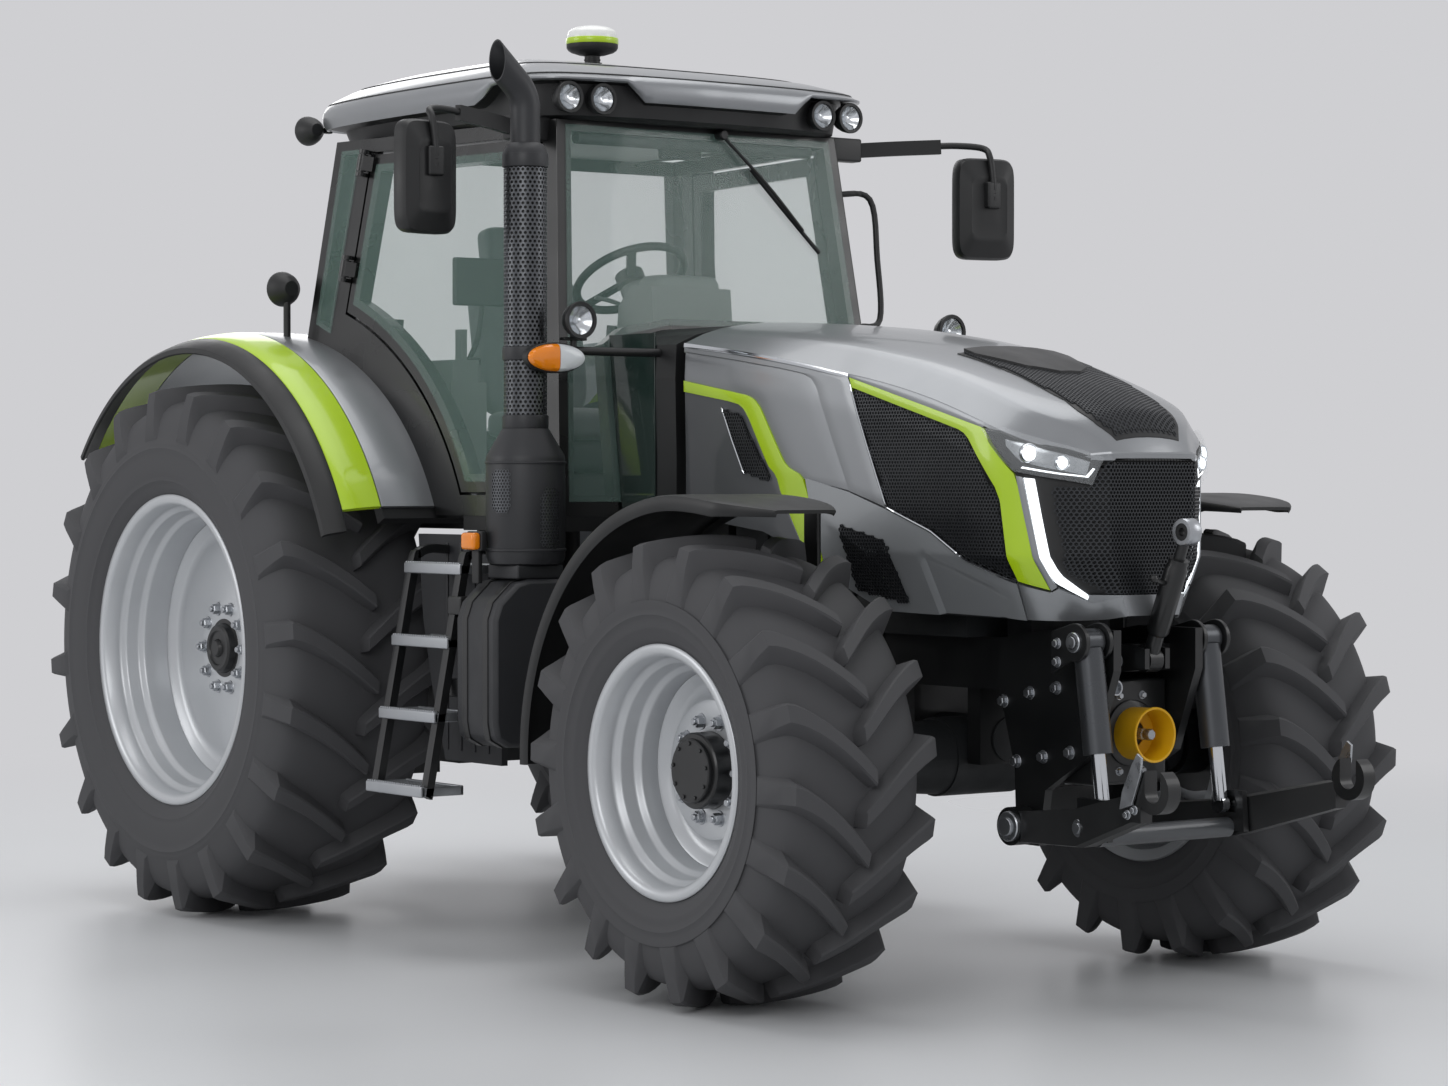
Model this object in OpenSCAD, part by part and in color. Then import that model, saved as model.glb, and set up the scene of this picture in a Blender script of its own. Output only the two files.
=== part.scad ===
// Farm tractor with four driven wheels, a glazed cab, a tilting hood and lifting linkages front and rear.
// Forward is +X, left is +Y, up is +Z. Stations along X are measured from the rear axle and then moved,
// so that the origin lies on the ground under the middle of the machine.

/* [Wheels] */
// Distance from the rear axle to the front axle
wheelbase = 2950; // [2850:10:3050]
// Rear tyre diameter over the lugs
rear_tyre_d = 1920; // [1880:10:1950]
// Rear tyre section width
rear_tyre_w = 650; // [580:10:680]
// Rear rim bead seat diameter
rear_rim_d = 1067; // [1000:1:1100]
// Distance between the rear wheel centres
rear_track = 1970; // [1940:10:2060]
// Front tyre diameter over the lugs
front_tyre_d = 1410; // [1370:10:1430]
// Front tyre section width
front_tyre_w = 550; // [480:10:560]
// Front rim bead seat diameter
front_rim_d = 711; // [660:1:740]
// Distance between the front wheel centres
front_track = 1910; // [1890:10:1960]
// Height of the tread lugs
lug_h = 50; // [35:1:60]

/* [Cab] */
// Height of the underside of the cab floor over the rear axle
floor_z = 440; // [420:5:460]
// Height of the top of the cab frame over the underside of the floor
cab_top_z = 1390; // [1360:5:1440]
// Thickness of the pillars and door frames
pillar_t = 55; // [40:1:65]
// Width of the pillars seen from the side
pillar_w = 70; // [55:1:80]
// Thickness of the glass
glass_t = 6; // [4:0.5:8]
// Height of the roof over the cab frame
roof_h = 285; // [240:5:320]
// Overhang of the roof in front of the windscreen
roof_front = 150; // [120:5:190]

/* [Hood] */
// Half width of the hood at the cab
hood_half_w = 450; // [430:1:460]
// Height of the hood at the cab over the underside of the cab floor
hood_rear_z = 700; // [680:5:720]
// Reach of the nose of the hood ahead of the front axle
hood_nose_x = 840; // [830:1:845]
// Thickness of the hood shell
hood_t = 12; // [8:1:16]

/* [Fenders] */
// Clearance between the rear tyre and its fender
rear_fender_gap = 190; // [170:5:200]
// Thickness of the rear fenders
fender_t = 20; // [14:1:26]
// Clearance between the front tyre and its fender
front_fender_gap = 105; // [95:5:115]
// Thickness of the front fenders
front_fender_t = 14; // [10:1:18]

/* [Linkage] */
// Half distance between the front lower link hooks
front_hook_y = 390; // [370:5:410]
// Half distance between the rear lower link hooks
rear_hook_y = 435; // [420:5:450]
// Radius of the ball seat in the hooks
hook_r = 32; // [28:1:34]
// Radius of the power take-off stubs
pto_r = 17.5; // [15:0.5:22]
// Bore radius of the top link eyes
top_eye_r = 12.7; // [11:0.1:16]
// Radius of the lift cylinder barrels
barrel_r = 44; // [38:1:48]
// Radius of the lift cylinder rods
rod_r = 22; // [18:1:26]
// Bore radius of the drawbar pin hole
drawbar_r = 16.5; // [14:0.5:20]

/* [Hidden] */
$fn = 64;

// Running clearance of a shaft in its bore, and the gap between pieces that only sit on each other
run_gap = 0.05;
seat_gap = 0.3;
// Clearance kept round moving pieces
move_gap = 6;

// Wheel centres
rear_r = rear_tyre_d / 2;
front_r = front_tyre_d / 2;
rear_y = rear_track / 2;
front_y = front_track / 2;

// The ends of the machine along X, and the shift that centres it
rear_hook_x = -1130;
front_hook_x = wheelbase + 1275;
hook_outer_r = hook_r + 33;
mid_x = (front_hook_x + rear_hook_x) / 2;

// Rear fender radius at its outer face
rear_fender_r = rear_r + rear_fender_gap;

// Heights of the cab floor's underside, of the top of the cab frame and of the hood at the cab
deck_z = rear_r + floor_z;
cab_roof_z = deck_z + cab_top_z;
hood_back_z = deck_z + hood_rear_z;
nose_x = wheelbase + hood_nose_x;

// Cab planes: the sides taper forward and lean in, the windscreen leans back, the rear leans forward
cab_side_y = 1073;
cab_taper = 7.8;
cab_lean = 5.5;
screen_foot_x = 1870;
screen_lean = 7.6;
back_foot_x = 10;
back_lean = 6.3;
// Height of the feet of these planes, far below the floor
plane_drop = 1400;
plane_z = deck_z - plane_drop;
// Half width of the cab between the wheel arches, clear of the tyres
arch_gap = 40;
arch_in_y = rear_y - rear_tyre_w / 2 - arch_gap;

// A point of the cab side, given as station and height, in the coordinates of the side plane
function side_uv(x, z) = let (v = (z - plane_z) / cos(cab_lean)) [(x + v * sin(cab_lean)
    * sin(cab_taper)) / cos(cab_taper), v];
function side_points(list) = [for (p = list) side_uv(p[0], p[1])];
// Outer half width of the cab at a station and height
function cab_y(x, z) = cab_side_y - x * tan(cab_taper) - (z - plane_z) * tan(cab_lean) / cos(cab_taper);
// Stations of the windscreen plane, of the door's rear edge and of the rear plane at a height
function screen_x(z) = screen_foot_x - (z - plane_z) * tan(screen_lean);
function hinge_x(z) = 165 + 0.13 * (z - plane_z);
function back_x(z) = back_foot_x + (z - plane_z) * tan(back_lean);
// Heights along the leaning windscreen and the leaning rear
function screen_v(z) = (z - plane_z) / cos(screen_lean);
function back_v(z) = (z - plane_z) / cos(back_lean);
// Points of an arc round the rear axle, as station and height
function wheel_arc(r, a0, a1, n) = [for (i = [0:n]) let (a = a0 + (a1 - a0) * i / n) [r * cos(a),
    rear_r + r * sin(a)]];

// Angle on a circle round the rear axle at which it reaches a height or a station
function arc_at_z(r, z) = asin((z - rear_r) / r);
function arc_at_x(r, x) = acos(x / r);

module left_and_right() {
    children();
    mirror([0, 1, 0]) children();
}

// Puts flat work on the left cab side: X of the drawing runs forward, Y up, and Z points inwards
module on_cab_side(depth = 0) {
    translate([0, cab_side_y, plane_z]) rotate([0, 0, -cab_taper]) rotate([cab_lean, 0, 0]) rotate([90,
        0, 0])
        translate([0, 0, depth]) children();
}

// Puts flat work on the windscreen plane: X of the drawing runs to the left, Y up, and Z points forward
module on_screen(depth = 0) {
    translate([screen_foot_x, 0, plane_z]) rotate([0, -screen_lean, 0]) rotate([90, 0, 90])
        translate([0, 0, depth]) children();
}

// Puts flat work on the rear plane of the cab: X of the drawing runs to the left, Y up, and Z points
// forward
module on_back(depth = 0) {
    translate([back_foot_x, 0, plane_z]) rotate([0, back_lean, 0]) rotate([90, 0, 90])
        translate([0, 0, depth]) children();
}

// A cylinder along Y between two offsets
module bar_y(x, z, r, y0, y1) {
    translate([x, y0, z]) rotate([-90, 0, 0]) cylinder(r = r, h = y1 - y0);
}

// A plate whose outline lies in X and Z, between two offsets along Y
module plate_y(points, y0, y1) {
    translate([0, y1, 0]) rotate([90, 0, 0]) linear_extrude(y1 - y0) polygon(points);
}

module rounded_box(size, r) {
    linear_extrude(size[2]) {
        translate([r, 0]) square([size[0] - 2 * r, size[1]]);
        translate([0, r]) square([size[0], size[1] - 2 * r]);
        for (x = [r, size[0] - r], y = [r, size[1] - r]) translate([x, y]) circle(r);
    }
}

// A round bar between two points
module strut(a, b, r) {
    d = b - a;
    l = norm(d);
    translate(a) rotate([0, acos(d[2] / l), atan2(d[1], d[0])]) cylinder(r = r, h = l);
}

// Tyres and wheels
module wheel_spin() {
    rotate([-90, 0, 0]) rotate_extrude() children();
}

// Share of the tyre width that lies between the rim flanges, on each side of the middle
rim_share = 0.41;
rim_lip = 26;

// Lug sections from the middle of the tread out and down the sidewall: share of the width and depth at
// the top,
// share of the width and extra depth at the foot, share of the turn, and widths at the top and foot
lug_sections = [[-0.03, 2, -0.03, 14, 0.04, 46, 62], [0.12, 0, 0.12, 14, 0.40, 52, 78], [0.34, 9, 0.33,
    26, 0.84, 56, 88],
                [0.468, 28, 0.42, 62, 1, 60, 96], [0.487, 120, 0.455, 110, 1, 60, 84]];
// Lugs on each half of the tread, and the angle that one turns through from the middle to the shoulder
rear_lugs = 20;
rear_lug_turn = 12.5;
front_lugs = 18;
front_lug_turn = 17;
function lug_point(r, w, turn, share, drop, half) =
    let (rr = r - drop, a = turn + half / rr * 180 / PI) [rr * cos(a), share * w, rr * sin(a)];
// Angle of the first lug, at which a corner of its top stands on the ground
function lug_start(r, turn) = -90 - turn * lug_sections[1][4] - lug_sections[1][5] / 2 / r * 180 / PI;

module lug(r, w, turn) {
    points = [for (s = lug_sections) for (c = [-2, -1, 1, 2]) let (foot = abs(c) == 2)
              lug_point(r, w, turn * s[4], foot ? s[2] : s[0], foot ? lug_h + s[3] : s[1],
                        sign(c) * (foot ? s[6] : s[5]) / 2)];
    last = len(points) - 4;
    walls = [for (i = [0:4:last - 4]) for (k = [0:3]) for (t = [[[0, k], [0, k + 1], [4, k + 1]],
                                                               [[0, k], [4, k + 1], [4, k]]])
             [for (q = t) i + q[0] + q[1] % 4]];
    ends = [[2, 1, 0], [3, 2, 0], [last, last + 1, last + 2], [last, last + 2, last + 3]];
    polyhedron(points, concat(walls, ends));
}

module tyre(d, w, rim_d, lugs, turn) {
    r = d / 2;
    bead = rim_d / 2 + seat_gap;
    half_w = rim_share * w;
    base = r - lug_h;
    mid = (bead + base) / 2;
    depth = 0.52 * (base - bead);
    bulge = [for (a = [-45:15:60]) [mid + depth * sin(a), w * 0.40 + w * 0.10 * cos(a)]];
    half = concat([[bead, half_w - 60], [bead, half_w - 2], [bead + rim_lip + 6, half_w + 2]], bulge,
                  [[base - 14, w * 0.40], [base - 4, w * 0.25], [base, w * 0.10]]);
    flip = [for (i = [len(half) - 1:-1:0]) [half[i][0], -half[i][1]]];
    color("#2b2c2e") union() {
        wheel_spin() polygon(concat(half, flip));
        for (i = [0:lugs - 1]) {
            rotate([0, -lug_start(r, turn) - i * 360 / lugs, 0]) lug(r, w, turn);
            rotate([0, -lug_start(r, turn) - (i + 0.5) * 360 / lugs, 0]) mirror([0, 1, 0]) lug(r, w, turn);
        }
    }
}

// Rim: a rolled barrel with flanges, a drop centre and a dished disc
rim_t = 12;
disc_t = 18;
module rim(rim_d, w, disc_y, hole_r) {
    bead = rim_d / 2;
    half_w = rim_share * w;
    wheel_spin() {
        polygon([[bead + rim_lip, half_w + 20], [bead + rim_lip, half_w + 8], [bead, half_w],
            [bead - 4, half_w - 70],
                 [bead - 45, half_w - 120], [bead - 45, 170 - half_w], [bead - 4, 90 - half_w], [bead,
                     -half_w],
                 [bead + rim_lip, -half_w - 8], [bead + rim_lip, -half_w - 20], [bead - rim_t, -half_w - 6],
                 [bead - rim_t - 6, 96 - half_w], [bead - rim_t - 45, 176 - half_w],
                 [bead - rim_t - 45, half_w - 126], [bead - rim_t - 6, half_w - 76], [bead - rim_t,
                     half_w + 6]]);
        polygon([[hole_r, disc_y], [hole_r + 95, disc_y], [bead - 130, disc_y - 45], [bead - 95,
            disc_y - 48],
                 [bead - 56, disc_y - 20], [bead - 46, disc_y - 20], [bead - 46, disc_y - 20 - disc_t],
                 [bead - 60, disc_y - 20 - disc_t], [bead - 99, disc_y - 48 - disc_t],
                 [bead - 134, disc_y - 45 - disc_t], [hole_r + 91, disc_y - disc_t], [hole_r,
                     disc_y - disc_t]]);
    }
}

// Rear wheel: the disc stands proud of the tyre's middle, and the hub runs on the axle shaft
rear_disc_y = 65;
rear_shaft_r = 60;
rear_boss_y = 960 - 985;
module rear_rim() {
    hub_r = 170;
    cap_r = 92;
    color("#c3c5c7") difference() {
        union() {
            rim(rear_rim_d, rear_tyre_w, rear_disc_y, 80);
            bar_y(0, 0, hub_r, rear_disc_y - disc_t - 30, rear_disc_y - disc_t + 1);
            bar_y(0, 0, 112, rear_boss_y, rear_disc_y - disc_t - 29);
            bar_y(0, 0, cap_r, rear_disc_y - disc_t, rear_disc_y + 42);
        }
        bar_y(0, 0, rear_shaft_r + run_gap, rear_boss_y - 1, rear_disc_y + 8);
    }
}

// Front wheel: the hub runs on the knuckle's spindle and its cover stands through the disc
front_disc_y = 60;
spindle_r = 55;
cover_r = 115;
king_in = 215;
king_y = front_y - king_in;
boss_y = 850 - 955;
module front_rim() {
    color("#c3c5c7") rim(front_rim_d, front_tyre_w, front_disc_y, cover_r + seat_gap);
}

module front_hub() {
    flange_r = 165;
    color("#26282a") difference() {
        union() {
            bar_y(0, 0, 105, boss_y, front_disc_y - disc_t - 29);
            bar_y(0, 0, flange_r, front_disc_y - disc_t - 30, front_disc_y - disc_t - seat_gap);
            bar_y(0, 0, cover_r, front_disc_y - disc_t - 1, front_disc_y + 62);
            bar_y(0, 0, cover_r - 18, front_disc_y + 61, front_disc_y + 78);
        }
        bar_y(0, 0, spindle_r + run_gap, boss_y - 1, front_disc_y - disc_t);
    }
}

module at_rear_wheel(side) {
    translate([-mid_x, 0, rear_r]) mirror([0, side < 0 ? 1 : 0, 0]) translate([0, rear_y, 0]) children();
}

module at_front_wheel(side) {
    translate([wheelbase - mid_x, 0, front_r]) mirror([0, side < 0 ? 1 : 0, 0]) translate([0, front_y,
        0]) children();
}

module rear_tyre_right() { at_rear_wheel(-1) tyre(rear_tyre_d, rear_tyre_w, rear_rim_d, rear_lugs,
    rear_lug_turn); }
module rear_tyre_left() { at_rear_wheel(1) tyre(rear_tyre_d, rear_tyre_w, rear_rim_d, rear_lugs,
    rear_lug_turn); }
module front_tyre_right() { at_front_wheel(-1) tyre(front_tyre_d, front_tyre_w, front_rim_d,
    front_lugs, front_lug_turn); }
module front_tyre_left() { at_front_wheel(1) tyre(front_tyre_d, front_tyre_w, front_rim_d, front_lugs,
    front_lug_turn); }
module rear_rim_right() { at_rear_wheel(-1) rear_rim(); }
module rear_rim_left() { at_rear_wheel(1) rear_rim(); }
module front_rim_right() { at_front_wheel(-1) front_rim(); }
module front_rim_left() { at_front_wheel(1) front_rim(); }
module front_hub_right() { at_front_wheel(-1) front_hub(); }
module front_hub_left() { at_front_wheel(1) front_hub(); }

// Everything else is drawn in stations from the rear axle
module at_stations() {
    translate([-mid_x, 0, 0]) children();
}

// Rear axle: trumpet housings with the drive shafts standing out of them
trans_half_w = 230;
module rear_axle() {
    trumpet_end = rear_y + rear_boss_y - 10;
    color("#34373a") at_stations() left_and_right() translate([0, 0, rear_r]) {
        translate([0, trans_half_w + seat_gap, 0]) rotate([-90, 0, 0])
            cylinder(r1 = 185, r2 = 120, h = trumpet_end - 40 - trans_half_w);
        bar_y(0, 0, 160, trumpet_end - 60, trumpet_end);
        bar_y(0, 0, rear_shaft_r, trumpet_end - 1, rear_y + rear_disc_y - 12);
    }
}

// Gearbox and rear housing, with the bores of the rear linkage
trans_front_x = 2029;
trans_rear_x = -350;
trans_z0 = rear_r - 360;
trans_z1 = rear_r + 190;
lift_x = -300;
lift_z = rear_r + 270;
lift_shaft_r = 45;
link_z = rear_r - 400;
link_pin_r = 22;
module transmission() {
    color("#34373a") at_stations() difference() {
        union() {
            translate([trans_rear_x, -trans_half_w, trans_z0])
                cube([trans_front_x - trans_rear_x, 2 * trans_half_w, trans_z1 - trans_z0]);
            translate([trans_rear_x, -trans_half_w, trans_z0 - 80]) cube([650, 2 * trans_half_w, 100]);
            translate([lift_x - 90, -trans_half_w, trans_z1 - 10]) cube([180, 2 * trans_half_w,
                lift_z + 70 - trans_z1]);
            bar_y(lift_x, link_z, link_pin_r, -300, 300);
        }
        bar_y(lift_x, lift_z, lift_shaft_r + run_gap, -trans_half_w - 1, trans_half_w + 1);
    }
}

// Engine block with its sump and the cooling pack ahead of it
engine_half_w = 235;
support_top_z = 1090;
support_rear_x = wheelbase - 230;
module engine() {
    color("#3a3d40") at_stations() {
        translate([trans_front_x + seat_gap, -engine_half_w, support_top_z + seat_gap])
            cube([wheelbase + 259 - trans_front_x, 2 * engine_half_w, 520]);
        translate([trans_front_x + seat_gap, -200, 700]) cube([wheelbase - 341 - trans_front_x, 400, 420]);
        translate([wheelbase + 230, -120, 1300]) cube([110, 240, 240]);
        translate([wheelbase + 320, -300, 1160]) cube([250, 600, 520]);
        translate([wheelbase + 340, -140, support_top_z + seat_gap]) cube([110, 280, 100]);
    }
}

// Front axle support, with the trunnion bearings of the axle and the side plates of the front linkage
trunnion_r = 70;
trunnion_z = 60;
plate_in = 150;
plate_out = 180;
front_pivot_x = wheelbase + 480;
front_pivot_z = 530;
front_pin_r = 25;
lift_top_x = wheelbase + 810;
lift_top_z = 1096;
lift_pin_r = 20;
top_base_x = wheelbase + 820;
top_base_z = 1037;
top_pin_r = 16;
module front_support() {
    leg_x = 130;
    color("#26282a") at_stations() {
        difference() {
            union() {
                translate([support_rear_x, -plate_in - 10, 930])
                    cube([wheelbase + 470 - support_rear_x, 2 * plate_in + 20, support_top_z - 930]);
                for (x = [wheelbase - leg_x - 60, wheelbase + leg_x])
                    translate([x, -120, front_r - 15]) cube([60, 240, 940 - front_r + 15]);
            }
            translate([wheelbase - 300, 0, front_r + trunnion_z]) rotate([0, 90, 0])
                cylinder(r = trunnion_r + run_gap, h = 600);
        }
        left_and_right() {
            translate([wheelbase, 0, 0]) plate_y([[350, 1090], [350, 935], [420, 700], [430, 470],
                [530, 470],
                     [560, 640], [765, 760], [860, 1010], [860, 1130], [610, 1130]], plate_in, plate_out);
            bar_y(front_pivot_x, front_pivot_z, front_pin_r, plate_in, 262);
            bar_y(lift_top_x, lift_top_z, lift_pin_r, plate_in, 302);
            plate_y([[top_base_x - 130, 1000], [top_base_x - 70, 1000], [top_base_x + 35, top_base_z - 25],
                     [top_base_x + 35, top_base_z + 35], [top_base_x - 30, top_base_z + 45],
                         [top_base_x - 130, 1080]], 32, 50);
        }
        translate([top_base_x - 130, -plate_in - 5, 1000]) cube([60, 2 * plate_in + 10, 80]);
        bar_y(top_base_x, top_base_z, top_pin_r, -50, 50);
        translate([front_pivot_x - 40, -plate_in - 5, 560]) cube([60, 2 * plate_in + 10, 80]);
    }
}

// Front axle beam: a centre housing on a trunnion, tapering arms and the forks of the kingpins
king_r = 28;
ear_z0 = 110;
ear_z1 = 150;
module front_axle() {
    color("#26282a") at_stations() translate([wheelbase, 0, front_r]) difference() {
        union() {
            translate([-195, 0, trunnion_z]) rotate([0, 90, 0]) cylinder(r = trunnion_r, h = 390);
            bar_y(0, 0, 124, -150, 150);
            left_and_right() {
                translate([0, 149, 0]) rotate([-90, 0, 0]) cylinder(r1 = 118, r2 = 82, h = king_y - 270);
                translate([-70, king_y - 175, -ear_z1]) cube([140, 75, 2 * ear_z1]);
                for (z = [-ear_z1, ear_z0]) {
                    translate([-58, king_y - 101, z]) cube([116, 101, ear_z1 - ear_z0]);
                    translate([0, king_y, z]) cylinder(r = 58, h = ear_z1 - ear_z0);
                }
            }
        }
        left_and_right() translate([0, king_y, -ear_z1 - 1]) cylinder(r = king_r + run_gap,
            h = 2 * ear_z1 + 2);
    }
}

// Steering knuckle: a body between the fork's ears, the wheel spindle and an arm back to the tie rod
arm_x = -240;
arm_z = -60;
ball_r = 16;
cap_z = ear_z1 + move_gap;
module knuckle() {
    translate([0, king_y, 0]) {
        translate([0, 0, move_gap - ear_z0]) cylinder(r = 84, h = 2 * ear_z0 - 2 * move_gap);
        translate([0, 0, -ear_z1 - 12]) cylinder(r = king_r, h = ear_z1 + 12 + cap_z + 1);
        translate([0, 0, cap_z]) cylinder(r = 52, h = 30);
        bar_y(0, 0, 90, 40, 100);
        bar_y(0, 0, spindle_r, 99, king_in + front_disc_y - disc_t - 4);
        translate([arm_x, -26, arm_z - 16]) cube([-arm_x, 52, 32]);
        translate([arm_x, 0, arm_z - 16]) cylinder(r = 34, h = 32);
        translate([arm_x, 0, arm_z - 55]) cylinder(r = ball_r, h = 50);
    }
}

module knuckle_right() {
    color("#2c2e30") at_stations() translate([wheelbase, 0, front_r]) mirror([0, 1, 0]) knuckle();
}

module knuckle_left() {
    color("#2c2e30") at_stations() translate([wheelbase, 0, front_r]) knuckle();
}

// Tie rod under the knuckle arms
module tie_rod() {
    color("#3c3f42") at_stations() translate([wheelbase + arm_x, 0, front_r + arm_z - 36]) difference() {
        union() {
            bar_y(0, 0, 18, -king_y + 10, king_y - 10);
            left_and_right() translate([0, king_y, -16]) cylinder(r = 34, h = 32);
        }
        left_and_right() translate([0, king_y, -20]) cylinder(r = ball_r + run_gap, h = 40);
    }
}

// Front fender: an arch over the tyre with a flat tongue forward, on a bracket from the knuckle
front_fender_in = 750;
front_fender_out = 1165;
module front_fender() {
    r = front_r + front_fender_gap;
    t = front_fender_t;
    tongue_x = 425;
    arch = [for (a = [180:-5:90]) [(r + t) * cos(a), (r + t) * sin(a)]];
    under = [for (a = [90:5:180]) [r * cos(a), r * sin(a)]];
    outline = concat(arch, [[tongue_x, r + t - 45], [tongue_x, r - 45]], under);
    lip = [for (a = [180:-5:90]) [(r + 1) * cos(a), (r + 1) * sin(a)]];
    lip_in = [for (a = [90:5:180]) [(r - 38) * cos(a), (r - 38) * sin(a)]];
    bar_in = king_y - 118;
    bracket_w = 70;
    difference() {
        union() {
            plate_y(outline, front_fender_in, front_fender_out);
            plate_y(concat(lip, lip_in), front_fender_out - 12, front_fender_out);
        }
        translate([tongue_x - 180, front_fender_in - 1, r - 100]) rotate([0, 0, -14]) translate([0,
            -200, 0])
            cube([400, 200, 200]);
        translate([tongue_x - 150, front_fender_out + 1, r - 100]) rotate([0, 0, 20]) translate([0, -60, 0])
            mirror([0, 1, 0]) translate([0, -300, 0]) cube([400, 240, 200]);
    }
    translate([-bracket_w / 2, bar_in, cap_z + 30 + seat_gap]) cube([bracket_w, king_y + 45 - bar_in, 16]);
    translate([-bracket_w / 2, bar_in, cap_z + 30 + seat_gap]) cube([bracket_w, 16, r - 8 - cap_z - 30]);
    translate([-bracket_w / 2, bar_in, r - 22]) cube([bracket_w, front_fender_out - 60 - bar_in, 16]);
    translate([-bracket_w / 2, front_fender_in + 20, r - 10]) cube([bracket_w, 300, 13]);
}

module front_fender_right() {
    color("#1c1d1f") at_stations() translate([wheelbase, 0, front_r]) mirror([0, 1, 0]) front_fender();
}

module front_fender_left() {
    color("#1c1d1f") at_stations() translate([wheelbase, 0, front_r]) front_fender();
}

// Rear fenders: arches over the wheels with an inner wall that closes the cab
arch_wall = 20;
arch_wall_y = arch_in_y - arch_wall;
fender_out_y = rear_y + 230;
// Angles over the rear axle between which the fender runs, from the front
fender_from = 27;
fender_to = 140;
sill_z = deck_z + 50;
module rear_fenders() {
    r = rear_fender_r;
    t = fender_t;
    out = fender_out_y;
    color("#c8cacb") at_stations() left_and_right() {
        mirror([0, 1, 0]) translate([0, 0, rear_r]) rotate([90, 0, 0]) rotate([0, 0, fender_from])
            rotate_extrude(angle = fender_to - fender_from)
            polygon([[r, arch_wall_y], [r, out - 215], [r - 28, out - 75], [r - 62, out], [r - 62 - t, out],
                     [r - 28 - t, out - 85], [r - t, out - 220], [r - t, arch_in_y], [r - 60, arch_in_y],
                     [r - 60, arch_wall_y]]);
        plate_y(concat(wheel_arc(r - 2, arc_at_z(r - 2, sill_z), 78, 16), [[(r - 2) * cos(78), sill_z]]),
                arch_wall_y, arch_in_y);
    }
}

// Cab floor with the posts of its mounts
module cab_floor() {
    front_x = screen_x(sill_z);
    in_y = arch_wall_y - seat_gap;
    wide_x = rear_fender_r + 30;
    back = back_x(sill_z);
    front_hw = cab_y(front_x, sill_z) - 4;
    wide_hw = cab_y(wide_x, sill_z) - 4;
    color("#3b3d3f") at_stations() {
        translate([0, 0, deck_z]) linear_extrude(sill_z - deck_z - seat_gap)
            polygon([[back, -in_y], [wide_x, -in_y], [wide_x, -wide_hw], [front_x, -front_hw],
                [front_x, front_hw],
                     [wide_x, wide_hw], [wide_x, in_y], [back, in_y]]);
        for (x = [420, 1560], y = [-160, 160])
            translate([x, y, trans_z1 + seat_gap]) cylinder(r = 58, h = deck_z - trans_z1);
    }
}

// Outlines on the cab's planes
door_gap = 10;
sill_h = 70;
door_top_z = cab_roof_z - 50;
door_arc_r = rear_fender_r + 135;
function door_outline(e, n = 18) =
    let (z0 = sill_z + sill_h + e, z1 = door_top_z - e, r = door_arc_r + e,
         a0 = arc_at_z(r, z0), a1 = arc_at_x(r, hinge_edge_x + e))
    concat([[screen_x(z0) - pillar_w - e, z0], [screen_x(z1) - pillar_w - e, z1], [hinge_x(z1) + e, z1]],
           [for (i = [n:-1:0]) let (a = a0 + (a1 - a0) * i / n) [r * cos(a), rear_r + r * sin(a)]]);
quarter_r = rear_fender_r + 75;
function quarter_outline(e) =
    let (z1 = door_top_z - e, xa = 402 - e, xb = 312 + e,
         za = rear_r + sqrt(pow(quarter_r + e, 2) - xa * xa), zb = rear_r + sqrt(pow(quarter_r + e, 2)
             - xb * xb))
    [[hinge_x(za) - 78 - e, za], [hinge_x(z1) - 78 - e, z1], [back_x(z1) + pillar_w + e - 12, z1],
     [back_x(zb) + pillar_w + e - 12, zb]];
function screen_point(y_share, inset, z) = [y_share * (cab_y(screen_x(z), z) - inset), screen_v(z)];
notch_y = hood_half_w + 26;
notch_z = hood_back_z + 10;
function screen_outline(e) =
    let (z0 = sill_z + sill_h + e, z1 = door_top_z + 12 - e, i = pillar_w - 12 + e, y = notch_y + e)
    [screen_point(-1, i, z0), [-y, screen_v(z0)], [-y, screen_v(notch_z - 80)],
     [-y + 90, screen_v(notch_z - 20 + e)], [-200, screen_v(notch_z + 12 + e)],
     [200, screen_v(notch_z + 12 + e)], [y - 90, screen_v(notch_z - 20 + e)],
     [y, screen_v(notch_z - 80)], [y, screen_v(z0)],
     screen_point(1, i, z0), screen_point(1, i, z1), screen_point(-1, i, z1)];
function back_point(y_share, inset, z) = [y_share * (cab_y(back_x(z), z) - inset), back_v(z)];
function back_outline(e) =
    let (z0 = rear_r + rear_fender_r + 55 + e, z1 = door_top_z - e, i = pillar_w + e,
        zl = deck_z + 360 + e, yl = 470 - e)
    [back_point(-1, i, z1), back_point(-1, i, z0), [-yl, back_v(z0)], [-yl, back_v(zl)],
     [yl, back_v(zl)], [yl, back_v(z0)], back_point(1, i, z0), back_point(1, i, z1)];

// Door hinges: pins on the pillar, barrels on the door, all on one leaning axis
hinge_out = 26;
hinge_r = 9;
hinge_back = 10;
hinge_len = 60;
hinge_edge_x = hinge_x(door_arc_r + rear_r - 70);
hinge_z = [rear_r + sqrt(pow(door_arc_r, 2) - pow(hinge_edge_x, 2)) + 130, cab_roof_z - 120];
function hinge_uv(z) = side_uv(hinge_x(z) - hinge_back, z);
hinge_run = hinge_uv(hinge_z[1]) - hinge_uv(hinge_z[0]);
hinge_lean = atan2(hinge_run[0], hinge_run[1]);
module on_hinge(z) {
    p = hinge_uv(z);
    on_cab_side(-hinge_out) translate([p[0], p[1], 0]) rotate([0, 0, -hinge_lean]) rotate([-90, 0, 0])
        children();
}

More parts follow.
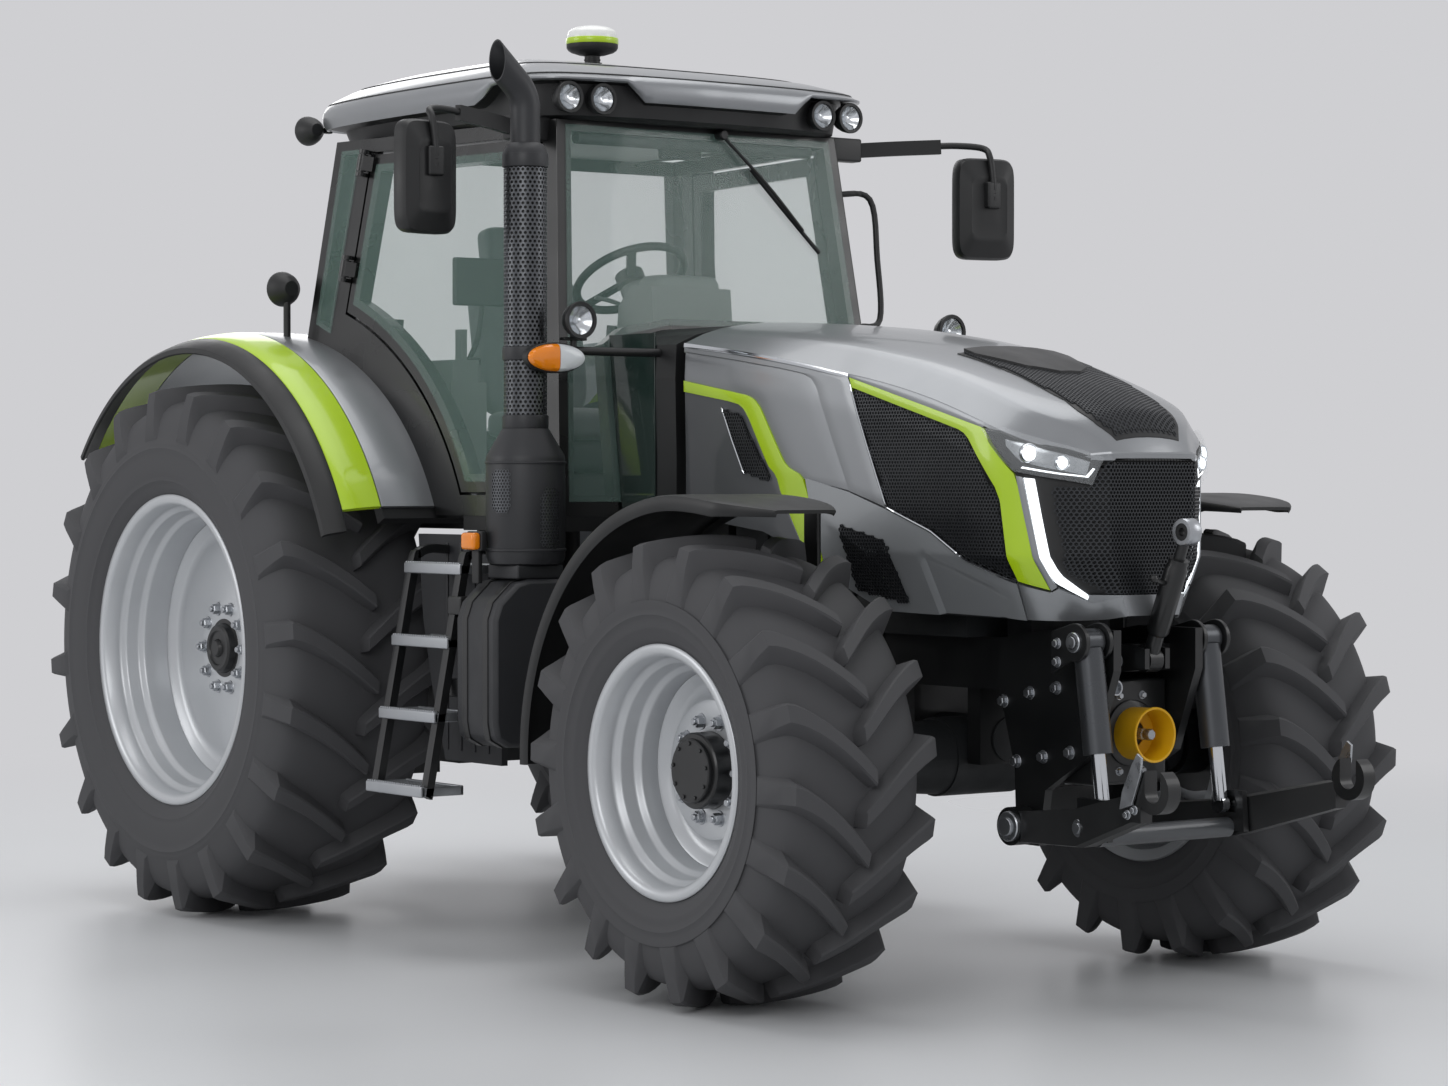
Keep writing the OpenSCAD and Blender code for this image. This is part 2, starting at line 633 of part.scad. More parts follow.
module cab_side_frame() {
    top = cab_roof_z + 30;
    low = sill_z - 30;
    rear_turn_z = deck_z + 600;
    r = rear_fender_r - 60;
    a1 = arc_at_x(r, back_x(rear_turn_z));
    outline = concat([[screen_x(low), low], [screen_x(top), top], [back_x(top), top],
        [back_x(rear_turn_z), rear_turn_z]],
                     wheel_arc(r, a1 - 4, arc_at_z(r, low), 16));
    on_cab_side() linear_extrude(pillar_t) difference() {
        polygon(side_points(outline));
        polygon(side_points(door_outline(0)));
        polygon(side_points(quarter_outline(0)));
    }
    for (z = hinge_z) on_hinge(z) {
        translate([0, 0, -18]) cylinder(r = hinge_r, h = hinge_len + 36);
        for (h = [-18, hinge_len + 4]) {
            translate([0, 0, h]) cylinder(r = 18, h = 14);
            translate([-22, -hinge_out - 3, h]) cube([22, hinge_out + 3, 14]);
        }
    }
}

module cab_frame() {
    big = 4000;
    color("#1d1e20") at_stations() intersection() {
        difference() {
            union() {
                left_and_right() cab_side_frame();
                on_screen(-pillar_t) linear_extrude(pillar_t) difference() {
                    polygon([screen_point(-1, 3, sill_z - 40), screen_point(1, 3, sill_z - 40),
                             screen_point(1, 3, cab_roof_z + 40), screen_point(-1, 3, cab_roof_z + 40)]);
                    polygon(screen_outline(0));
                }
                on_back() linear_extrude(pillar_t) difference() {
                    polygon([back_point(-1, 10, sill_z - 40), back_point(1, 10, sill_z - 40),
                             back_point(1, 10, cab_roof_z + 40), back_point(-1, 10, cab_roof_z + 40)]);
                    polygon(back_outline(0));
                }
            }
            left_and_right() {
                bar_y(0, rear_r, rear_fender_r + seat_gap, arch_wall_y - seat_gap, 1400);
                translate([-200, arch_wall_y - seat_gap, sill_z - 100]) cube([500, 800, 500]);
            }
        }
        translate([-big / 2, -big / 2, sill_z]) cube([big, big, cab_roof_z - seat_gap - sill_z]);
    }
}

module cab_glass() {
    lap = 22;
    color("#9fb5a6") at_stations() {
        on_screen(seat_gap) linear_extrude(glass_t) polygon(screen_outline(-lap));
        on_back(-glass_t - seat_gap) linear_extrude(glass_t) polygon(back_outline(-8));
        left_and_right() on_cab_side(-glass_t - seat_gap) linear_extrude(glass_t)
            polygon(side_points(quarter_outline(-14)));
    }
}

// Doors: a frame as thick as the pillars, with the glass lapped over its outer face
stile = 62;
module door_frame() {
    strap_x = hinge_back + door_gap + 6;
    on_cab_side() linear_extrude(pillar_t) difference() {
        polygon(side_points(door_outline(door_gap)));
        polygon(side_points(door_outline(door_gap + stile)));
    }
    for (z = hinge_z) on_hinge(z) difference() {
        union() {
            cylinder(r = 19, h = hinge_len);
            translate([0, 0, 4]) linear_extrude(hinge_len - 8)
                polygon([[0, 12], [16, 12], [strap_x + 20, -12], [strap_x + 20, -hinge_out - 14],
                         [strap_x, -hinge_out - 14], [strap_x, -19], [0, -15]]);
        }
        translate([0, 0, -1]) cylinder(r = hinge_r + run_gap, h = hinge_len + 2);
    }
}

module door_pane() {
    on_cab_side(-glass_t - seat_gap) linear_extrude(glass_t)
        polygon(side_points(door_outline(door_gap + stile - 26)));
}

module door_left() { color("#1d1e20") at_stations() door_frame(); }
module door_right() { color("#1d1e20") at_stations() mirror([0, 1, 0]) door_frame(); }
module door_glass_left() { color("#9fb5a6") at_stations() door_pane(); }
module door_glass_right() { color("#9fb5a6") at_stations() mirror([0, 1, 0]) door_pane(); }

// Roof: a domed cap with lamp bays in its corners and a hollow over the driver
roof_rear_x = 40;
roof_front_x = screen_x(cab_roof_z) + roof_front;
roof_top_z = cab_roof_z + roof_h;
lamp_z = cab_roof_z + 66;
bay_depth = 95;
module roof() {
    f = roof_front_x;
    b = roof_rear_x;
    color("#c8cacb") at_stations() difference() {
        hull() {
            translate([0, 0, cab_roof_z]) linear_extrude(1) polygon([[b + 60, -640], [f - 330, -700],
                [f - 150, -650],
                [f - 30, -330], [f - 30, 330], [f - 150, 650], [f - 330, 700], [b + 60, 640]]);
            translate([0, 0, cab_roof_z + 105]) linear_extrude(30) polygon([[b, -700], [b + 500, -765],
                [f - 350, -745],
                [f - 95, -690], [f, -330], [f, 330], [f - 95, 690], [f - 350, 745], [b + 500, 765], [b,
                    700]]);
            translate([0, 0, roof_top_z - 60]) linear_extrude(1) polygon([[b + 120, -590], [b + 420, -640],
                [f - 600, -600], [f - 260, -330], [f - 260, 330], [f - 600, 600], [b + 420, 640],
                    [b + 120, 590]]);
            translate([0, 0, roof_top_z - 1]) linear_extrude(1) polygon([[b + 280, -380], [f - 700, -380],
                [f - 560, -200], [f - 560, 200], [f - 700, 380], [b + 280, 380]]);
        }
        left_and_right() translate([f - 30 - bay_depth, 390, cab_roof_z + 8]) cube([400, 290, 112]);
        left_and_right() translate([b - 100, 440, cab_roof_z + 8]) cube([bay_depth + 100, 200, 112]);
        translate([330, -520, cab_roof_z - 1]) cube([1000, 1040, 150]);
    }
}

// A round work lamp facing along X, with its back at the origin
module lamp(r, deep, turn) {
    rotate([0, 90 * turn, 0]) {
        cylinder(r1 = r * 0.6, r2 = r, h = deep * 0.4);
        translate([0, 0, deep * 0.4 - 0.5]) cylinder(r = r, h = deep * 0.6 + 0.5);
    }
}

stalk_x = 1890;
stalk_y = 800;
stalk_z = hood_back_z - 108;
module work_lamps() {
    front_x = roof_front_x - 30 - bay_depth + seat_gap;
    rear_x = roof_rear_x + bay_depth - seat_gap;
    cowl_y = hood_half_w + seat_gap;
    fender_x = 210;
    fender_z = rear_r + sqrt(rear_fender_r * rear_fender_r - fender_x * fender_x);
    color("#d9dcde") at_stations() left_and_right() {
        for (y = [470, 600]) translate([front_x, y, lamp_z]) lamp(46, 72, 1);
        translate([rear_x, 540, lamp_z]) lamp(46, 72, -1);
        bar_y(stalk_x, stalk_z, 14, cowl_y, stalk_y + 34);
        translate([stalk_x - 8, stalk_y - 14, stalk_z]) cylinder(r = 11, h = 70);
        translate([stalk_x - 30, stalk_y - 14, stalk_z + 99]) lamp(52, 66, 1);
        translate([stalk_x - 16, stalk_y - 25, stalk_z - 64]) cube([46, 150, 80]);
        translate([fender_x, rear_y - 80, fender_z + 2.8]) cylinder(r = 13, h = 53);
        translate([fender_x + 34, rear_y - 80, fender_z + 90]) lamp(54, 70, -1);
    }
}

// Satellite antenna: a flat dome on a short stem
module antenna() {
    dome_r = 95;
    color("#e6e8e9") at_stations() translate([840, 0, roof_top_z + seat_gap]) {
        cylinder(r = 28, h = 31);
        translate([0, 0, 30]) cylinder(r1 = 48, r2 = dome_r - 5, h = 22);
        translate([0, 0, 51]) cylinder(r = dome_r, h = 34);
        translate([0, 0, 84]) cylinder(r1 = dome_r - 3, r2 = dome_r - 8, h = 28);
        translate([0, 0, 111]) cylinder(r1 = dome_r - 8, r2 = 52, h = 20);
        translate([0, 0, 130]) cylinder(r1 = 52, r2 = 16, h = 8);
    }
}

// Room between the rear fender and the sweep of the steered front fender, which the tanks and steps share
front_sweep = 944;
room_x = rear_fender_r + 40;
// Exhaust: silencer can, pierced heat shield and a pipe with its mouth bent to the rear
wheel_room = wheelbase - front_sweep - room_x;
tank_x0 = room_x + 0.5686 * wheel_room;
tank_x1 = room_x + 0.8627 * wheel_room;
tank_top_z = deck_z - 150;
exhaust_x = (tank_x0 + tank_x1) / 2 + 11;
exhaust_y = -910;
module exhaust() {
    pipe_r = 47;
    bend_r = 150;
    bend = 38;
    bend_z = cab_roof_z + 50;
    shield_z = tank_top_z + 488;
    shield_top = cab_roof_z - 152;
    color("#45484b") at_stations() translate([exhaust_x, exhaust_y, 0]) {
        translate([-90, -90, tank_top_z + seat_gap]) cube([180, 180, 46]);
        translate([0, 0, tank_top_z + 45]) cylinder(r1 = 118, r2 = 130, h = 30);
        translate([0, 0, tank_top_z + 74]) cylinder(r = 130, h = 326);
        translate([0, 0, tank_top_z + 399]) cylinder(r1 = 130, r2 = 76, h = 90);
        translate([0, 0, shield_z]) cylinder(r = 70, h = shield_top - shield_z);
        for (z = [shield_z, shield_z + 222, shield_top - 58]) translate([0, 0, z]) cylinder(r = 75, h = 46);
        translate([0, 0, shield_top - 1]) cylinder(r1 = 66, r2 = pipe_r + 6, h = 24);
        difference() {
            union() {
                translate([0, 0, shield_top + 22]) cylinder(r = pipe_r + 2, h = bend_z - shield_top - 10);
                translate([-bend_r, 0, bend_z]) rotate([90, 0, 0]) rotate_extrude(angle = bend)
                    translate([bend_r, 0]) circle(pipe_r);
                translate([-bend_r, 0, bend_z]) rotate([0, -bend, 0]) translate([bend_r, 0, -12])
                    cylinder(r = pipe_r + 2, h = 122);
            }
            translate([-bend_r, 0, bend_z]) rotate([0, -bend, 0]) translate([bend_r, 0, 40])
                cylinder(r = pipe_r - 4, h = 120);
            translate([-400, -200, bend_z + 190]) cube([600, 400, 300]);
        }
    }
}

// Mirrors on arms from the front pillars
mirror_at = [1634, 1204, cab_roof_z - 242];
module mirrors() {
    root_z = cab_roof_z - 26;
    root = side_uv(1432, root_z);
    elbow = [1560, 1010, cab_roof_z - 8];
    drop = [mirror_at[0], mirror_at[1], cab_roof_z - 30];
    start = [1436, cab_y(1436, root_z) + 8, root_z];
    color("#1c1d1f") at_stations() left_and_right() {
        on_cab_side(-16 - seat_gap) translate([root[0] - 30, root[1] - 18, 0]) cube([60, 36, 16]);
        strut(start, elbow, 13);
        translate(elbow) sphere(17);
        strut(elbow, drop, 13);
        translate(drop) sphere(17);
        strut(drop, mirror_at, 13);
        translate([mirror_at[0], mirror_at[1], mirror_at[2] - 188]) rotate([0, 0, 12]) translate([-40,
            -100, 0])
            rounded_box([80, 200, 372], 32);
    }
}

// Side tanks hung on beams from the gearbox, and the ladders that hang on the tanks
tank_y1 = 1100;
tank_z0 = tank_top_z - 542;
module side_tanks() {
    beam = 0.5833 * (tank_x1 - tank_x0);
    color("#2a2c2e") at_stations() left_and_right() {
        translate([tank_x0, 420, tank_z0]) rounded_box([tank_x1 - tank_x0, tank_y1 - 420,
            tank_top_z - tank_z0], 40);
        for (z = [trans_z0 + 160, trans_z0 + 460]) translate([(tank_x0 + tank_x1 - beam) / 2,
            trans_half_w + seat_gap, z])
            cube([beam, 200, 70]);
    }
}

step_count = 4;
step_top_z = tank_top_z + 40;
step_low_z = tank_z0 - 143;
module steps() {
    x0 = room_x + 0.0882 * wheel_room;
    x1 = room_x + 0.5172 * wheel_room;
    rail = 36;
    lean = 150;
    color("#2a2c2e") at_stations() left_and_right() {
        for (x = [x0, x1 - rail]) plate_x([[1000, step_top_z + 40], [1050, step_top_z + 40],
            [1050 + lean, step_low_z - 30],
                                           [1000 + lean, step_low_z - 30]], x, x + rail);
        for (i = [0:step_count - 1]) {
            f = i / (step_count - 1);
            translate([x0, 890 + lean * (1 - f) , step_low_z + (step_top_z - step_low_z) * f - 30])
                cube([x1 - x0, 165, 34]);
        }
        for (z = [tank_z0 + 152, tank_z0 + 422]) translate([x1 - rail, 1010, z])
            cube([tank_x0 - seat_gap - x1 + rail, 70, 60]);
        plate_y([[room_x - 100, deck_z - 12], [x1, deck_z - 12], [x1, step_low_z + 60], [x0,
            step_low_z + 60],
                 [room_x - 10, rear_r - 100], [room_x - 70, rear_r + 140]], 868, 892);
    }
}

// A plate whose outline lies in Y and Z, between two stations along X
module plate_x(points, x0, x1) {
    translate([x0, 0, 0]) rotate([90, 0, 90]) linear_extrude(x1 - x0) polygon(points);
}

// Driver's place
seat_x = 650;
seat_half_w = 245;
module seat() {
    color("#4b4d50") at_stations() {
        translate([seat_x - 150, -150, sill_z]) cube([330, 300, 260]);
        translate([seat_x - 190, -seat_half_w, sill_z + 259]) rounded_box([420, 2 * seat_half_w, 120], 60);
        translate([seat_x - 190, 0, sill_z + 370]) rotate([0, -10, 0]) translate([-60, -230, -20])
            cube([120, 460, 560]);
        translate([seat_x - 245, 0, sill_z + 860]) rotate([0, -10, 0]) translate([-55, -150, 40])
            cube([100, 300, 160]);
    }
}

wheel_at = [1080, 0, deck_z + 890];
column_tilt = 32;
column_r = 26;
module dash_console() {
    color("#2f3133") at_stations() {
        translate([0, 0, sill_z]) plate_y([[1240, 0], [1500, 0], [1480, 450], [1450, 790], [1330, 800],
            [1250, 730],
                                           [1230, 530], [1290, 350]], -170, 170);
        translate(wheel_at) rotate([0, 180 - column_tilt, 0]) {
            translate([0, 0, 42]) cylinder(r = column_r + 24, h = 190);
            translate([0, 0, -20]) cylinder(r = column_r - 12, h = 70);
        }
    }
}

module steering_wheel() {
    rim_r = 200;
    color("#1c1d1f") at_stations() translate(wheel_at) rotate([0, -column_tilt, 0]) difference() {
        union() {
            rotate_extrude() translate([rim_r, 0]) circle(15);
            translate([0, 0, -26]) cylinder(r = 52, h = 44);
            for (a = [90, 210, 330]) rotate([0, 0, a]) translate([40, -16, -12]) cube([rim_r - 45, 32, 14]);
        }
        translate([0, 0, -60]) cylinder(r = column_r - 12 + run_gap, h = 81 - 1);
    }
}

module armrest() {
    out = arch_wall_y - 40;
    wide = (out - seat_half_w) / 2.1;
    color("#3a3c3f") at_stations() {
        translate([300, -out, sill_z]) cube([470, wide, 470]);
        translate([340, 20 - out, sill_z + 469]) cube([410, wide - 40, 80]);
        translate([700, wide / 2 - 12 - out, sill_z + 548]) cube([40, 24, 110]);
    }
}

// Hood: a shell lofted through sections along X
hood_rear_x = 2030;
function hood_at(t) = hood_rear_x + t * (nose_x - hood_rear_x);
hood_shares = [0, 0.12, 0.24, 0.36, 0.48, 0.585, 0.6875, 0.78, 0.8466, 0.915, 0.96, 1];
hood_stations = [for (t = hood_shares) hood_at(t)];
// Height of the nose, and the fall of the hood from the cab to it
hood_nose_z = support_top_z + 640;
hood_fall = hood_back_z - hood_nose_z;
hood_widths = [[0, 1], [0.24, 0.995], [0.48, 0.956], [0.69, 0.916], [0.85, 0.872], [0.915, 0.735],
    [0.96, 0.54], [1, 0.37]];
hood_hinge_x = 2040;
hood_hinge_z = hood_back_z - 45;
hood_hinge_y = 105;
hood_hinge_w = 50;
hood_pin_r = 10;
hinge_lug_t = 18;
function hood_t_at(x) = (x - hood_rear_x) / (nose_x - hood_rear_x);
function hood_top(x) = let (t = hood_t_at(x)) hood_back_z - hood_fall * (0.243 * t + 0.757 * pow(t, 3));
function hood_hw(x) = hood_half_w * lookup(hood_t_at(x), hood_widths);
function hood_shoulder(x) = hood_top(x) - 80 - 45 * min(1, hood_t_at(x) / 0.45);
function hood_low(x) = lookup(hood_t_at(x), [[0, sill_z], [0.267, deck_z], [0.523, support_top_z + 70],
                                             [0.949, support_top_z + 60], [1, support_top_z + 75]]);
function hood_low_hw(x) = hood_hw(x) - min(92, 0.4 * hood_hw(x)) * lookup(hood_t_at(x), [[0.352, 0],
    [0.551, 1]]);
function hood_half(x, e, drop) =
    let (w = hood_hw(x) - e, top = hood_top(x) - e, sh = hood_shoulder(x) - e, low = hood_low(x) - drop)
    [[0, top], [0.5 * w, top - 14], [0.82 * w, top - 46], [w, sh], [w + 5, sh - 110],
     [w, hood_low(x) + 190], [hood_low_hw(x) - e, low]];
function hood_loop(x, e, drop) =
    let (h = hood_half(x, e, drop), n = len(h))
    concat([for (p = h) [-p[0], p[1]]], [for (i = [n - 1:-1:1]) h[i]]);

module hood_loft(e, back, drop) {
    n = len(hood_stations);
    loops = [for (x = hood_stations) hood_loop(x, e, drop)];
    m = len(loops[0]);
    points = [for (i = [0:n - 1], p = loops[i])
              [i == 0 ? hood_stations[0] - back : hood_stations[i] - (i > n - 4 ? e : 0), p[0], p[1]]];
    sides = [for (i = [0:n - 2], k = [0:m - 1])
             [i * m + k, (i + 1) * m + k, (i + 1) * m + (k + 1) % m, i * m + (k + 1) % m]];
    polyhedron(points, concat(sides, [[for (k = [0:m - 1]) k]], [[for (k = [m - 1:-1:0]) (n - 1) * m + k]]),
               convexity = 6);
}

module hood_skin(e0, e1) {
    difference() {
        hood_loft(e0, -e0 / 4, 0);
        hood_loft(e1, 40, 60);
    }
}

// Openings of the hood: side grilles in X and Z, nose grille and headlamps in Y and Z
function side_grille(e) =
    let (x = [for (t = [0.483, 0.835, 0.915, 0.614]) hood_at(t)])
    [[x[0] - e, hood_top(x[0]) - 157 + e], [x[1] + e, hood_top(x[1]) - 172 + e],
     [x[2] + e, hood_low(x[2]) + 149 - e], [x[3] - e, hood_low(x[3]) + 322 - e]];
nose_z = support_top_z + 145;
function nose_half(e) = [[130 + e, 27 - e], [270 + e, 77 - e], [288 + e, 290 + e], [182 + e, 310 + e],
    [165 + e, 405 + e]];
function nose_grille(e) =
    let (h = nose_half(e))
    concat(h, [for (i = [len(h) - 1:-1:0]) [-h[i][0], h[i][1]]]);
function headlamp(e) = [[205 - e, 400 + e], [388 + e, 487 + e], [388 + e, 425], [335 + e, 357 - e],
    [205 - e, 331 - e]];

module side_cut(e) {
    left_and_right() plate_y(side_grille(e), 200, 600);
}

module nose_cut(e) {
    translate([0, 0, nose_z]) plate_x(nose_grille(e), nose_x - 230, nose_x + 110);
}

module lamp_cut(e) {
    translate([0, 0, nose_z]) left_and_right() plate_x(headlamp(e), nose_x - 340, nose_x + 110);
}

module hood_shell() {
    color("#c8cacb") at_stations() difference() {
        union() {
            difference() {
                hood_skin(0, hood_t);
                side_cut(seat_gap);
                nose_cut(seat_gap);
                lamp_cut(seat_gap);
            }
            left_and_right() {
                translate([hood_hinge_x - 10, hood_hinge_y, hood_hinge_z - 16])
                    cube([60, hood_hinge_w, hood_top(hood_hinge_x + 20) - hood_hinge_z]);
                bar_y(hood_hinge_x, hood_hinge_z, 17, hood_hinge_y, hood_hinge_y + hood_hinge_w);
            }
        }
        bar_y(hood_hinge_x, hood_hinge_z, hood_pin_r + run_gap, -300, 300);
    }
}

module hood_grilles() {
    color("#1a1b1c") at_stations() {
        intersection() {
            hood_skin(2, 8);
            side_cut(0);
        }
        intersection() {
            hood_skin(4, 12);
            nose_cut(0);
        }
    }
}

module headlights() {
    color("#e9edf0") at_stations() intersection() {
        hood_skin(1, 26);
        lamp_cut(0);
    }
}

// Cowl between the cab and the hood, with the hood's hinge pins
cowl_front_x = hood_rear_x - 44;
module cowl() {
    color("#1c1d1f") at_stations() difference() {
        union() {
            plate_x(hood_loop(hood_rear_x, 2, -4), 1560, cowl_front_x);
            translate([1700, -engine_half_w, trans_z1 + 60]) cube([cowl_front_x - 1700,
                2 * engine_half_w, 300]);
            left_and_right() {
                for (y = [hood_hinge_y - 23, hood_hinge_y + hood_hinge_w + 5]) {
                    translate([cowl_front_x - 5, y, hood_hinge_z - 15])
                        cube([hood_hinge_x - cowl_front_x + 5, hinge_lug_t, 16]);
                    bar_y(hood_hinge_x, hood_hinge_z, hood_pin_r + 4, y, y + hinge_lug_t);
                }
            }
            left_and_right() bar_y(hood_hinge_x, hood_hinge_z, hood_pin_r, hood_hinge_y - 23,
                hood_hinge_y + hood_hinge_w + 23);
        }
        on_screen(-800) translate([-1500, 0, 0]) cube([3000, 3500, 800 + seat_gap]);
        translate([1500, -700, 0]) cube([cowl_front_x - 1500 + 1, 1400, trans_z1 + 61]);
    }
}

// Front linkage
lift_eye_x = wheelbase + 880;
lift_eye_z = 600;
front_boss_y0 = plate_out + 7;
front_boss_y1 = 252;
rod_y = 237;
lug_y = 264;
lug_t = 20;
// Slot in the link's lug that lets the rod's pin follow its straight stroke
slot_half_x = 32;
slot_half_z = 24;
module hook(x, y, z, wide) {
    difference() {
        union() {
            bar_y(x, z, hook_outer_r, y - wide / 2, y + wide / 2);
        }
        bar_y(x, z, hook_r, y - wide, y + wide);
        translate([x - hook_r, y - wide, z]) cube([2 * hook_r, 2 * wide, 200]);
    }
}

module front_lower_links() {
    hook_z = 697;
    color("#1e1f21") at_stations() {
        left_and_right() difference() {
            union() {
                bar_y(front_pivot_x, front_pivot_z, 58, front_boss_y0, front_boss_y1);
                hull() {
                    translate([front_pivot_x + 20, front_boss_y0 + 2, front_pivot_z - 45]) cube([30,
                        55, 90]);
                    translate([lift_eye_x - 20, 282, lift_eye_z - 95]) cube([40, 50, 110]);
                }
                hull() {
                    translate([lift_eye_x - 20, 282, lift_eye_z - 95]) cube([40, 50, 110]);
                    translate([front_hook_x - 90, front_hook_y - 22, hook_z - 92]) cube([40, 44, 80]);
                }
                hook(front_hook_x, front_hook_y, hook_z, 48);
                plate_y([[lift_eye_x - 70, lift_eye_z - 80], [lift_eye_x + 70, lift_eye_z - 80],
                         [lift_eye_x + 62, lift_eye_z + 42], [lift_eye_x - 62, lift_eye_z + 42]],
                             lug_y, lug_y + lug_t);
            }
            bar_y(front_pivot_x, front_pivot_z, front_pin_r + run_gap, front_boss_y0 - 1,
                front_boss_y1 + 1);
            translate([lift_eye_x - slot_half_x, lug_y - 10, lift_eye_z - slot_half_z])
                cube([2 * slot_half_x, lug_t + 9.9, 2 * slot_half_z]);
            bar_y(front_hook_x, hook_z, hook_r, front_hook_y - 40, front_hook_y + 40);
        }
    }
}

// Tube that ties the two links together between their lugs
module front_cross_tube() {
    half = lug_y - seat_gap;
    color("#4a4d50") at_stations() bar_y(lift_eye_x, lift_eye_z - 70, 30, -half, half);
}

lift_len = norm([lift_eye_x - lift_top_x, lift_eye_z - lift_top_z]);
lift_angle = atan2(lift_eye_x - lift_top_x, lift_top_z - lift_eye_z);
barrel_len = 330;
module on_lift() {
    translate([lift_top_x, rod_y, lift_top_z]) rotate([0, 180 - lift_angle, 0]) children();
}

module front_lift_barrels() {
    color("#1e1f21") at_stations() left_and_right() difference() {
        union() {
            on_lift() translate([0, 0, 20]) cylinder(r = barrel_r, h = barrel_len - 20);
            bar_y(lift_top_x, lift_top_z, 40, rod_y - 34, rod_y + 34);
        }
        bar_y(lift_top_x, lift_top_z, lift_pin_r + run_gap, rod_y - 60, rod_y + 60);
        on_lift() translate([0, 0, 62]) cylinder(r = rod_r + run_gap, h = barrel_len);
    }
}

module front_lift_rods() {
    pin_r = 13;
    color("#d6d8da") at_stations() left_and_right() {
        on_lift() translate([0, 0, 160]) cylinder(r = rod_r, h = lift_len - 170);
        bar_y(lift_eye_x, lift_eye_z, 26, rod_y - 14, rod_y + 13);
        bar_y(lift_eye_x, lift_eye_z, pin_r, rod_y, lug_y + lug_t - 1);
    }
}

top_eye = [wheelbase + 980, 0, 1419];
module front_top_link() {
    base = [top_base_x, 0, top_base_z];
    color("#2a2c2e") at_stations() difference() {
        union() {
            bar_y(base[0], base[2], 36, -26, 26);
            strut(base, base + 0.42 * (top_eye - base), 24);
            strut(base + 0.40 * (top_eye - base), top_eye, 17);
            bar_y(top_eye[0], top_eye[2], 38, -22, 22);
        }
        bar_y(base[0], base[2], top_pin_r + run_gap, -40, 40);
        bar_y(top_eye[0], top_eye[2], top_eye_r, -40, 40);
    }
}

// Front power take-off: gear case between the plates, stub and guard cup
pto_z = 815;
pto_face_x = wheelbase + 740;
module front_pto() {
    guard_r = 80;
    color("#e0b81c") at_stations() {
        translate([pto_face_x - 220, -plate_in + seat_gap, 660]) cube([220,
            2 * plate_in - 2 * seat_gap, 320]);
        translate([pto_face_x - 1, 0, pto_z]) rotate([0, 90, 0]) difference() {
            cylinder(r = guard_r, h = 106);
            translate([0, 0, 6]) cylinder(r = guard_r - 7, h = 120);
        }
        translate([pto_face_x - 1, 0, pto_z]) rotate([0, 90, 0]) cylinder(r = pto_r, h = 92);
    }
}

// Rear linkage: equal arms above and below, so the lift rods stay upright
rear_arm_dx = -420;
rear_arm_dz = -30;
rear_rod_y = 394;
rear_hook_z = rear_r - 460;
rear_pin_r = 14;
module rear_lower_links() {
    eye_x = lift_x + rear_arm_dx;
    eye_z = link_z + rear_arm_dz;
    color("#1e1f21") at_stations() left_and_right() difference() {
        union() {
            bar_y(lift_x, link_z, 50, 240, 284);
            hull() {
                translate([lift_x - 60, 240, link_z - 36]) cube([30, 44, 72]);
                translate([rear_hook_x + 52, rear_hook_y - 22, rear_hook_z - 40]) cube([40, 44, 72]);
            }
            hook(rear_hook_x, rear_hook_y, rear_hook_z, 48);
            bar_y(eye_x, eye_z, rear_pin_r, 350, rear_rod_y + 32);
        }
        bar_y(lift_x, link_z, link_pin_r + run_gap, 230, 300);
        bar_y(rear_hook_x, rear_hook_z, hook_r, rear_hook_y - 40, rear_hook_y + 40);
    }
}

module rear_lift_arms() {
    eye_x = lift_x + rear_arm_dx;
    eye_z = lift_z + rear_arm_dz;
    color("#1e1f21") at_stations() {
        bar_y(lift_x, lift_z, lift_shaft_r, -300, 300);
        left_and_right() {
            bar_y(lift_x, lift_z, 68, 250, 296);
            plate_y([[lift_x, lift_z + 62], [eye_x - 20, eye_z + 34], [eye_x - 20, eye_z - 34],
                [lift_x, lift_z - 62]], 250, 296);
            bar_y(eye_x, eye_z, 36, 250, 330);
            bar_y(eye_x, eye_z, rear_pin_r, 320, rear_rod_y + 32);
        }
    }
}

module rear_lift_rods() {
    x = lift_x + rear_arm_dx;
    top = lift_z + rear_arm_dz;
    low = link_z + rear_arm_dz;
    y0 = rear_rod_y;
    y1 = rear_rod_y + 28;
    color("#3c3f42") at_stations() left_and_right() difference() {
        union() {
            bar_y(x, top, 32, y0, y1);
            bar_y(x, low, 32, y0, y1);
            translate([x, (y0 + y1) / 2, low + 20]) cylinder(r = 12, h = top - low - 40);
            translate([x, (y0 + y1) / 2, low + 220]) cylinder(r = 26, h = 240);
        }
        for (z = [top, low]) bar_y(x, z, rear_pin_r + run_gap, y0 - 1, y1 + 1);
    }
}

rear_top_base = [-430, 0, rear_r + 50];
rear_top_eye = [-990, 0, rear_r + 130];
module rear_top_link() {
    color("#2a2c2e") at_stations() difference() {
        union() {
            bar_y(rear_top_base[0], rear_top_base[2], 36, -26, 26);
            strut(rear_top_base, rear_top_base + 0.62 * (rear_top_eye - rear_top_base), 25);
            strut(rear_top_base + 0.6 * (rear_top_eye - rear_top_base), rear_top_eye, 17);
            bar_y(rear_top_eye[0], rear_top_eye[2], 38, -22, 22);
        }
        bar_y(rear_top_base[0], rear_top_base[2], top_pin_r + run_gap, -40, 40);
        bar_y(rear_top_eye[0], rear_top_eye[2], top_eye_r, -40, 40);
    }
}

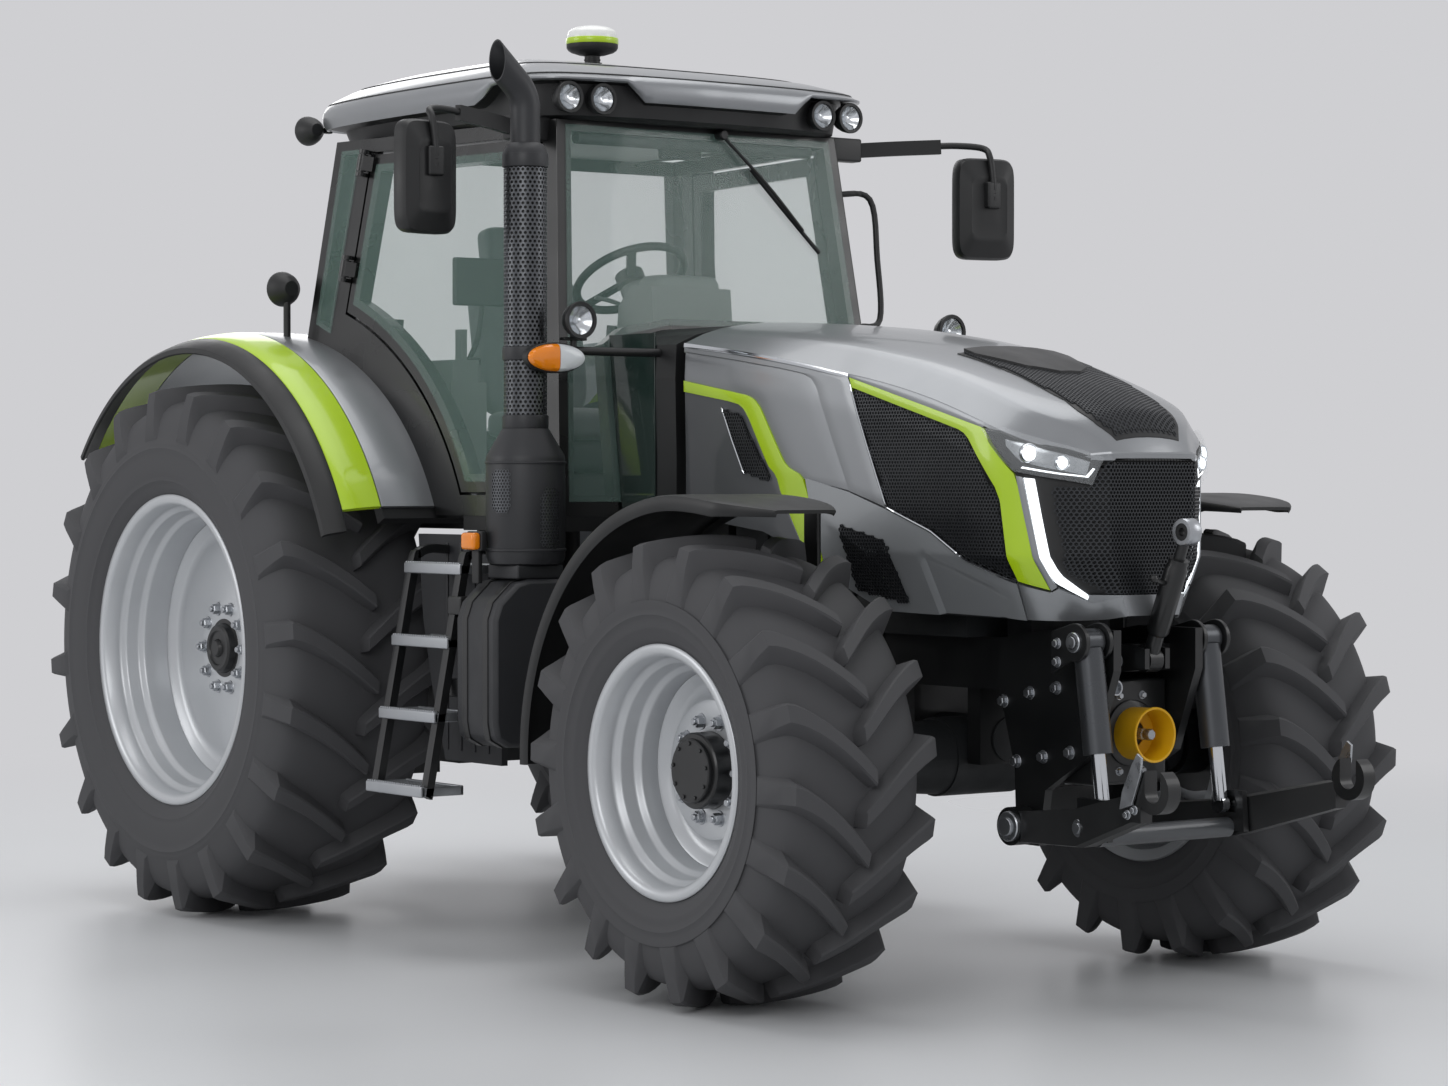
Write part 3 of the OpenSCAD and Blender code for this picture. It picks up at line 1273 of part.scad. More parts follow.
// Rear hitch: top link bracket, power take-off with its shield, and the drawbar
drawbar_x = -800;
drawbar_z = rear_r - 510;
rear_pto_z = rear_r - 280;
module rear_hitch() {
    face = trans_rear_x - seat_gap;
    color("#26282a") at_stations() {
        difference() {
            union() {
                translate([face - 30, -200, rear_r - 400]) cube([30, 400, 560]);
                left_and_right() translate([face, 0, rear_r])
                    plate_y([[-5, -30], [-112, 5], [-112, 90], [-5, 130]], 34, 54);
                bar_y(rear_top_base[0], rear_top_base[2], top_pin_r, -54, 54);
                translate([face - 28, 0, rear_pto_z]) rotate([0, -90, 0]) cylinder(r = pto_r, h = 120);
                translate([face - 150, -130, rear_pto_z + 95]) cube([130, 260, 10]);
                left_and_right() translate([face - 150, 120, rear_pto_z - 10]) cube([130, 10, 110]);
                translate([face - 30, -90, drawbar_z - 20]) cube([30, 180, 150]);
                translate([drawbar_x, -45, drawbar_z - 20]) cube([face - drawbar_x - 5, 90, 40]);
                translate([drawbar_x, 0, drawbar_z - 20]) cylinder(r = 45, h = 40);
            }
            translate([drawbar_x, 0, drawbar_z - 40]) cylinder(r = drawbar_r, h = 80);
        }
    }
}

engine();
transmission();
rear_axle();
front_support();
front_axle();
cowl();
cab_frame();
cab_floor();
cab_glass();
roof();
work_lamps();
antenna();
exhaust();
mirrors();
rear_fenders();
steps();
side_tanks();
seat();
dash_console();
armrest();
front_pto();
rear_hitch();
knuckle_right();
knuckle_left();
tie_rod();
rear_tyre_right();
rear_tyre_left();
front_tyre_right();
front_tyre_left();
rear_rim_right();
rear_rim_left();
front_rim_right();
front_rim_left();
front_hub_right();
front_hub_left();
front_fender_right();
front_fender_left();
hood_shell();
hood_grilles();
headlights();
door_right();
door_left();
door_glass_right();
door_glass_left();
front_lower_links();
front_cross_tube();
front_lift_barrels();
front_lift_rods();
front_top_link();
rear_lower_links();
rear_lift_arms();
rear_lift_rods();
rear_top_link();
steering_wheel();
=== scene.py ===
"""Looks of the farm tractor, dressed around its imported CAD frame.

Places are in metres. Stations along X are measured from the rear axle, as in the part's source,
and MID_X moves them into the shared frame. Left is +Y and up is +Z.
"""

import logging
import math
from dataclasses import dataclass, field
from enum import Enum
from typing import Callable, Iterable, Sequence

import bmesh
import bpy
import numpy as np
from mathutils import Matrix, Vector


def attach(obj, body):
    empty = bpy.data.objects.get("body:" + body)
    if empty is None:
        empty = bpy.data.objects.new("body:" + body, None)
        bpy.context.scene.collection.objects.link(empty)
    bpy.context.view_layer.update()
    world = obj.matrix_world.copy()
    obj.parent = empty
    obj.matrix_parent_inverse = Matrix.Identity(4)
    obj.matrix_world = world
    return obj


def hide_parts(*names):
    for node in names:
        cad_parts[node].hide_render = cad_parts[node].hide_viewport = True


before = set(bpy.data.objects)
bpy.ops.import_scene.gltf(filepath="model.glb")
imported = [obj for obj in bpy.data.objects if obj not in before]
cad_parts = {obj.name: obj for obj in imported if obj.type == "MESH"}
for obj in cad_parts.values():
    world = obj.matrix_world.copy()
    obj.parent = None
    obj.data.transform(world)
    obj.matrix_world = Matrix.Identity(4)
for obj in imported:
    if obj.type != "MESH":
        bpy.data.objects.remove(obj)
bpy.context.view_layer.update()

log = logging.getLogger("tractor")
Array = np.ndarray
Placing = Callable[[Array, Array, float], Array]
MID_X = 1.5475
MM = 0.001
NOISE_SPAN = (0.3, 0.7)
COAT_ROUGHNESS = 0.08
SIDES = {"right": -1, "left": 1}


# Colours and finishes

def linear(code: str) -> tuple[float, float, float, float]:
    """Turns an sRGB hex colour into linear light.

    Args:
        code: colour as "#rrggbb".
    Returns:
        Red, green, blue and an alpha of 1.
    """
    rgb = np.array([int(code[i:i + 2], 16) for i in (1, 3, 5)]) / 255
    lin = np.where(rgb <= 0.04045, rgb / 12.92, ((rgb + 0.055) / 1.055) ** 2.4)
    return (*map(float, lin), 1.0)


def add(tree: bpy.types.NodeTree, kind: str, links: dict | None = None, **settings: object) -> bpy.types.Node:
    """Adds a node with its settings, and sets or links its inputs.

    Args:
        tree: node tree that takes the node.
        kind: Blender's name of the node type.
        links: input name or number against a socket to link or a value to set.
        settings: attributes of the node.
    Returns:
        The new node.
    """
    made = tree.nodes.new(kind)
    for key, value in settings.items():
        setattr(made, key, value)
    for key, value in (links or {}).items():
        if isinstance(value, bpy.types.NodeSocket):
            tree.links.new(value, made.inputs[key])
        else:
            made.inputs[key].default_value = value
    return made


class Grain(Enum):
    """How a surface's fine relief runs: even in all directions, or drawn out along one axis."""

    EVEN = (1.0, 1.0, 1.0)
    ALONG_X = (0.06, 1.0, 1.0)
    ALONG_Z = (1.0, 1.0, 0.06)


@dataclass(frozen=True)
class Finish:
    """One surface finish: colour with a slow drift, roughness that varies with it, and a fine relief.

    The drift is soft clouds of drift_mm between the colour and the tint. The relief is noise of
    grain_mm, pressed depth_mm deep, drawn coarser than life where the real one is too fine to show.
    """

    name: str
    colour: str
    roughness: float
    tint: str = ""
    drift_mm: float = 180.0
    rough_vary: float = 0.08
    grain_mm: float = 3.0
    depth_mm: float = 0.05
    grain: Grain = Grain.EVEN
    metallic: float = 0.0
    coat: float = 0.0
    ior: float = 1.5
    alpha: float = 1.0
    glow: float = 0.0
    sheen: float = 0.0

    def material(self) -> bpy.types.Material:
        """Builds the material once and gives the same one after that.

        Returns:
            The material.
        """
        known = bpy.data.materials.get(self.name)
        if known:
            return known
        made = bpy.data.materials.new(self.name)
        made.use_nodes = True
        tree = made.node_tree
        shader = tree.nodes["Principled BSDF"]
        place = add(tree, "ShaderNodeTexCoord")
        cloud = add(tree, "ShaderNodeTexNoise", {"Vector": place.outputs["Object"], "Scale": 1000 / self.drift_mm,
                                                 "Detail": 3.0})
        blend = add(tree, "ShaderNodeMix", {0: cloud.outputs["Fac"], 6: linear(self.colour),
                                            7: linear(self.tint or self.colour)}, data_type="RGBA")
        rough = add(tree, "ShaderNodeMapRange", {0: cloud.outputs["Fac"], 1: NOISE_SPAN[0], 2: NOISE_SPAN[1],
                                                 3: max(0.02, self.roughness - self.rough_vary),
                                                 4: min(1.0, self.roughness + self.rough_vary)})
        tree.links.new(blend.outputs[2], shader.inputs["Base Color"])
        tree.links.new(rough.outputs[0], shader.inputs["Roughness"])
        if self.depth_mm:
            drawn = add(tree, "ShaderNodeMapping", {"Vector": place.outputs["Object"], "Scale": self.grain.value})
            relief = add(tree, "ShaderNodeTexNoise",
                         {"Vector": drawn.outputs[0], "Scale": 1000 / self.grain_mm, "Detail": 2.0})
            bump = add(tree, "ShaderNodeBump",
                       {"Height": relief.outputs["Fac"], "Distance": self.depth_mm * MM, "Strength": 1.0})
            tree.links.new(bump.outputs[0], shader.inputs["Normal"])
        values = {"Metallic": self.metallic, "Coat Weight": self.coat, "Coat Roughness": COAT_ROUGHNESS,
                  "IOR": self.ior, "Alpha": self.alpha, "Sheen Weight": self.sheen}
        if self.glow:
            values |= {"Emission Color": linear(self.colour), "Emission Strength": self.glow}
        for name, value in values.items():
            shader.inputs[name].default_value = value
        return made


# Metallic basecoat under clear lacquer, sprayed: a soft sparkle, drawn at 2 mm so that it shows
SILVER = Finish("metallic_silver_paint", "#8f9194", 0.33, "#888b8e", metallic=0.62, coat=0.45, rough_vary=0.02,
                grain_mm=2.0, depth_mm=0.008)
# The same basecoat in two darker shades, with less sparkle
GREY_PAINT = Finish("mid_grey_paint", "#9a9da0", 0.38, "#939699", metallic=0.4, coat=0.4, rough_vary=0.02, grain_mm=2.0,
                    depth_mm=0.01)
DARK_PAINT = Finish("graphite_paint", "#4c4e51", 0.4, "#46484b", metallic=0.3, coat=0.3, rough_vary=0.03, grain_mm=2.0,
                    depth_mm=0.012)
# Solid enamel under lacquer: one bright, even colour with a wet gloss
LIME = Finish("lime_paint", "#b2d30a", 0.34, "#a6c806", coat=0.6, rough_vary=0.05, depth_mm=0.01)
# Moulded polypropylene: fine leather grain from the mould and slightly chalky patches
BLACK_PLASTIC = Finish("black_polypropylene", "#111213", 0.5, "#18191a", grain_mm=4.0, depth_mm=0.06)
# Rotation moulding: dull, with a coarse pebble
TANK_PLASTIC = Finish("black_polyethylene", "#2a2b2e", 0.55, "#232427", grain_mm=6.0, depth_mm=0.18)
# Powder coat: satin, with the orange peel that the baked powder leaves
BLACK_PAINT = Finish("black_powder_coat", "#0e0f10", 0.4, "#141516", grain_mm=7.0, depth_mm=0.08, coat=0.15)
# Enamelled tube: deep black with a soft, slightly wavy gloss
CAB_PAINT = Finish("black_cab_enamel", "#060707", 0.3, "#0a0b0c", grain_mm=9.0, depth_mm=0.04, coat=0.25)
# Sand casting under paint: a coarse, pitted skin in uneven dark grey
CAST = Finish("painted_cast_iron", "#202224", 0.58, "#191b1d", grain_mm=5.0, depth_mm=0.45, drift_mm=90)
# Tread rubber: matt and a little dusty, paler in patches
RUBBER = Finish("tyre_rubber", "#17181a", 0.74, "#1f2022", drift_mm=70, grain_mm=5.0, depth_mm=0.22, rough_vary=0.1,
                sheen=0.12)
# Extruded rubber: smoother than the tyres, with a dull shine
HOSE = Finish("hose_rubber", "#141516", 0.55, "#1c1d1f", depth_mm=0.08)
# Sprayed enamel: pale, even and slightly pearly
RIM = Finish("silver_rim_enamel", "#c3c5c8", 0.36, "#bbbec1", metallic=0.45, coat=0.3, rough_vary=0.03, grain_mm=6.0,
             depth_mm=0.03)
# Zinc plate: bright, with the cloudy patches of the bath
STEEL = Finish("zinc_plated_steel", "#b8bbbf", 0.32, "#a1a4a8", metallic=0.95, drift_mm=40)
# Drawn and brushed tube, lacquered: darker than the plated rod that runs in it
BARREL = Finish("graphite_cylinder_tube", "#55575a", 0.3, "#4b4d50", metallic=0.75, grain=Grain.ALONG_Z, grain_mm=2.0,
                depth_mm=0.03)
# Rolled sheet dulled by heat: grey, with cloudy patches
STAINLESS = Finish("pierced_stainless_sheet", "#626467", 0.36, "#55575a", metallic=0.9, drift_mm=60, depth_mm=0.04)
# Ground and plated: a sharp mirror with faint grinding marks
CHROME = Finish("hard_chrome", "#d5d8db", 0.1, "#c9ccd0", metallic=1.0, rough_vary=0.03, depth_mm=0.01)
# Pressed sheet: pale and satin, its grain drawn along the sheet
ALUMINIUM = Finish("pressed_aluminium", "#b9bcbf", 0.4, "#a3a6aa", metallic=0.9, grain=Grain.ALONG_X, grain_mm=2.5,
                   depth_mm=0.08)
# Baked enamel: nearly matt, greyed in patches by heat
EXHAUST = Finish("heatproof_black_enamel", "#242527", 0.46, "#303134", grain_mm=4.0, depth_mm=0.1, metallic=0.2)
# Painted shade behind the grilles and in the exhaust shield, near black so that bars stand out; also the screen's black
MESH = Finish("painted_shade_and_screen_black", "#0d0e0f", 0.45, "#151617", grain_mm=4.0)
# Anodised bars: charcoal with a metallic edge
MESH_BAR = Finish("black_anodised_honeycomb", "#323437", 0.38, "#2b2d30", depth_mm=0.04, metallic=0.4)
# Moulded guard: solid yellow with a waxy surface
YELLOW = Finish("yellow_polyethylene", "#d9a60d", 0.42, "#c8960a", grain_mm=5.0, depth_mm=0.12)
# Woven cover: no gloss, a fine tooth, and paler where it turns away
FABRIC = Finish("woven_seat_fabric", "#6c7072", 0.88, "#606466", drift_mm=60, grain_mm=2.5, depth_mm=0.2, sheen=0.4)
# Cab mouldings in two greys: dry, with a very fine grain
TRIM_GREY = Finish("grey_cab_moulding", "#7b807e", 0.6, "#707573", grain_mm=4.0, depth_mm=0.03)
DARK_TRIM = Finish("charcoal_cab_moulding", "#2a2c2e", 0.58, "#313335", grain_mm=4.0, depth_mm=0.03)
# Felt: pale, soft and without gloss
LINING = Finish("pale_headlining_felt", "#a9adab", 0.9, "#9a9e9c", grain_mm=5.0, depth_mm=0.4, sheen=0.3)
# Glossy moulding, nearly smooth
WHITE = Finish("white_abs", "#e4e5e3", 0.32, "#d8d9d7", coat=0.3, grain_mm=8.0, depth_mm=0.03)
# Clear-coated lens: saturated orange with a sharp highlight
AMBER = Finish("amber_polycarbonate", "#f08a07", 0.16, "#e07a02", rough_vary=0.05, coat=0.6, depth_mm=0.02)
# Clear cover: shows only by its reflections
LENS = Finish("clear_polycarbonate", "#e8ecef", 0.06, "#dde2e6", rough_vary=0.03, alpha=0.08, depth_mm=0.0)
# Vapour-coated bowl: a bright, slightly soft mirror; the smoked one is darker and patchy
REFLECTOR = Finish("vapour_aluminised_reflector", "#dfe2e5", 0.14, "#cfd3d7", metallic=1.0, rough_vary=0.05,
                   depth_mm=0.03)
SMOKED = Finish("smoked_reflector", "#b4b8bb", 0.22, "#9da1a4", metallic=0.9, drift_mm=25, rough_vary=0.05,
                depth_mm=0.0)
# Frosted lens: milky, with a soft highlight
FROSTED = Finish("frosted_polycarbonate", "#d4d8db", 0.22, "#c8ccd0", rough_vary=0.04, coat=0.4, depth_mm=0.03)
# Lit diffuser: even white glow
LED = Finish("lit_led_diffuser", "#f6fbff", 0.3, glow=1.3, depth_mm=0.01)
# Tinted cab glass: mostly clear, with a green cast and sharp reflections
GLASS = Finish("tinted_cab_glass", "#8fb0a6", 0.03, "#94b4aa", rough_vary=0.015, alpha=0.14, ior=1.7, depth_mm=0.0)
# The same glass made opaque, with the dark trim and the shade behind it painted into its colour
TRIM_AND_SHADE_GLASS = Finish("glass_painted_with_trim_and_shade", "#24322e", 0.05, "#1d2a27", rough_vary=0.02, coat=0.6, depth_mm=0.0)
# Silvered glass: reflects nearly all
MIRROR = Finish("silvered_mirror_glass", "#cfd4d6", 0.03, metallic=1.0, rough_vary=0.01, depth_mm=0.002)

# Finishes of the CAD nodes that no piece stands for
NODE_FINISH: dict[str, Finish] = {
    "engine": CAST, "transmission": CAST, "rear_axle": CAST, "front_axle": CAST, "front_support": BLACK_PAINT,
    "cowl": BLACK_PLASTIC, "cab_frame": CAB_PAINT, "cab_floor": BLACK_PLASTIC, "cab_glass": GLASS,
    "dash_console": TRIM_GREY, "armrest": TRIM_GREY, "rear_hitch": BLACK_PAINT, "knuckle_right": CAST,
    "knuckle_left": CAST, "tie_rod": STEEL, "door_right": CAB_PAINT, "door_left": CAB_PAINT,
    "door_glass_right": GLASS, "door_glass_left": GLASS, "front_lower_links": BLACK_PAINT,
    "front_cross_tube": DARK_PAINT, "front_lift_barrels": BARREL, "front_lift_rods": CHROME,
    "front_top_link": BLACK_PAINT, "rear_lower_links": BLACK_PAINT, "rear_lift_arms": BLACK_PAINT,
    "rear_lift_rods": STEEL, "rear_top_link": BLACK_PAINT, "steering_wheel": BLACK_PLASTIC,
}


# Surfaces from arrays

@dataclass
class Shape:
    """Points of a surface and the corner numbers of its faces."""

    points: Array
    faces: list[tuple[int, ...]]

    def moved(self, offset: Sequence[float]) -> "Shape":
        """Gives the shape shifted by an offset."""
        return Shape(self.points + np.asarray(offset, float), self.faces)

    def mirrored(self) -> "Shape":
        """Gives the shape reflected to the other side of the machine, with its faces still outwards."""
        return Shape(self.points * [1, -1, 1], [f[::-1] for f in self.faces])

    def turned(self, matrix: Array) -> "Shape":
        """Gives the shape turned by a 3 by 3 matrix about the origin."""
        return Shape(self.points @ np.asarray(matrix, float).T, self.faces)


def join(shapes: Iterable[Shape]) -> Shape:
    """Joins several shapes into one list of points and faces.

    Args:
        shapes: the shapes.
    Returns:
        One shape.
    """
    points, faces, base = [], [], 0
    for shape in shapes:
        points.append(shape.points)
        faces += [tuple(int(c) + base for c in f) for f in shape.faces]
        base += len(shape.points)
    return Shape(np.concatenate(points), faces)


def both_sides(*shapes: Shape) -> Shape:
    """Joins shapes, each with its reflection on the other side."""
    return join(half for shape in shapes for half in (shape, shape.mirrored()))


def turn(axis: str, degrees: float) -> Array:
    """Gives the matrix that turns about one axis.

    Args:
        axis: x, y or z.
        degrees: the angle.
    Returns:
        A 3 by 3 matrix.
    """
    a = math.radians(degrees)
    c, s = math.cos(a), math.sin(a)
    return np.array({"x": [[1, 0, 0], [0, c, -s], [0, s, c]], "y": [[c, 0, s], [0, 1, 0], [-s, 0, c]],
                     "z": [[c, -s, 0], [s, c, 0], [0, 0, 1]]}[axis])


def grid(points: Array, wrap_u: bool = False, wrap_v: bool = False, caps: bool = False, band: bool = False) -> Shape:
    """Makes faces over a grid of points: each face joins four neighbours.

    Args:
        points: array of rows, columns and three coordinates.
        wrap_u: joins the last row to the first.
        wrap_v: joins the last column to the first.
        caps: closes the first and last rows, each with a fan to its middle.
        band: closes the first and last rows of a folded sheet, each with a strip between its two sides.
    Returns:
        The surface.
    """
    nu, nv = points.shape[:2]
    u = np.arange(nu if wrap_u else nu - 1)[:, None]
    v = np.arange(nv if wrap_v else nv - 1)[None, :]
    u2, v2 = (u + 1) % nu, (v + 1) % nv
    quads = np.stack(np.broadcast_arrays(u * nv + v, u2 * nv + v, u2 * nv + v2, u * nv + v2), -1).reshape(-1, 4)
    flat, faces = points.reshape(-1, 3), [tuple(q) for q in quads.tolist()]
    if caps:
        middles = np.stack([points[0].mean(0), points[-1].mean(0)])
        k = np.arange(nv if wrap_v else nv - 1)
        k2 = (k + 1) % nv
        first = np.stack([np.full_like(k, len(flat)), k, k2], -1)
        last = np.stack([np.full_like(k, len(flat) + 1), k2 + (nu - 1) * nv, k + (nu - 1) * nv], -1)
        faces += [tuple(f) for f in np.concatenate([first, last]).tolist()]
        flat = np.concatenate([flat, middles])
    if band:
        k = np.arange(nv // 2 - 1)
        strip = np.stack([k, k + 1, nv - 2 - k, nv - 1 - k], -1)
        faces += [tuple(f) for f in np.concatenate([strip, strip[:, ::-1] + (nu - 1) * nv]).tolist()]
    return Shape(flat, faces)


def loft(rows: Array) -> Shape:
    """Closes rings of points, one to a row, into a form with a fan at each end."""
    return grid(rows, wrap_v=True, caps=True)


def closed_sheet(outer: Array, inner: Array, band: bool = False) -> Shape:
    """Closes two grids of points into a sheet with thickness; a folded one has its ends closed by bands."""
    return grid(np.concatenate([outer, inner[:, ::-1]], 1), wrap_v=True, caps=not band, band=band)


def lathe(profile: Sequence[Sequence[float]], turns: int = 64, axis: str = "y", loop: bool = False) -> Shape:
    """Turns a profile of radius and distance along an axis into a round surface.

    Args:
        profile: rows of radius and distance; an end of radius 0 closes the surface there.
        turns: steps round the axis.
        axis: the axis of the turning.
        loop: the profile's last point joins its first.
    Returns:
        The surface about the origin.
    """
    p = np.asarray(profile, float)
    a = np.linspace(0, 2 * np.pi, turns, endpoint=False)[:, None]
    along, c, s = np.broadcast_to(p[:, 1], (turns, len(p))), p[:, 0] * np.cos(a), p[:, 0] * np.sin(a)
    order = {"x": (along, c, s), "y": (s, along, c), "z": (c, s, along)}[axis]
    return grid(np.stack(order, -1), wrap_u=True, wrap_v=loop)


def smooth(points: Sequence[Sequence[float]], steps: int = 8) -> Array:
    """Carries a smooth curve through points, as a Catmull-Rom spline.

    Args:
        points: rows of coordinates.
        steps: new points for each stretch.
    Returns:
        The curve's points.
    """
    p = np.asarray(points, float)
    q = np.concatenate([[2 * p[0] - p[1]], p, [2 * p[-1] - p[-2]]])
    t = np.linspace(0, 1, steps, endpoint=False)[None, :, None]
    a, b, c, d = (q[i:len(q) - 3 + i][:, None] for i in range(4))
    curve = 0.5 * (2 * b + (c - a) * t + (2 * a - 5 * b + 4 * c - d) * t ** 2 + (3 * b - a - 3 * c + d) * t ** 3)
    return np.concatenate([curve.reshape(-1, p.shape[1]), p[-1:]])


def sweep(path: Array, profile: Sequence[Sequence[float]], up: Sequence[float] = (0, 0, 1),
          loop: bool = False) -> Shape:
    """Carries a closed profile along a path, square to it, with its second axis kept near up.

    Args:
        path: points of the path.
        profile: outline of the section, sideways and upwards.
        up: direction that the section's second axis stays near.
        loop: the path joins its own start.
    Returns:
        A closed bar.
    """
    path, profile = np.asarray(path, float), np.asarray(profile, float)
    ahead = np.roll(path, -1, 0) - np.roll(path, 1, 0) if loop else np.gradient(path, axis=0)
    ahead /= np.linalg.norm(ahead, axis=1, keepdims=True)
    side = np.cross(ahead, np.asarray(up, float))
    side /= np.linalg.norm(side, axis=1, keepdims=True)
    top = np.cross(side, ahead)
    points = path[:, None] + profile[None, :, :1] * side[:, None] + profile[None, :, 1:] * top[:, None]
    return grid(points[:, ::-1], wrap_u=loop, wrap_v=True, caps=not loop)


def resample(points: Sequence[Sequence[float]], count: int) -> Array:
    """Spreads a number of points evenly along a line, by its length.

    Args:
        points: corners of the line.
        count: how many points to give.
    Returns:
        The new points.
    """
    p = np.asarray(points, float)
    run = np.concatenate([[0], np.cumsum(np.linalg.norm(np.diff(p, axis=0), axis=1))])
    s = np.linspace(0, run[-1], count)
    return np.stack([np.interp(s, run, p[:, k]) for k in range(p.shape[1])], -1)


def inside(points: Array, outline: Array) -> Array:
    """Tells which points lie in an outline, by counting the edges that a ray from each one crosses.

    Args:
        points: rows of two coordinates.
        outline: corners of the outline.
    Returns:
        True for each point inside.
    """
    x, y = points[:, :1], points[:, 1:]
    a, b = outline, np.roll(outline, -1, 0)
    spans = (a[:, 1] > y) != (b[:, 1] > y)
    rise = np.where(b[:, 1] == a[:, 1], 1e-9, b[:, 1] - a[:, 1])
    return (spans & (x < (b[:, 0] - a[:, 0]) * (y - a[:, 1]) / rise + a[:, 0])).sum(1) % 2 == 1


def frame_along(way: Sequence[float]) -> Array:
    """Gives a matrix whose third axis runs along a direction.

    Args:
        way: the direction.
    Returns:
        A 3 by 3 matrix.
    """
    z = np.asarray(way, float) / np.linalg.norm(way)
    x = np.cross([0.0, 0.0, 1.0] if abs(z[2]) < 0.9 else [1.0, 0.0, 0.0], z)
    x /= np.linalg.norm(x)
    return np.stack([x, np.cross(z, x), z], 1)


def circle(radius: float, sides: int = 12) -> Array:
    """Gives the points of a circle."""
    a = np.linspace(0, 2 * np.pi, sides, endpoint=False)
    return radius * np.stack([np.cos(a), np.sin(a)], -1)


def tube(points: Sequence[Sequence[float]], radius: float, sides: int = 12, steps: int = 6) -> Shape:
    """Makes a round bar along a smooth curve through points.

    Args:
        points: places on the curve.
        radius: of the bar.
        sides: points round it.
        steps: points for each stretch of the curve.
    Returns:
        A closed bar.
    """
    path = smooth(points, steps) if len(points) > 2 else np.linspace(points[0], points[-1], 2)
    run = np.asarray(points[-1], float) - np.asarray(points[0], float)
    up = (0, 1, 0) if abs(run[2]) > 0.8 * np.linalg.norm(run) else (0, 0, 1)
    return sweep(path, circle(radius, sides), up)


def extrude(outline: Sequence[Sequence[float]], low: float, high: float, axis: str = "y") -> Shape:
    """Stretches a flat outline into a plate along an axis.

    Args:
        outline: corners in the two other axes, in their order.
        low: start along the axis.
        high: end along the axis.
        axis: direction of the stretch.
    Returns:
        A closed plate.
    """
    o = np.asarray(outline, float)
    n = len(o)
    spot = {"x": 0, "y": 1, "z": 2}[axis]
    points = np.concatenate([np.insert(o, spot, low, axis=1), np.insert(o, spot, high, axis=1)])
    area = np.sum(o[:, 0] * np.roll(o[:, 1], -1) - np.roll(o[:, 0], -1) * o[:, 1])
    k = np.arange(n)
    k2 = (k + 1) % n
    faces = [tuple(range(n - 1, -1, -1)), tuple(range(n, 2 * n))]
    faces += [tuple(f) for f in np.stack([k, k2, k2 + n, k + n], -1).tolist()]
    if (area < 0) != (axis == "y"):
        faces = [f[::-1] for f in faces]
    return Shape(points, faces)


def block(low: Sequence[float], high: Sequence[float], r: float = 0.01) -> Shape:
    """Makes a box with rounded edges: corners of a sphere of radius r, spread to the box's size.

    Args:
        low: lowest corner.
        high: highest corner.
        r: radius of the edges.
    Returns:
        A closed rounded box.
    """
    low, high = np.asarray(low, float), np.asarray(high, float)
    r = min(r, 0.499 * float((high - low).min()))
    lat = np.radians([-90, -67, -45, -22, 0, 0, 22, 45, 67, 90])
    ring = np.radians(np.concatenate([np.linspace(q, q + 90, 5) for q in (0, 90, 180, 270)]))
    c, z = np.abs(np.cos(lat)), np.sin(lat)
    half = (high - low) / 2 - r
    lift = np.array([-1] * 5 + [1] * 5)
    mid = np.radians(np.repeat([45, 135, 225, 315], 5))
    x = r * c[:, None] * np.cos(ring) + half[0] * np.sign(np.cos(mid))
    y = r * c[:, None] * np.sin(ring) + half[1] * np.sign(np.sin(mid))
    zz = np.broadcast_to((r * z + half[2] * lift)[:, None], x.shape)
    return loft(np.stack([x, y, zz], -1)[:, ::-1] + (low + high) / 2)


def hex_bolts(places: Array, along: Sequence[float], across: float, height: float) -> Shape:
    """Makes hexagonal bolt heads with a washer under each, all in one shape.

    Args:
        places: seats of the bolts.
        along: direction in which the heads stand up.
        across: width over the corners.
        height: height of the head.
    Returns:
        The joined heads.
    """
    z = np.asarray(along, float) / np.linalg.norm(along)
    x = np.cross(z, [0.3, 0.5, 0.81])
    x /= np.linalg.norm(x)
    basis = np.stack([x, np.cross(z, x), z], 1)
    head = loft(np.stack([np.concatenate([circle(f * across / 2, 6), np.full((6, 1), h * height)], 1)
                          for f, h in ((1, 0), (1, 0.85), (0.86, 1.0))])[:, ::-1])
    washer = lathe([(0, 0.12 * height), (0.66 * across, 0.12 * height), (0.7 * across, 0)], 14, "z")
    one = join([head.moved((0, 0, 0.1 * height)), washer]).turned(basis)
    return join(one.moved(p) for p in np.atleast_2d(places))


def ring_places(centre: Sequence[float], radius: float, count: int, axis: str = "y", start: float = 0.0) -> Array:
    """Gives points spaced evenly round a circle about an axis.

    Args:
        centre: middle of the circle.
        radius: of the circle.
        count: how many points.
        axis: direction square to the circle.
        start: angle of the first, in degrees.
    Returns:
        The points.
    """
    a = np.radians(start) + np.linspace(0, 2 * np.pi, count, endpoint=False)
    zero = np.zeros(count)
    c, s = radius * np.cos(a), radius * np.sin(a)
    return np.asarray(centre, float) + np.stack({"x": (zero, c, s), "y": (s, zero, c), "z": (c, s, zero)}[axis], -1)


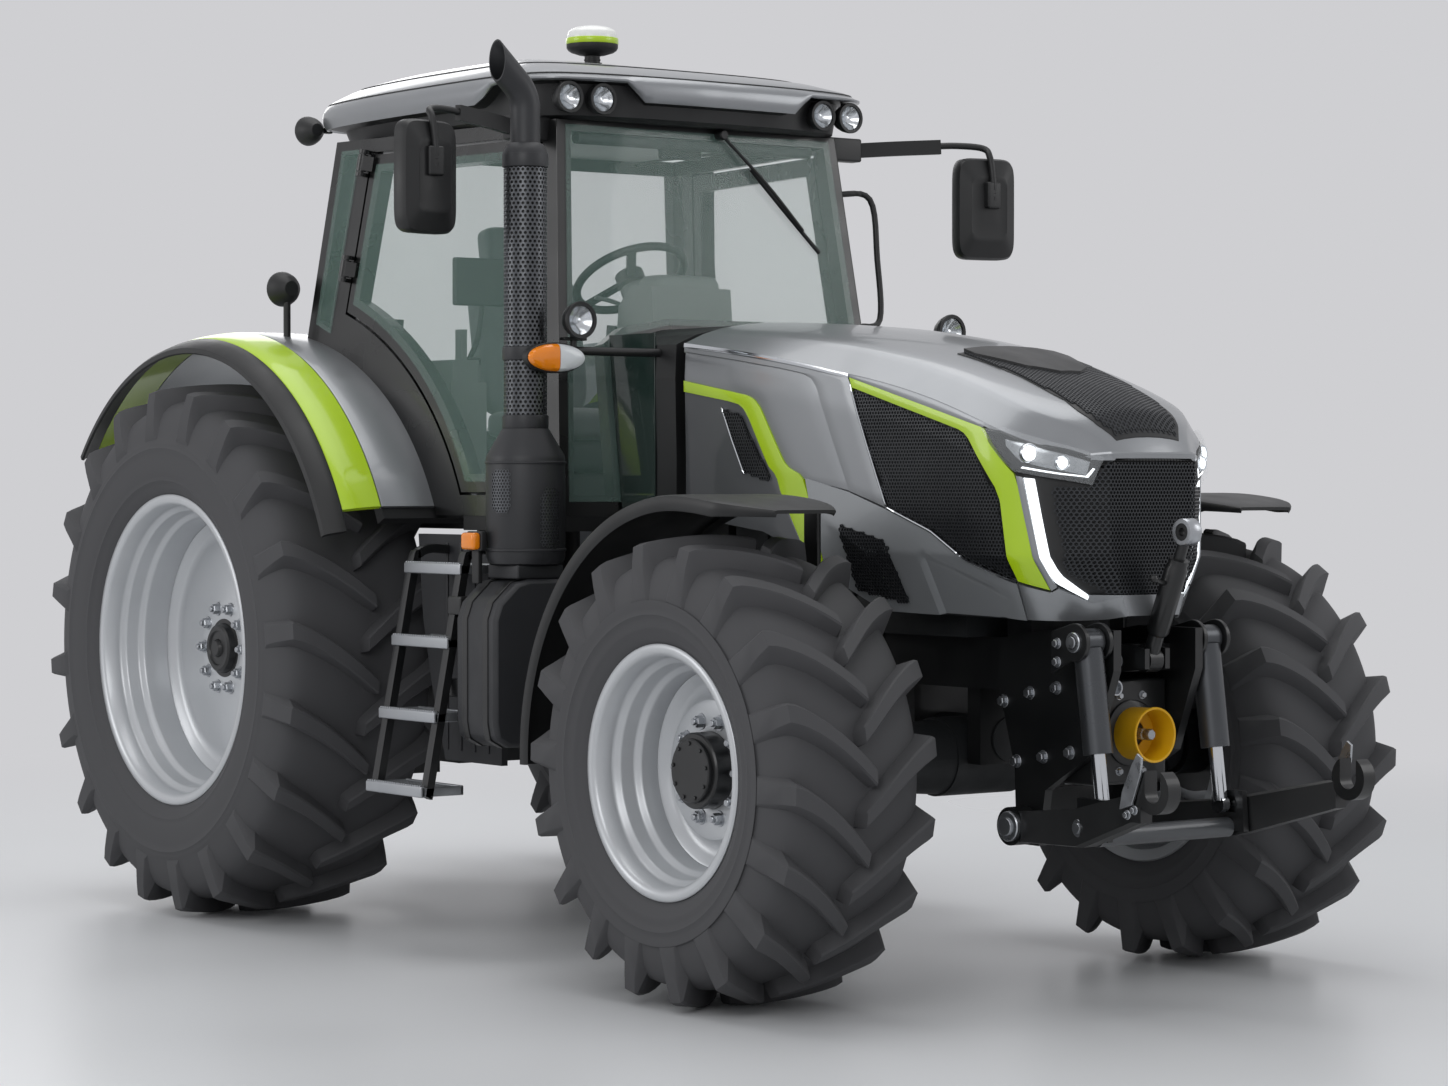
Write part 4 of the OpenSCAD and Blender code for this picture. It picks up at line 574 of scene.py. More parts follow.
def honeycomb(outline: Sequence, place: Placing, pitch: float, bar: float, thick: float) -> Shape:
    """Makes a honeycomb sheet: each cell is a six-sided ring of the lattice, bent over the surface.

    Args:
        outline: corners of the sheet, in the two parameters of place.
        place: function that turns the two parameters and a distance outwards into points.
        pitch: distance between the cells' middles.
        bar: width of the bars.
        thick: thickness of the sheet.
    Returns:
        The rings, each closed.
    """
    o = np.asarray(outline, float)
    u = np.arange(o[:, 0].min(), o[:, 0].max(), pitch)
    v = np.arange(o[:, 1].min(), o[:, 1].max(), pitch * math.sqrt(0.75))
    uu, vv = np.meshgrid(u, v)
    uu = uu + 0.5 * pitch * (np.arange(len(v)) % 2)[:, None]
    mid = np.stack([uu.ravel(), vv.ravel()], -1)
    mid = mid[inside(mid, o)]
    corner = circle(1.0, 6) @ np.array([[0.0, 1.0], [1.0, 0.0]])
    root = math.sqrt(3)
    outer, hole = pitch / root * corner, (pitch / root - bar / root) * corner
    rings = np.stack([outer, hole, hole, outer])[None] + mid[:, None, None]
    level = np.broadcast_to(np.array([0, 0, -thick, -thick])[None, :, None], rings.shape[:3])
    base, lift = place(rings[..., 0], rings[..., 1], 0.0), place(rings[..., 0], rings[..., 1], 1.0)
    points = base + (lift - base) * level[..., None]
    n = len(mid)
    ring, k = np.arange(3)[:, None], np.arange(6)[None, :]
    quads = np.stack(np.broadcast_arrays(ring * 6 + k, ring * 6 + (k + 1) % 6, (ring + 1) * 6 + (k + 1) % 6,
                                         (ring + 1) * 6 + k), -1).reshape(-1, 4)
    faces = (quads[None] + 24 * np.arange(n)[:, None, None]).reshape(-1, 4)
    return Shape(points.reshape(-1, 3), [tuple(f) for f in faces.tolist()])


def face_outwards(mesh: bpy.types.Mesh) -> None:
    """Turns the faces of each closed shell outwards.

    Args:
        mesh: the mesh to change.
    """
    work = bmesh.new()
    work.from_mesh(mesh)
    bmesh.ops.recalc_face_normals(work, faces=work.faces)
    work.to_mesh(mesh)
    work.free()


def piece(name: str, shape: Shape, finish: Finish, replaces: Sequence[str] = (), body: str = "chassis",
          sharp: float = 32.0, bevel_mm: float = 0.0, wall_mm: float = 0.0) -> bpy.types.Object:
    """Makes an object of a shape, dresses it and lets it ride on its body.

    Args:
        name: name of the piece.
        shape: surface in stations.
        finish: what it is made of.
        replaces: CAD nodes that it stands for.
        body: CAD body that carries it.
        sharp: angle in degrees above which an edge stays sharp.
        bevel_mm: width of the bevel on sharp edges.
        wall_mm: thickness given to an open sheet, inwards.
    Returns:
        The object.
    """
    mesh = bpy.data.meshes.new(name)
    mesh.from_pydata((shape.points - [MID_X, 0, 0]).tolist(), [], shape.faces)
    mesh.validate()
    face_outwards(mesh)
    mesh.polygons.foreach_set("use_smooth", np.ones(len(mesh.polygons), bool))
    mesh.set_sharp_from_angle(angle=math.radians(sharp))
    mesh.materials.append(finish.material())
    made = bpy.data.objects.new(name, mesh)
    bpy.context.scene.collection.objects.link(made)
    if wall_mm:
        made.modifiers.new("wall", "SOLIDIFY").thickness = wall_mm * MM
    if bevel_mm:
        edge = made.modifiers.new("edge", "BEVEL")
        edge.width, edge.segments, edge.limit_method = bevel_mm * MM, 2, "ANGLE"
        edge.angle_limit = math.radians(sharp)
    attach(made, body)
    if replaces:
        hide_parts(*replaces)
    log.info("%s: %d points on %s", name, len(shape.points), body)
    return made


# Wheels

@dataclass
class Wheel:
    """A wheel with its lugged tyre, rolled rim and fittings; the side gives its outward direction."""

    end: str
    side: str
    x: float
    y: float
    radius: float
    width: float
    bead: float
    lugs: int
    skew_deg: float
    disc: float
    rim_share: float = 0.41

    @property
    def body(self) -> str:
        """Name of the CAD body."""
        return f"{self.end}_wheel_{self.side}"

    def put(self, shape: Shape) -> Shape:
        """Moves a shape that is built about the origin, outwards along +Y, to this wheel.

        Args:
            shape: the shape to move.
        Returns:
            The shape in its place, mirrored on the right side.
        """
        if self.side == "right":
            shape = shape.mirrored()
        return shape.moved((self.x, SIDES[self.side] * self.y, self.radius))

    def carcass(self) -> Shape:
        """Turns the tyre's section: a flat crown, a rounded shoulder, a bulging sidewall and a bead on the rim.

        Returns:
            The tyre without its lugs, about the origin.
        """
        r, w = self.radius, self.width
        mid = (self.bead + r) / 2 - 0.02
        wall = smooth([(0.0, r - 0.05), (0.18 * w, r - 0.053), (0.33 * w, r - 0.064), (0.415 * w, r - 0.088),
                       (0.462 * w, r - 0.135), (0.49 * w, r - 0.2), (0.499 * w, mid), (0.489 * w, self.bead + 0.105),
                       (0.462 * w, self.bead + 0.055), (0.428 * w, self.bead + 0.024), (0.4 * w, self.bead + 0.004)], 6)
        ring = 0.004 * (np.exp(-((wall[:, 1] - self.bead - 0.075) / 0.006) ** 2)
                        + np.exp(-((wall[:, 1] - r + 0.235) / 0.005) ** 2))
        half = np.stack([wall[:, 1], wall[:, 0] + ring], -1)
        inner = [(self.bead + 0.002, -0.36 * w), (self.bead + 0.002, 0.36 * w)]
        return lathe(np.concatenate([half[::-1][:-1], (half * [1, -1]), inner])[::-1], 128, loop=True)

    def lug_set(self, side: int, phase: float) -> Shape:
        """Makes all lugs of one half of the tread.

        A lug is a bar whose section is a trapezoid between the carcass and the tread's crown. It starts with a
        blunt nose at the middle, runs outwards and back along the tread, turns at the shoulder and fades down
        the sidewall.

        Args:
            side: which half of the tread, as the sign of Y.
            phase: angle in degrees by which the set is turned.
        Returns:
            The joined bars.
        """
        r, w = self.radius, self.width
        share = np.array([-0.045, -0.03, 0.03, 0.1, 0.17, 0.24, 0.31, 0.38, 0.43, 0.468, 0.482, 0.492, 0.499])
        crown = np.array([0.044, 0.002, 0.0, 0.0, 0.002, 0.005, 0.009, 0.014, 0.019, 0.028, 0.075, 0.13, 0.185])
        floor_y = np.array([-0.045, -0.03, 0.03, 0.1, 0.17, 0.24, 0.31, 0.37, 0.4, 0.425, 0.452, 0.474, 0.488])
        floor_d = np.array([0.056, 0.056, 0.056, 0.057, 0.058, 0.06, 0.068, 0.08, 0.09, 0.105, 0.135, 0.175, 0.21])
        top_w = np.array([0.04, 0.046, 0.05, 0.052, 0.053, 0.054, 0.056, 0.058, 0.06, 0.06, 0.062, 0.066, 0.074])
        foot_w = top_w + np.array([0.012, 0.016, 0.024, 0.026, 0.027, 0.028, 0.03, 0.032, 0.034, 0.036, 0.034, 0.03,
                                   0.024])
        reach = np.clip((share + 0.045) / (0.468 + 0.045), 0, 1)
        bend = np.radians(self.skew_deg) * (1.28 * reach - 0.28 * reach ** 3)
        starts = np.radians(phase) + np.arange(self.lugs) * 2 * np.pi / self.lugs
        y = np.stack([floor_y, 0.3 * floor_y + 0.7 * share, share, share, 0.3 * floor_y + 0.7 * share, floor_y]) * w
        edge = 0.006
        drop = np.stack([floor_d, crown + edge, crown, crown, crown + edge, floor_d])
        wide = np.stack([-foot_w, -top_w - 0.004, edge * 1.4 - top_w, top_w - edge * 1.4, top_w + 0.004, foot_w]) / 2
        rad = r - drop
        angle = starts[:, None, None] + (bend + wide / rad)[None]
        points = np.stack([rad * np.cos(angle), np.broadcast_to(side * y, angle.shape), rad * np.sin(angle)], -1)
        return join(loft(p.transpose(1, 0, 2)[:, ::side]) for p in points)

    def barrel(self) -> Shape:
        """Turns the rim's rolled barrel: lips, bead seats, two bright steps on the outside and the drop centre.

        Returns:
            The barrel, about the origin.
        """
        b, h = self.bead, self.rim_share * self.width
        outer = [(b + 0.004, h + 0.004), (b + 0.026, h + 0.011), (b + 0.027, h + 0.017), (b + 0.022, h + 0.022),
                 (b + 0.004, h + 0.021), (b - 0.01, h + 0.01), (b - 0.013, h - 0.04), (b - 0.017, h - 0.052),
                 (b - 0.03, h - 0.058), (b - 0.034, h - 0.066), (b - 0.036, h - 0.105), (b - 0.041, h - 0.114),
                 (b - 0.052, h - 0.119), (b - 0.057, h - 0.128)]
        inner = [(b - 0.057, 0.176 - h), (b - 0.018, 0.096 - h), (b - 0.012, -h - 0.006), (b + 0.022, -h - 0.02),
                 (b + 0.026, -h - 0.014), (b + 0.026, -h - 0.009), (b + 0.001, -h), (b - 0.003, 0.09 - h),
                 (b - 0.045, 0.17 - h), (b - 0.045, h - 0.12), (b - 0.003, h - 0.07), (b + 0.001, h)]
        return lathe(outer + inner, 128, loop=True)

    def plate(self, hole: float) -> Shape:
        """Turns the wheel disc: a raised seat for the nuts, a dished web and the welded flange.

        Args:
            hole: radius of the hole in its middle.
        Returns:
            The disc, about the origin.
        """
        b, d = self.bead, self.disc
        front = [(hole, d - 0.002), (hole + 0.004, d), (hole + 0.082, d), (hole + 0.094, d - 0.004),
                 (b - 0.15, d - 0.04), (b - 0.128, d - 0.046), (b - 0.098, d - 0.047), (b - 0.084, d - 0.038),
                 (b - 0.066, d - 0.02), (b - 0.058, d - 0.017)]
        back = [(r - 0.002, y - 0.018) for r, y in front[::-1]]
        return lathe(front + back, 128, loop=True)

    def nuts(self, circle_r: float, count: int) -> Shape:
        """Makes the wheel nuts with their studs.

        Args:
            circle_r: radius of their circle.
            count: how many.
        Returns:
            The joined nuts and studs.
        """
        seats = ring_places((0, self.disc, 0), circle_r, count, start=18)
        stud = lathe([(0.0, 0.034), (0.009, 0.034), (0.0105, 0.032), (0.0105, 0.0)], 10)
        return join([hex_bolts(seats, (0, 1, 0), 0.036, 0.022)] + [stud.moved(p) for p in seats])

    def hub(self) -> Shape:
        """Turns the hub's black cover, plain and domed behind or a flat lid with a bolted rim in front.

        Returns:
            The cover, about the origin.
        """
        d = self.disc
        if self.end == "rear":
            profile = [(0, d + 0.04), (0.026, d + 0.04), (0.03, d + 0.036), (0.034, d + 0.026), (0.06, d + 0.024),
                       (0.064, d + 0.03), (0.078, d + 0.03), (0.086, d + 0.024), (0.092, d + 0.002), (0.106, d + 0.001),
                       (0.108, d - 0.002)]
            return lathe(profile, 72)
        lid = [(0, d + 0.078), (0.092, d + 0.078), (0.096, d + 0.075), (0.097, d + 0.063), (0.11, d + 0.062),
               (0.1145, d + 0.057), (0.115, d - 0.019)]
        bolts = hex_bolts(ring_places((0, d + 0.077, 0), 0.083, 9), (0, 1, 0), 0.013, 0.005)
        return join([lathe(lid, 72), bolts])

    def shaft(self) -> Shape:
        """Turns the hub behind the disc, down to the bearing on the axle.

        Returns:
            The hub, about the origin.
        """
        d = self.disc - 0.0185
        if self.end == "rear":
            return lathe([(0.168, d), (0.168, d - 0.03), (0.112, d - 0.031), (0.11, -0.025), (0.0602, -0.025),
                          (0.0602, d - 0.002)], 64)
        return lathe([(0.165, d), (0.165, d - 0.029), (0.104, d - 0.03), (0.104, -0.105), (0.0552, -0.105),
                      (0.0552, d - 0.002)], 64)

    def build(self) -> None:
        """Builds the tyre, rim, nuts and hub."""
        pitch = 360 / self.lugs
        tag = f"{self.end}_{self.side}"
        start = -90 - 0.4 * self.skew_deg - math.degrees(0.026 / self.radius)
        tread = [self.carcass(), self.lug_set(1, start), self.lug_set(-1, start + pitch / 2)]
        piece(f"tyre_{tag}", self.put(join(tread)), RUBBER, [f"{self.end}_tyre_{self.side}"],
              body=self.body, sharp=28)
        hole = 0.08 if self.end == "rear" else 0.1153
        piece(f"rim_{tag}", self.put(join([self.barrel(), self.plate(hole)])), RIM,
              [f"{self.end}_rim_{self.side}"], body=self.body, sharp=50)
        circle_r = 0.148 if self.end == "rear" else 0.15
        piece(f"wheel_nuts_{tag}", self.put(self.nuts(circle_r, 10)), STEEL, body=self.body)
        stand_for = [] if self.end == "rear" else [f"front_hub_{self.side}"]
        piece(f"hub_cover_{tag}", self.put(join([self.hub(), self.shaft()])), BLACK_PAINT, stand_for,
              body=self.body)


# Hood

@dataclass
class Hood:
    """The tapering hood: its skin, painted panels, honeycomb grilles, lamps and light strips.

    A place on its side is given by station and height. The half width there comes from a curve along the hood,
    swells a little under the shoulder and draws in towards the lower edge.
    """

    rear_x: float = 2.03
    nose_x: float = 3.79
    half_w: float = 0.45
    back_z: float = 2.1
    fall: float = 0.37
    lip_z: float = 1.641
    nose_top: float = 1.56
    cell: float = 0.0125
    cell_bar: float = 0.0036
    widths: tuple = ((0, 1), (0.24, 0.995), (0.48, 0.956), (0.69, 0.916), (0.85, 0.872), (0.915, 0.735), (0.96, 0.54),
                     (1, 0.37))
    curve: Array = field(init=False)

    def __post_init__(self) -> None:
        """Works out the smooth curve of widths."""
        self.curve = smooth(self.widths, 14)

    def share(self, x: Array) -> Array:
        """Gives how far along the hood a station is, from 0 at the cab to 1 at the nose."""
        return (np.asarray(x, float) - self.rear_x) / (self.nose_x - self.rear_x)

    def top(self, x: Array) -> Array:
        """Gives the height of the middle: a straight fall and a cubic one added."""
        t = self.share(x)
        return self.back_z - self.fall * (0.243 * t + 0.757 * t ** 3)

    def wide(self, x: Array) -> Array:
        """Gives the half width at the shoulder."""
        return self.half_w * np.interp(self.share(x), self.curve[:, 0], self.curve[:, 1])

    def shoulder(self, x: Array) -> Array:
        """Gives the height of the crease along the side."""
        return self.top(x) - 0.08 - 0.045 * np.minimum(1, self.share(x) / 0.45)

    def low(self, x: Array) -> Array:
        """Gives the height of the lower edge."""
        return np.interp(self.share(x), [0, 0.267, 0.523, 0.949, 1], [1.45, 1.4, 1.16, 1.15, 1.165])

    def side_y(self, x: Array, z: Array) -> Array:
        """Gives the half width at a station and height: a swell under the shoulder, a taper below, a bevel above.

        Args:
            x: stations.
            z: heights.
        Returns:
            Half widths.
        """
        w, s, low = self.wide(x), self.shoulder(x), self.low(x)
        under = np.minimum(0.092, 0.4 * w) * np.clip((self.share(x) - 0.352) / 0.199, 0, 1)
        swell = 0.005 * (np.clip((s - z) / 0.11, 0, 1) - np.clip((s - 0.11 - z) / (s - 0.3 - low), 0, 1))
        bevel = 0.18 * w * np.clip((z - s) / (self.top(x) - 0.046 - s), 0, 1)
        return w + swell - under * np.clip((low + 0.19 - z) / 0.19, 0, 1) - bevel

    def on_side(self, x: Array, z: Array, out: float) -> Array:
        """Gives points that stand out from the left side by a distance, square to the surface.

        Args:
            x: stations.
            z: heights.
            out: the distance.
        Returns:
            The points.
        """
        x, z, e = np.asarray(x, float), np.asarray(z, float), 0.004
        slope_x = (self.side_y(x + e, z) - self.side_y(x - e, z)) / (2 * e)
        slope_z = (self.side_y(x, z + e) - self.side_y(x, z - e)) / (2 * e)
        normal = np.stack([-slope_x, np.ones_like(x), -slope_z], -1)
        normal /= np.linalg.norm(normal, axis=-1, keepdims=True)
        return np.stack([x, self.side_y(x, z), z], -1) + out * normal

    def on_top(self, x: Array, across: Array, out: float) -> Array:
        """Gives points over the top: crowned, bevelled, and rolled down to the lip at the nose.

        Args:
            x: stations.
            across: shares of the half width, from -1 to 1.
            out: distance upwards.
        Returns:
            The points.
        """
        x, a = np.asarray(x, float), np.abs(across)
        drop = np.interp(a, [0, 0.25, 0.5, 0.68, 0.82, 0.84, 1], [0, 0.003, 0.014, 0.028, 0.046, 0.05, 0.125])
        depth = np.where(a > 0.82, 0.046 + (self.top(x) - self.shoulder(x) - 0.046) * (a - 0.82) / 0.18, drop)
        nose = 0.085 * np.clip(1 - depth / 0.085, 0, 1) * np.clip((self.share(x) - 0.94) / 0.06, 0, 1) ** 2
        return np.stack([x, self.wide(x) * across, np.maximum(self.top(x) - depth - nose, self.lip_z) + out], -1)

    def between(self, upper: Sequence, lower: Sequence, rows: int, cols: int) -> tuple[Array, Array, Array]:
        """Spreads points over the side between two lines of station and height.

        Args:
            upper: one edge's points.
            lower: the other edge's points.
            rows: steps along the edges.
            cols: steps between them.
        Returns:
            Stations with heights, the points on the surface and the directions outwards.
        """
        a, b = resample(upper, rows), resample(lower, rows)
        v = np.linspace(0, 1, cols)[None, :, None]
        flat = a[:, None] * (1 - v) + b[:, None] * v
        face = self.on_side(flat[..., 0], flat[..., 1], 0)
        return flat, face, self.on_side(flat[..., 0], flat[..., 1], 1.0) - face

    def slab(self, upper: Sequence, lower: Sequence, out: float, depth: float, rows: int = 40, cols: int = 8,
             soft: float = 0.0015) -> Shape:
        """Makes a plate that follows the side between two lines of station and height.

        Args:
            upper: one edge's points.
            lower: the other edge's points.
            out: how far the face stands out from the surface.
            depth: thickness inwards.
            rows: steps along the edges.
            cols: steps between them.
            soft: how far the face's outer rows are let down, as a rounded edge.
        Returns:
            A closed plate on the left side.
        """
        _, face, lift = self.between(upper, lower, rows, cols)
        rim = np.ones((rows, cols))
        rim[1:-1, 1:-1] = 0
        return closed_sheet(face + lift * (out - soft * rim)[..., None], face + lift * (out - depth))

    def top_slab(self, half: Sequence, out: float, depth: float, rows: int = 48, cols: int = 25) -> Shape:
        """Makes a plate over the top whose edge is given by stations and shares of the half width.

        Args:
            half: the edge on one side.
            out: how far the face stands up.
            depth: thickness downwards.
            rows: steps along.
            cols: steps across.
        Returns:
            A closed plate.
        """
        h = resample(half, rows)
        x, across = np.broadcast_to(h[:, :1], (rows, cols)), h[:, 1:] * np.linspace(-1, 1, cols)[None, :]
        return self.top_sheet(x, across, out, depth)

    def skin(self) -> Shape:
        """Makes the inner skin in near-black, as painted shade behind the grilles: both sides, the top and the flat of
        the nose in one closed shell.

        Returns:
            The joined shell and nose.
        """
        x = np.concatenate([np.linspace(self.rear_x + 0.004, 3.45, 40), np.linspace(3.46, self.nose_x - 0.003, 40)])
        v = np.linspace(0, 1, 24)
        z = self.shoulder(x)[:, None] * (1 - v) + self.low(x)[:, None] * v
        wall = self.on_side(np.broadcast_to(x[:, None], z.shape), z, -0.016)
        across = np.linspace(-0.98, 0.98, 25)
        roof = self.on_top(np.broadcast_to(x[:, None], (len(x), 25)), np.broadcast_to(across, (len(x), 25)), -0.014)
        loop = np.concatenate([wall[:, ::-1] * [1, -1, 1], roof, wall], 1)
        inner = loop * [1, 0.97, 1] - [0, 0, 0.012]
        inner[:, [0, -1], 2] = loop[:, [0, -1], 2]
        shell = closed_sheet(loop, inner, band=True)
        face = extrude([(-0.145, 1.245), (0.145, 1.245), (0.15, 1.66), (-0.15, 1.66)], 3.76, 3.772, "x")
        return join([shell, face])

    def front_x(self, y: Array, z: Array) -> Array:
        """Gives the station of the nose at a half width and height, halving the interval until it fits.

        Args:
            y: half widths.
            z: heights.
        Returns:
            Stations.
        """
        y, z = np.abs(np.asarray(y, float)), np.asarray(z, float)
        low, high = np.full(np.broadcast(y, z).shape, 3.3), np.full(np.broadcast(y, z).shape, self.nose_x)
        for _ in range(24):
            mid = (low + high) / 2
            wide = self.side_y(mid, z) >= y
            low, high = np.where(wide, mid, low), np.where(wide, high, mid)
        return low

    def on_nose(self, y: Array, z: Array, out: float) -> Array:
        """Gives points on the nose by half width and height, that stand out ahead by a distance."""
        return np.stack(np.broadcast_arrays(self.front_x(y, np.minimum(z, self.nose_top)) + out, y, z), -1)

    def over_top(self, x: Array, y: Array, out: float) -> Array:
        """Gives points over the top by station and distance from the middle."""
        return self.on_top(x, y / self.wide(x), out)

    def painted(self) -> None:
        """Builds the silver skin and the painted panels between the grilles."""
        line = np.linspace(2.036, 2.876, 12)
        crease = [(x, z - 0.001) for x, z in zip(line, self.shoulder(line))]
        under = [(x, z - 0.013) for x, z in zip(line, self.shoulder(line))]
        bend = [(2.036, 1.99), (2.3, 1.958), (2.55, 1.924), (2.66, 1.905), (2.702, 1.889), (2.728, 1.86), (2.8, 1.705),
                (2.881, 1.538)]
        stripe_hi = [(2.036, 1.897), (2.3, 1.856), (2.385, 1.842), (2.42, 1.827), (2.447, 1.802), (2.545, 1.655),
                     (2.565, 1.628), (2.588, 1.61), (2.64, 1.59), (2.657, 1.575), (2.682, 1.52), (2.742, 1.285)]
        stripe_lo = [(2.036, 1.861), (2.28, 1.826), (2.335, 1.815), (2.362, 1.8), (2.389, 1.768), (2.471, 1.638),
                     (2.49, 1.612), (2.515, 1.594), (2.53, 1.575), (2.546, 1.536), (2.671, 1.34), (2.69, 1.318)]
        ahead = np.linspace(2.88, 3.486, 10)
        band_hi = [(x, z - 0.001) for x, z in zip(ahead, self.shoulder(ahead))]
        front_hi = [(2.878, 1.889), (3.18, 1.808), (3.477, 1.727), (3.489, 1.718), (3.501, 1.684), (3.59, 1.588),
                    (3.602, 1.54), (3.645, 1.246)]
        front_lo = [(2.892, 1.858), (3.14, 1.789), (3.376, 1.723), (3.402, 1.711), (3.42, 1.694), (3.528, 1.55),
                    (3.545, 1.51), (3.573, 1.272)]
        foot = [(2.748, 1.274), (2.86, 1.213), (2.95, 1.166), (3.1, 1.162), (3.25, 1.16), (3.4, 1.157), (3.556, 1.154)]
        belly = [(2.668, 1.577), (2.879, 1.534), (3.048, 1.482), (3.252, 1.414), (3.403, 1.329), (3.566, 1.268)]
        silver = [self.slab(under + [(2.96, 1.69), (3.046, 1.49)], bend, 0.003, 0.02, 60, 8),
                  self.slab(bend, stripe_hi[:10], -0.003, 0.014, 60, 8),
                  self.slab(band_hi, front_hi[:3], 0.001, 0.016, 30, 4),
                  self.slab([(3.594, 1.584), (3.647, 1.244)], [(3.61, 1.58), (3.655, 1.287), (3.662, 1.255)], 0.003,
                            0.018, 24, 4),
                  self.slab([(3.572, 1.262), (3.645, 1.238), (3.664, 1.25), (3.717, 1.206), (3.786, 1.228)],
                            [(3.56, 1.156), (3.64, 1.154), (3.7, 1.156), (3.74, 1.16), (3.786, 1.169)], 0.002, 0.018,
                            40, 6)]
        across = np.concatenate([np.linspace(-1, -0.83, 6), np.linspace(-0.81, 0.81, 21), np.linspace(0.83, 1, 6)])
        stations = np.linspace(self.rear_x + 0.004, self.nose_x - 0.002, 90)
        roof = self.top_sheet(*np.meshgrid(stations, across, indexing="ij"), 0.0, 0.012)
        chin = self.nose_band(0.19, 1.17, 1.232, -0.001)
        lip = [(3.748, -0.214, 1.636), (3.776, -0.176, 1.64), (3.7885, -0.15, 1.641), (3.789, 0.0, 1.642),
               (3.7885, 0.15, 1.641), (3.776, 0.176, 1.64), (3.748, 0.214, 1.636)]
        edge = sweep(smooth(lip, 6),
                     [(-0.005, -0.009), (0.001, -0.006), (0.001, 0.008), (-0.006, 0.014), (-0.016, 0.01)])
        piece("hood_skin_silver", join([roof, chin, edge, both_sides(*silver)]), SILVER, body="hood",
              sharp=24)
        rear = self.slab(stripe_lo, [(2.036, 1.453), (2.2, 1.436), (2.45, 1.408), (2.56, 1.372), (2.688, 1.314)],
                         -0.003, 0.014, 48, 10)
        piece("hood_rear_panels", both_sides(rear), DARK_PAINT, body="hood", sharp=24)
        piece("hood_belly_panels", both_sides(self.belly_panel(belly, foot)), GREY_PAINT, body="hood",
              sharp=24)
        lime = [self.slab(stripe_hi, stripe_lo, 0.002, 0.018, 80, 5),
                self.slab(front_hi, front_lo, 0.002, 0.018, 80, 5)]
        piece("hood_stripes", both_sides(*lime), LIME, body="hood", sharp=30)
        bright = [self.slab(crease, under, 0.005, 0.012, 40, 3, 0.001),
                  self.edging([(2.886, 1.866), (2.97, 1.672), (3.056, 1.484)]),
                  self.edging([(3.058, 1.485), (3.252, 1.417), (3.403, 1.332), (3.568, 1.269)]),
                  self.edging([(2.246, 1.806), (2.3, 1.7), (2.362, 1.59)])]
        piece("hood_bright_lines", both_sides(*bright), CHROME, body="hood", sharp=40)

    def top_sheet(self, x: Array, across: Array, out: float, depth: float) -> Shape:
        """Makes a plate over the top from grids of stations and of shares of the half width."""
        return closed_sheet(self.on_top(x, across, out), self.on_top(x, across, out - depth))

    def nose_band(self, half: float, low: float, high: float, out: float) -> Shape:
        """Makes a band round the nose between two heights, bent to its plan."""
        y, z = np.meshgrid(np.linspace(-half, half, 61), np.linspace(low, high, 5), indexing="ij")
        return closed_sheet(self.on_nose(y, z, out), self.on_nose(y, z, out - 0.014))

    def edging(self, path: Sequence, wide: float = 0.007) -> Shape:
        """Makes a narrow bright bead along a line on the side.

        Args:
            path: stations and heights of the line.
            wide: width of the bead.
        Returns:
            A closed bead.
        """
        p = np.asarray(path, float)
        step = np.gradient(p, axis=0)
        across = np.stack([step[:, 1], -step[:, 0]], -1)
        across *= wide / 2 / np.linalg.norm(across, axis=1, keepdims=True)
        return self.slab(p - across, p + across, 0.0055, 0.012, 30, 3, 0.0015)

    def belly_panel(self, upper: Sequence, lower: Sequence) -> Shape:
        """Makes the lower side panel, with the long shallow dent pressed into its front half.

        Args:
            upper: the upper edge.
            lower: the lower edge.
        Returns:
            A closed panel on the left side.
        """
        wall, dent, start, end = 0.024, 0.013, 3.188, 3.56
        flat, face, lift = self.between(upper, lower, 90, 30)
        x, z = flat[..., 0], flat[..., 1]
        ramp = [np.clip((x - start) / 0.022, 0, 1), np.clip((1.372 - 0.365 * (x - start) - z) / 0.045, 0, 1),
                np.clip((end - x) / 0.12, 0, 1)]
        soft = [r * r * (3 - 2 * r) for r in ramp]
        return closed_sheet(face - lift * (dent * soft[0] * soft[1] * soft[2])[..., None], face - lift * wall)

    def comb(self, outline: Sequence, place: Placing, out: float, thick: float) -> Shape:
        """Makes a honeycomb sheet that stands out from one of the hood's surfaces by a distance."""
        return honeycomb(outline, lambda u, v, o: place(u, v, o + out), self.cell, self.cell_bar, thick)

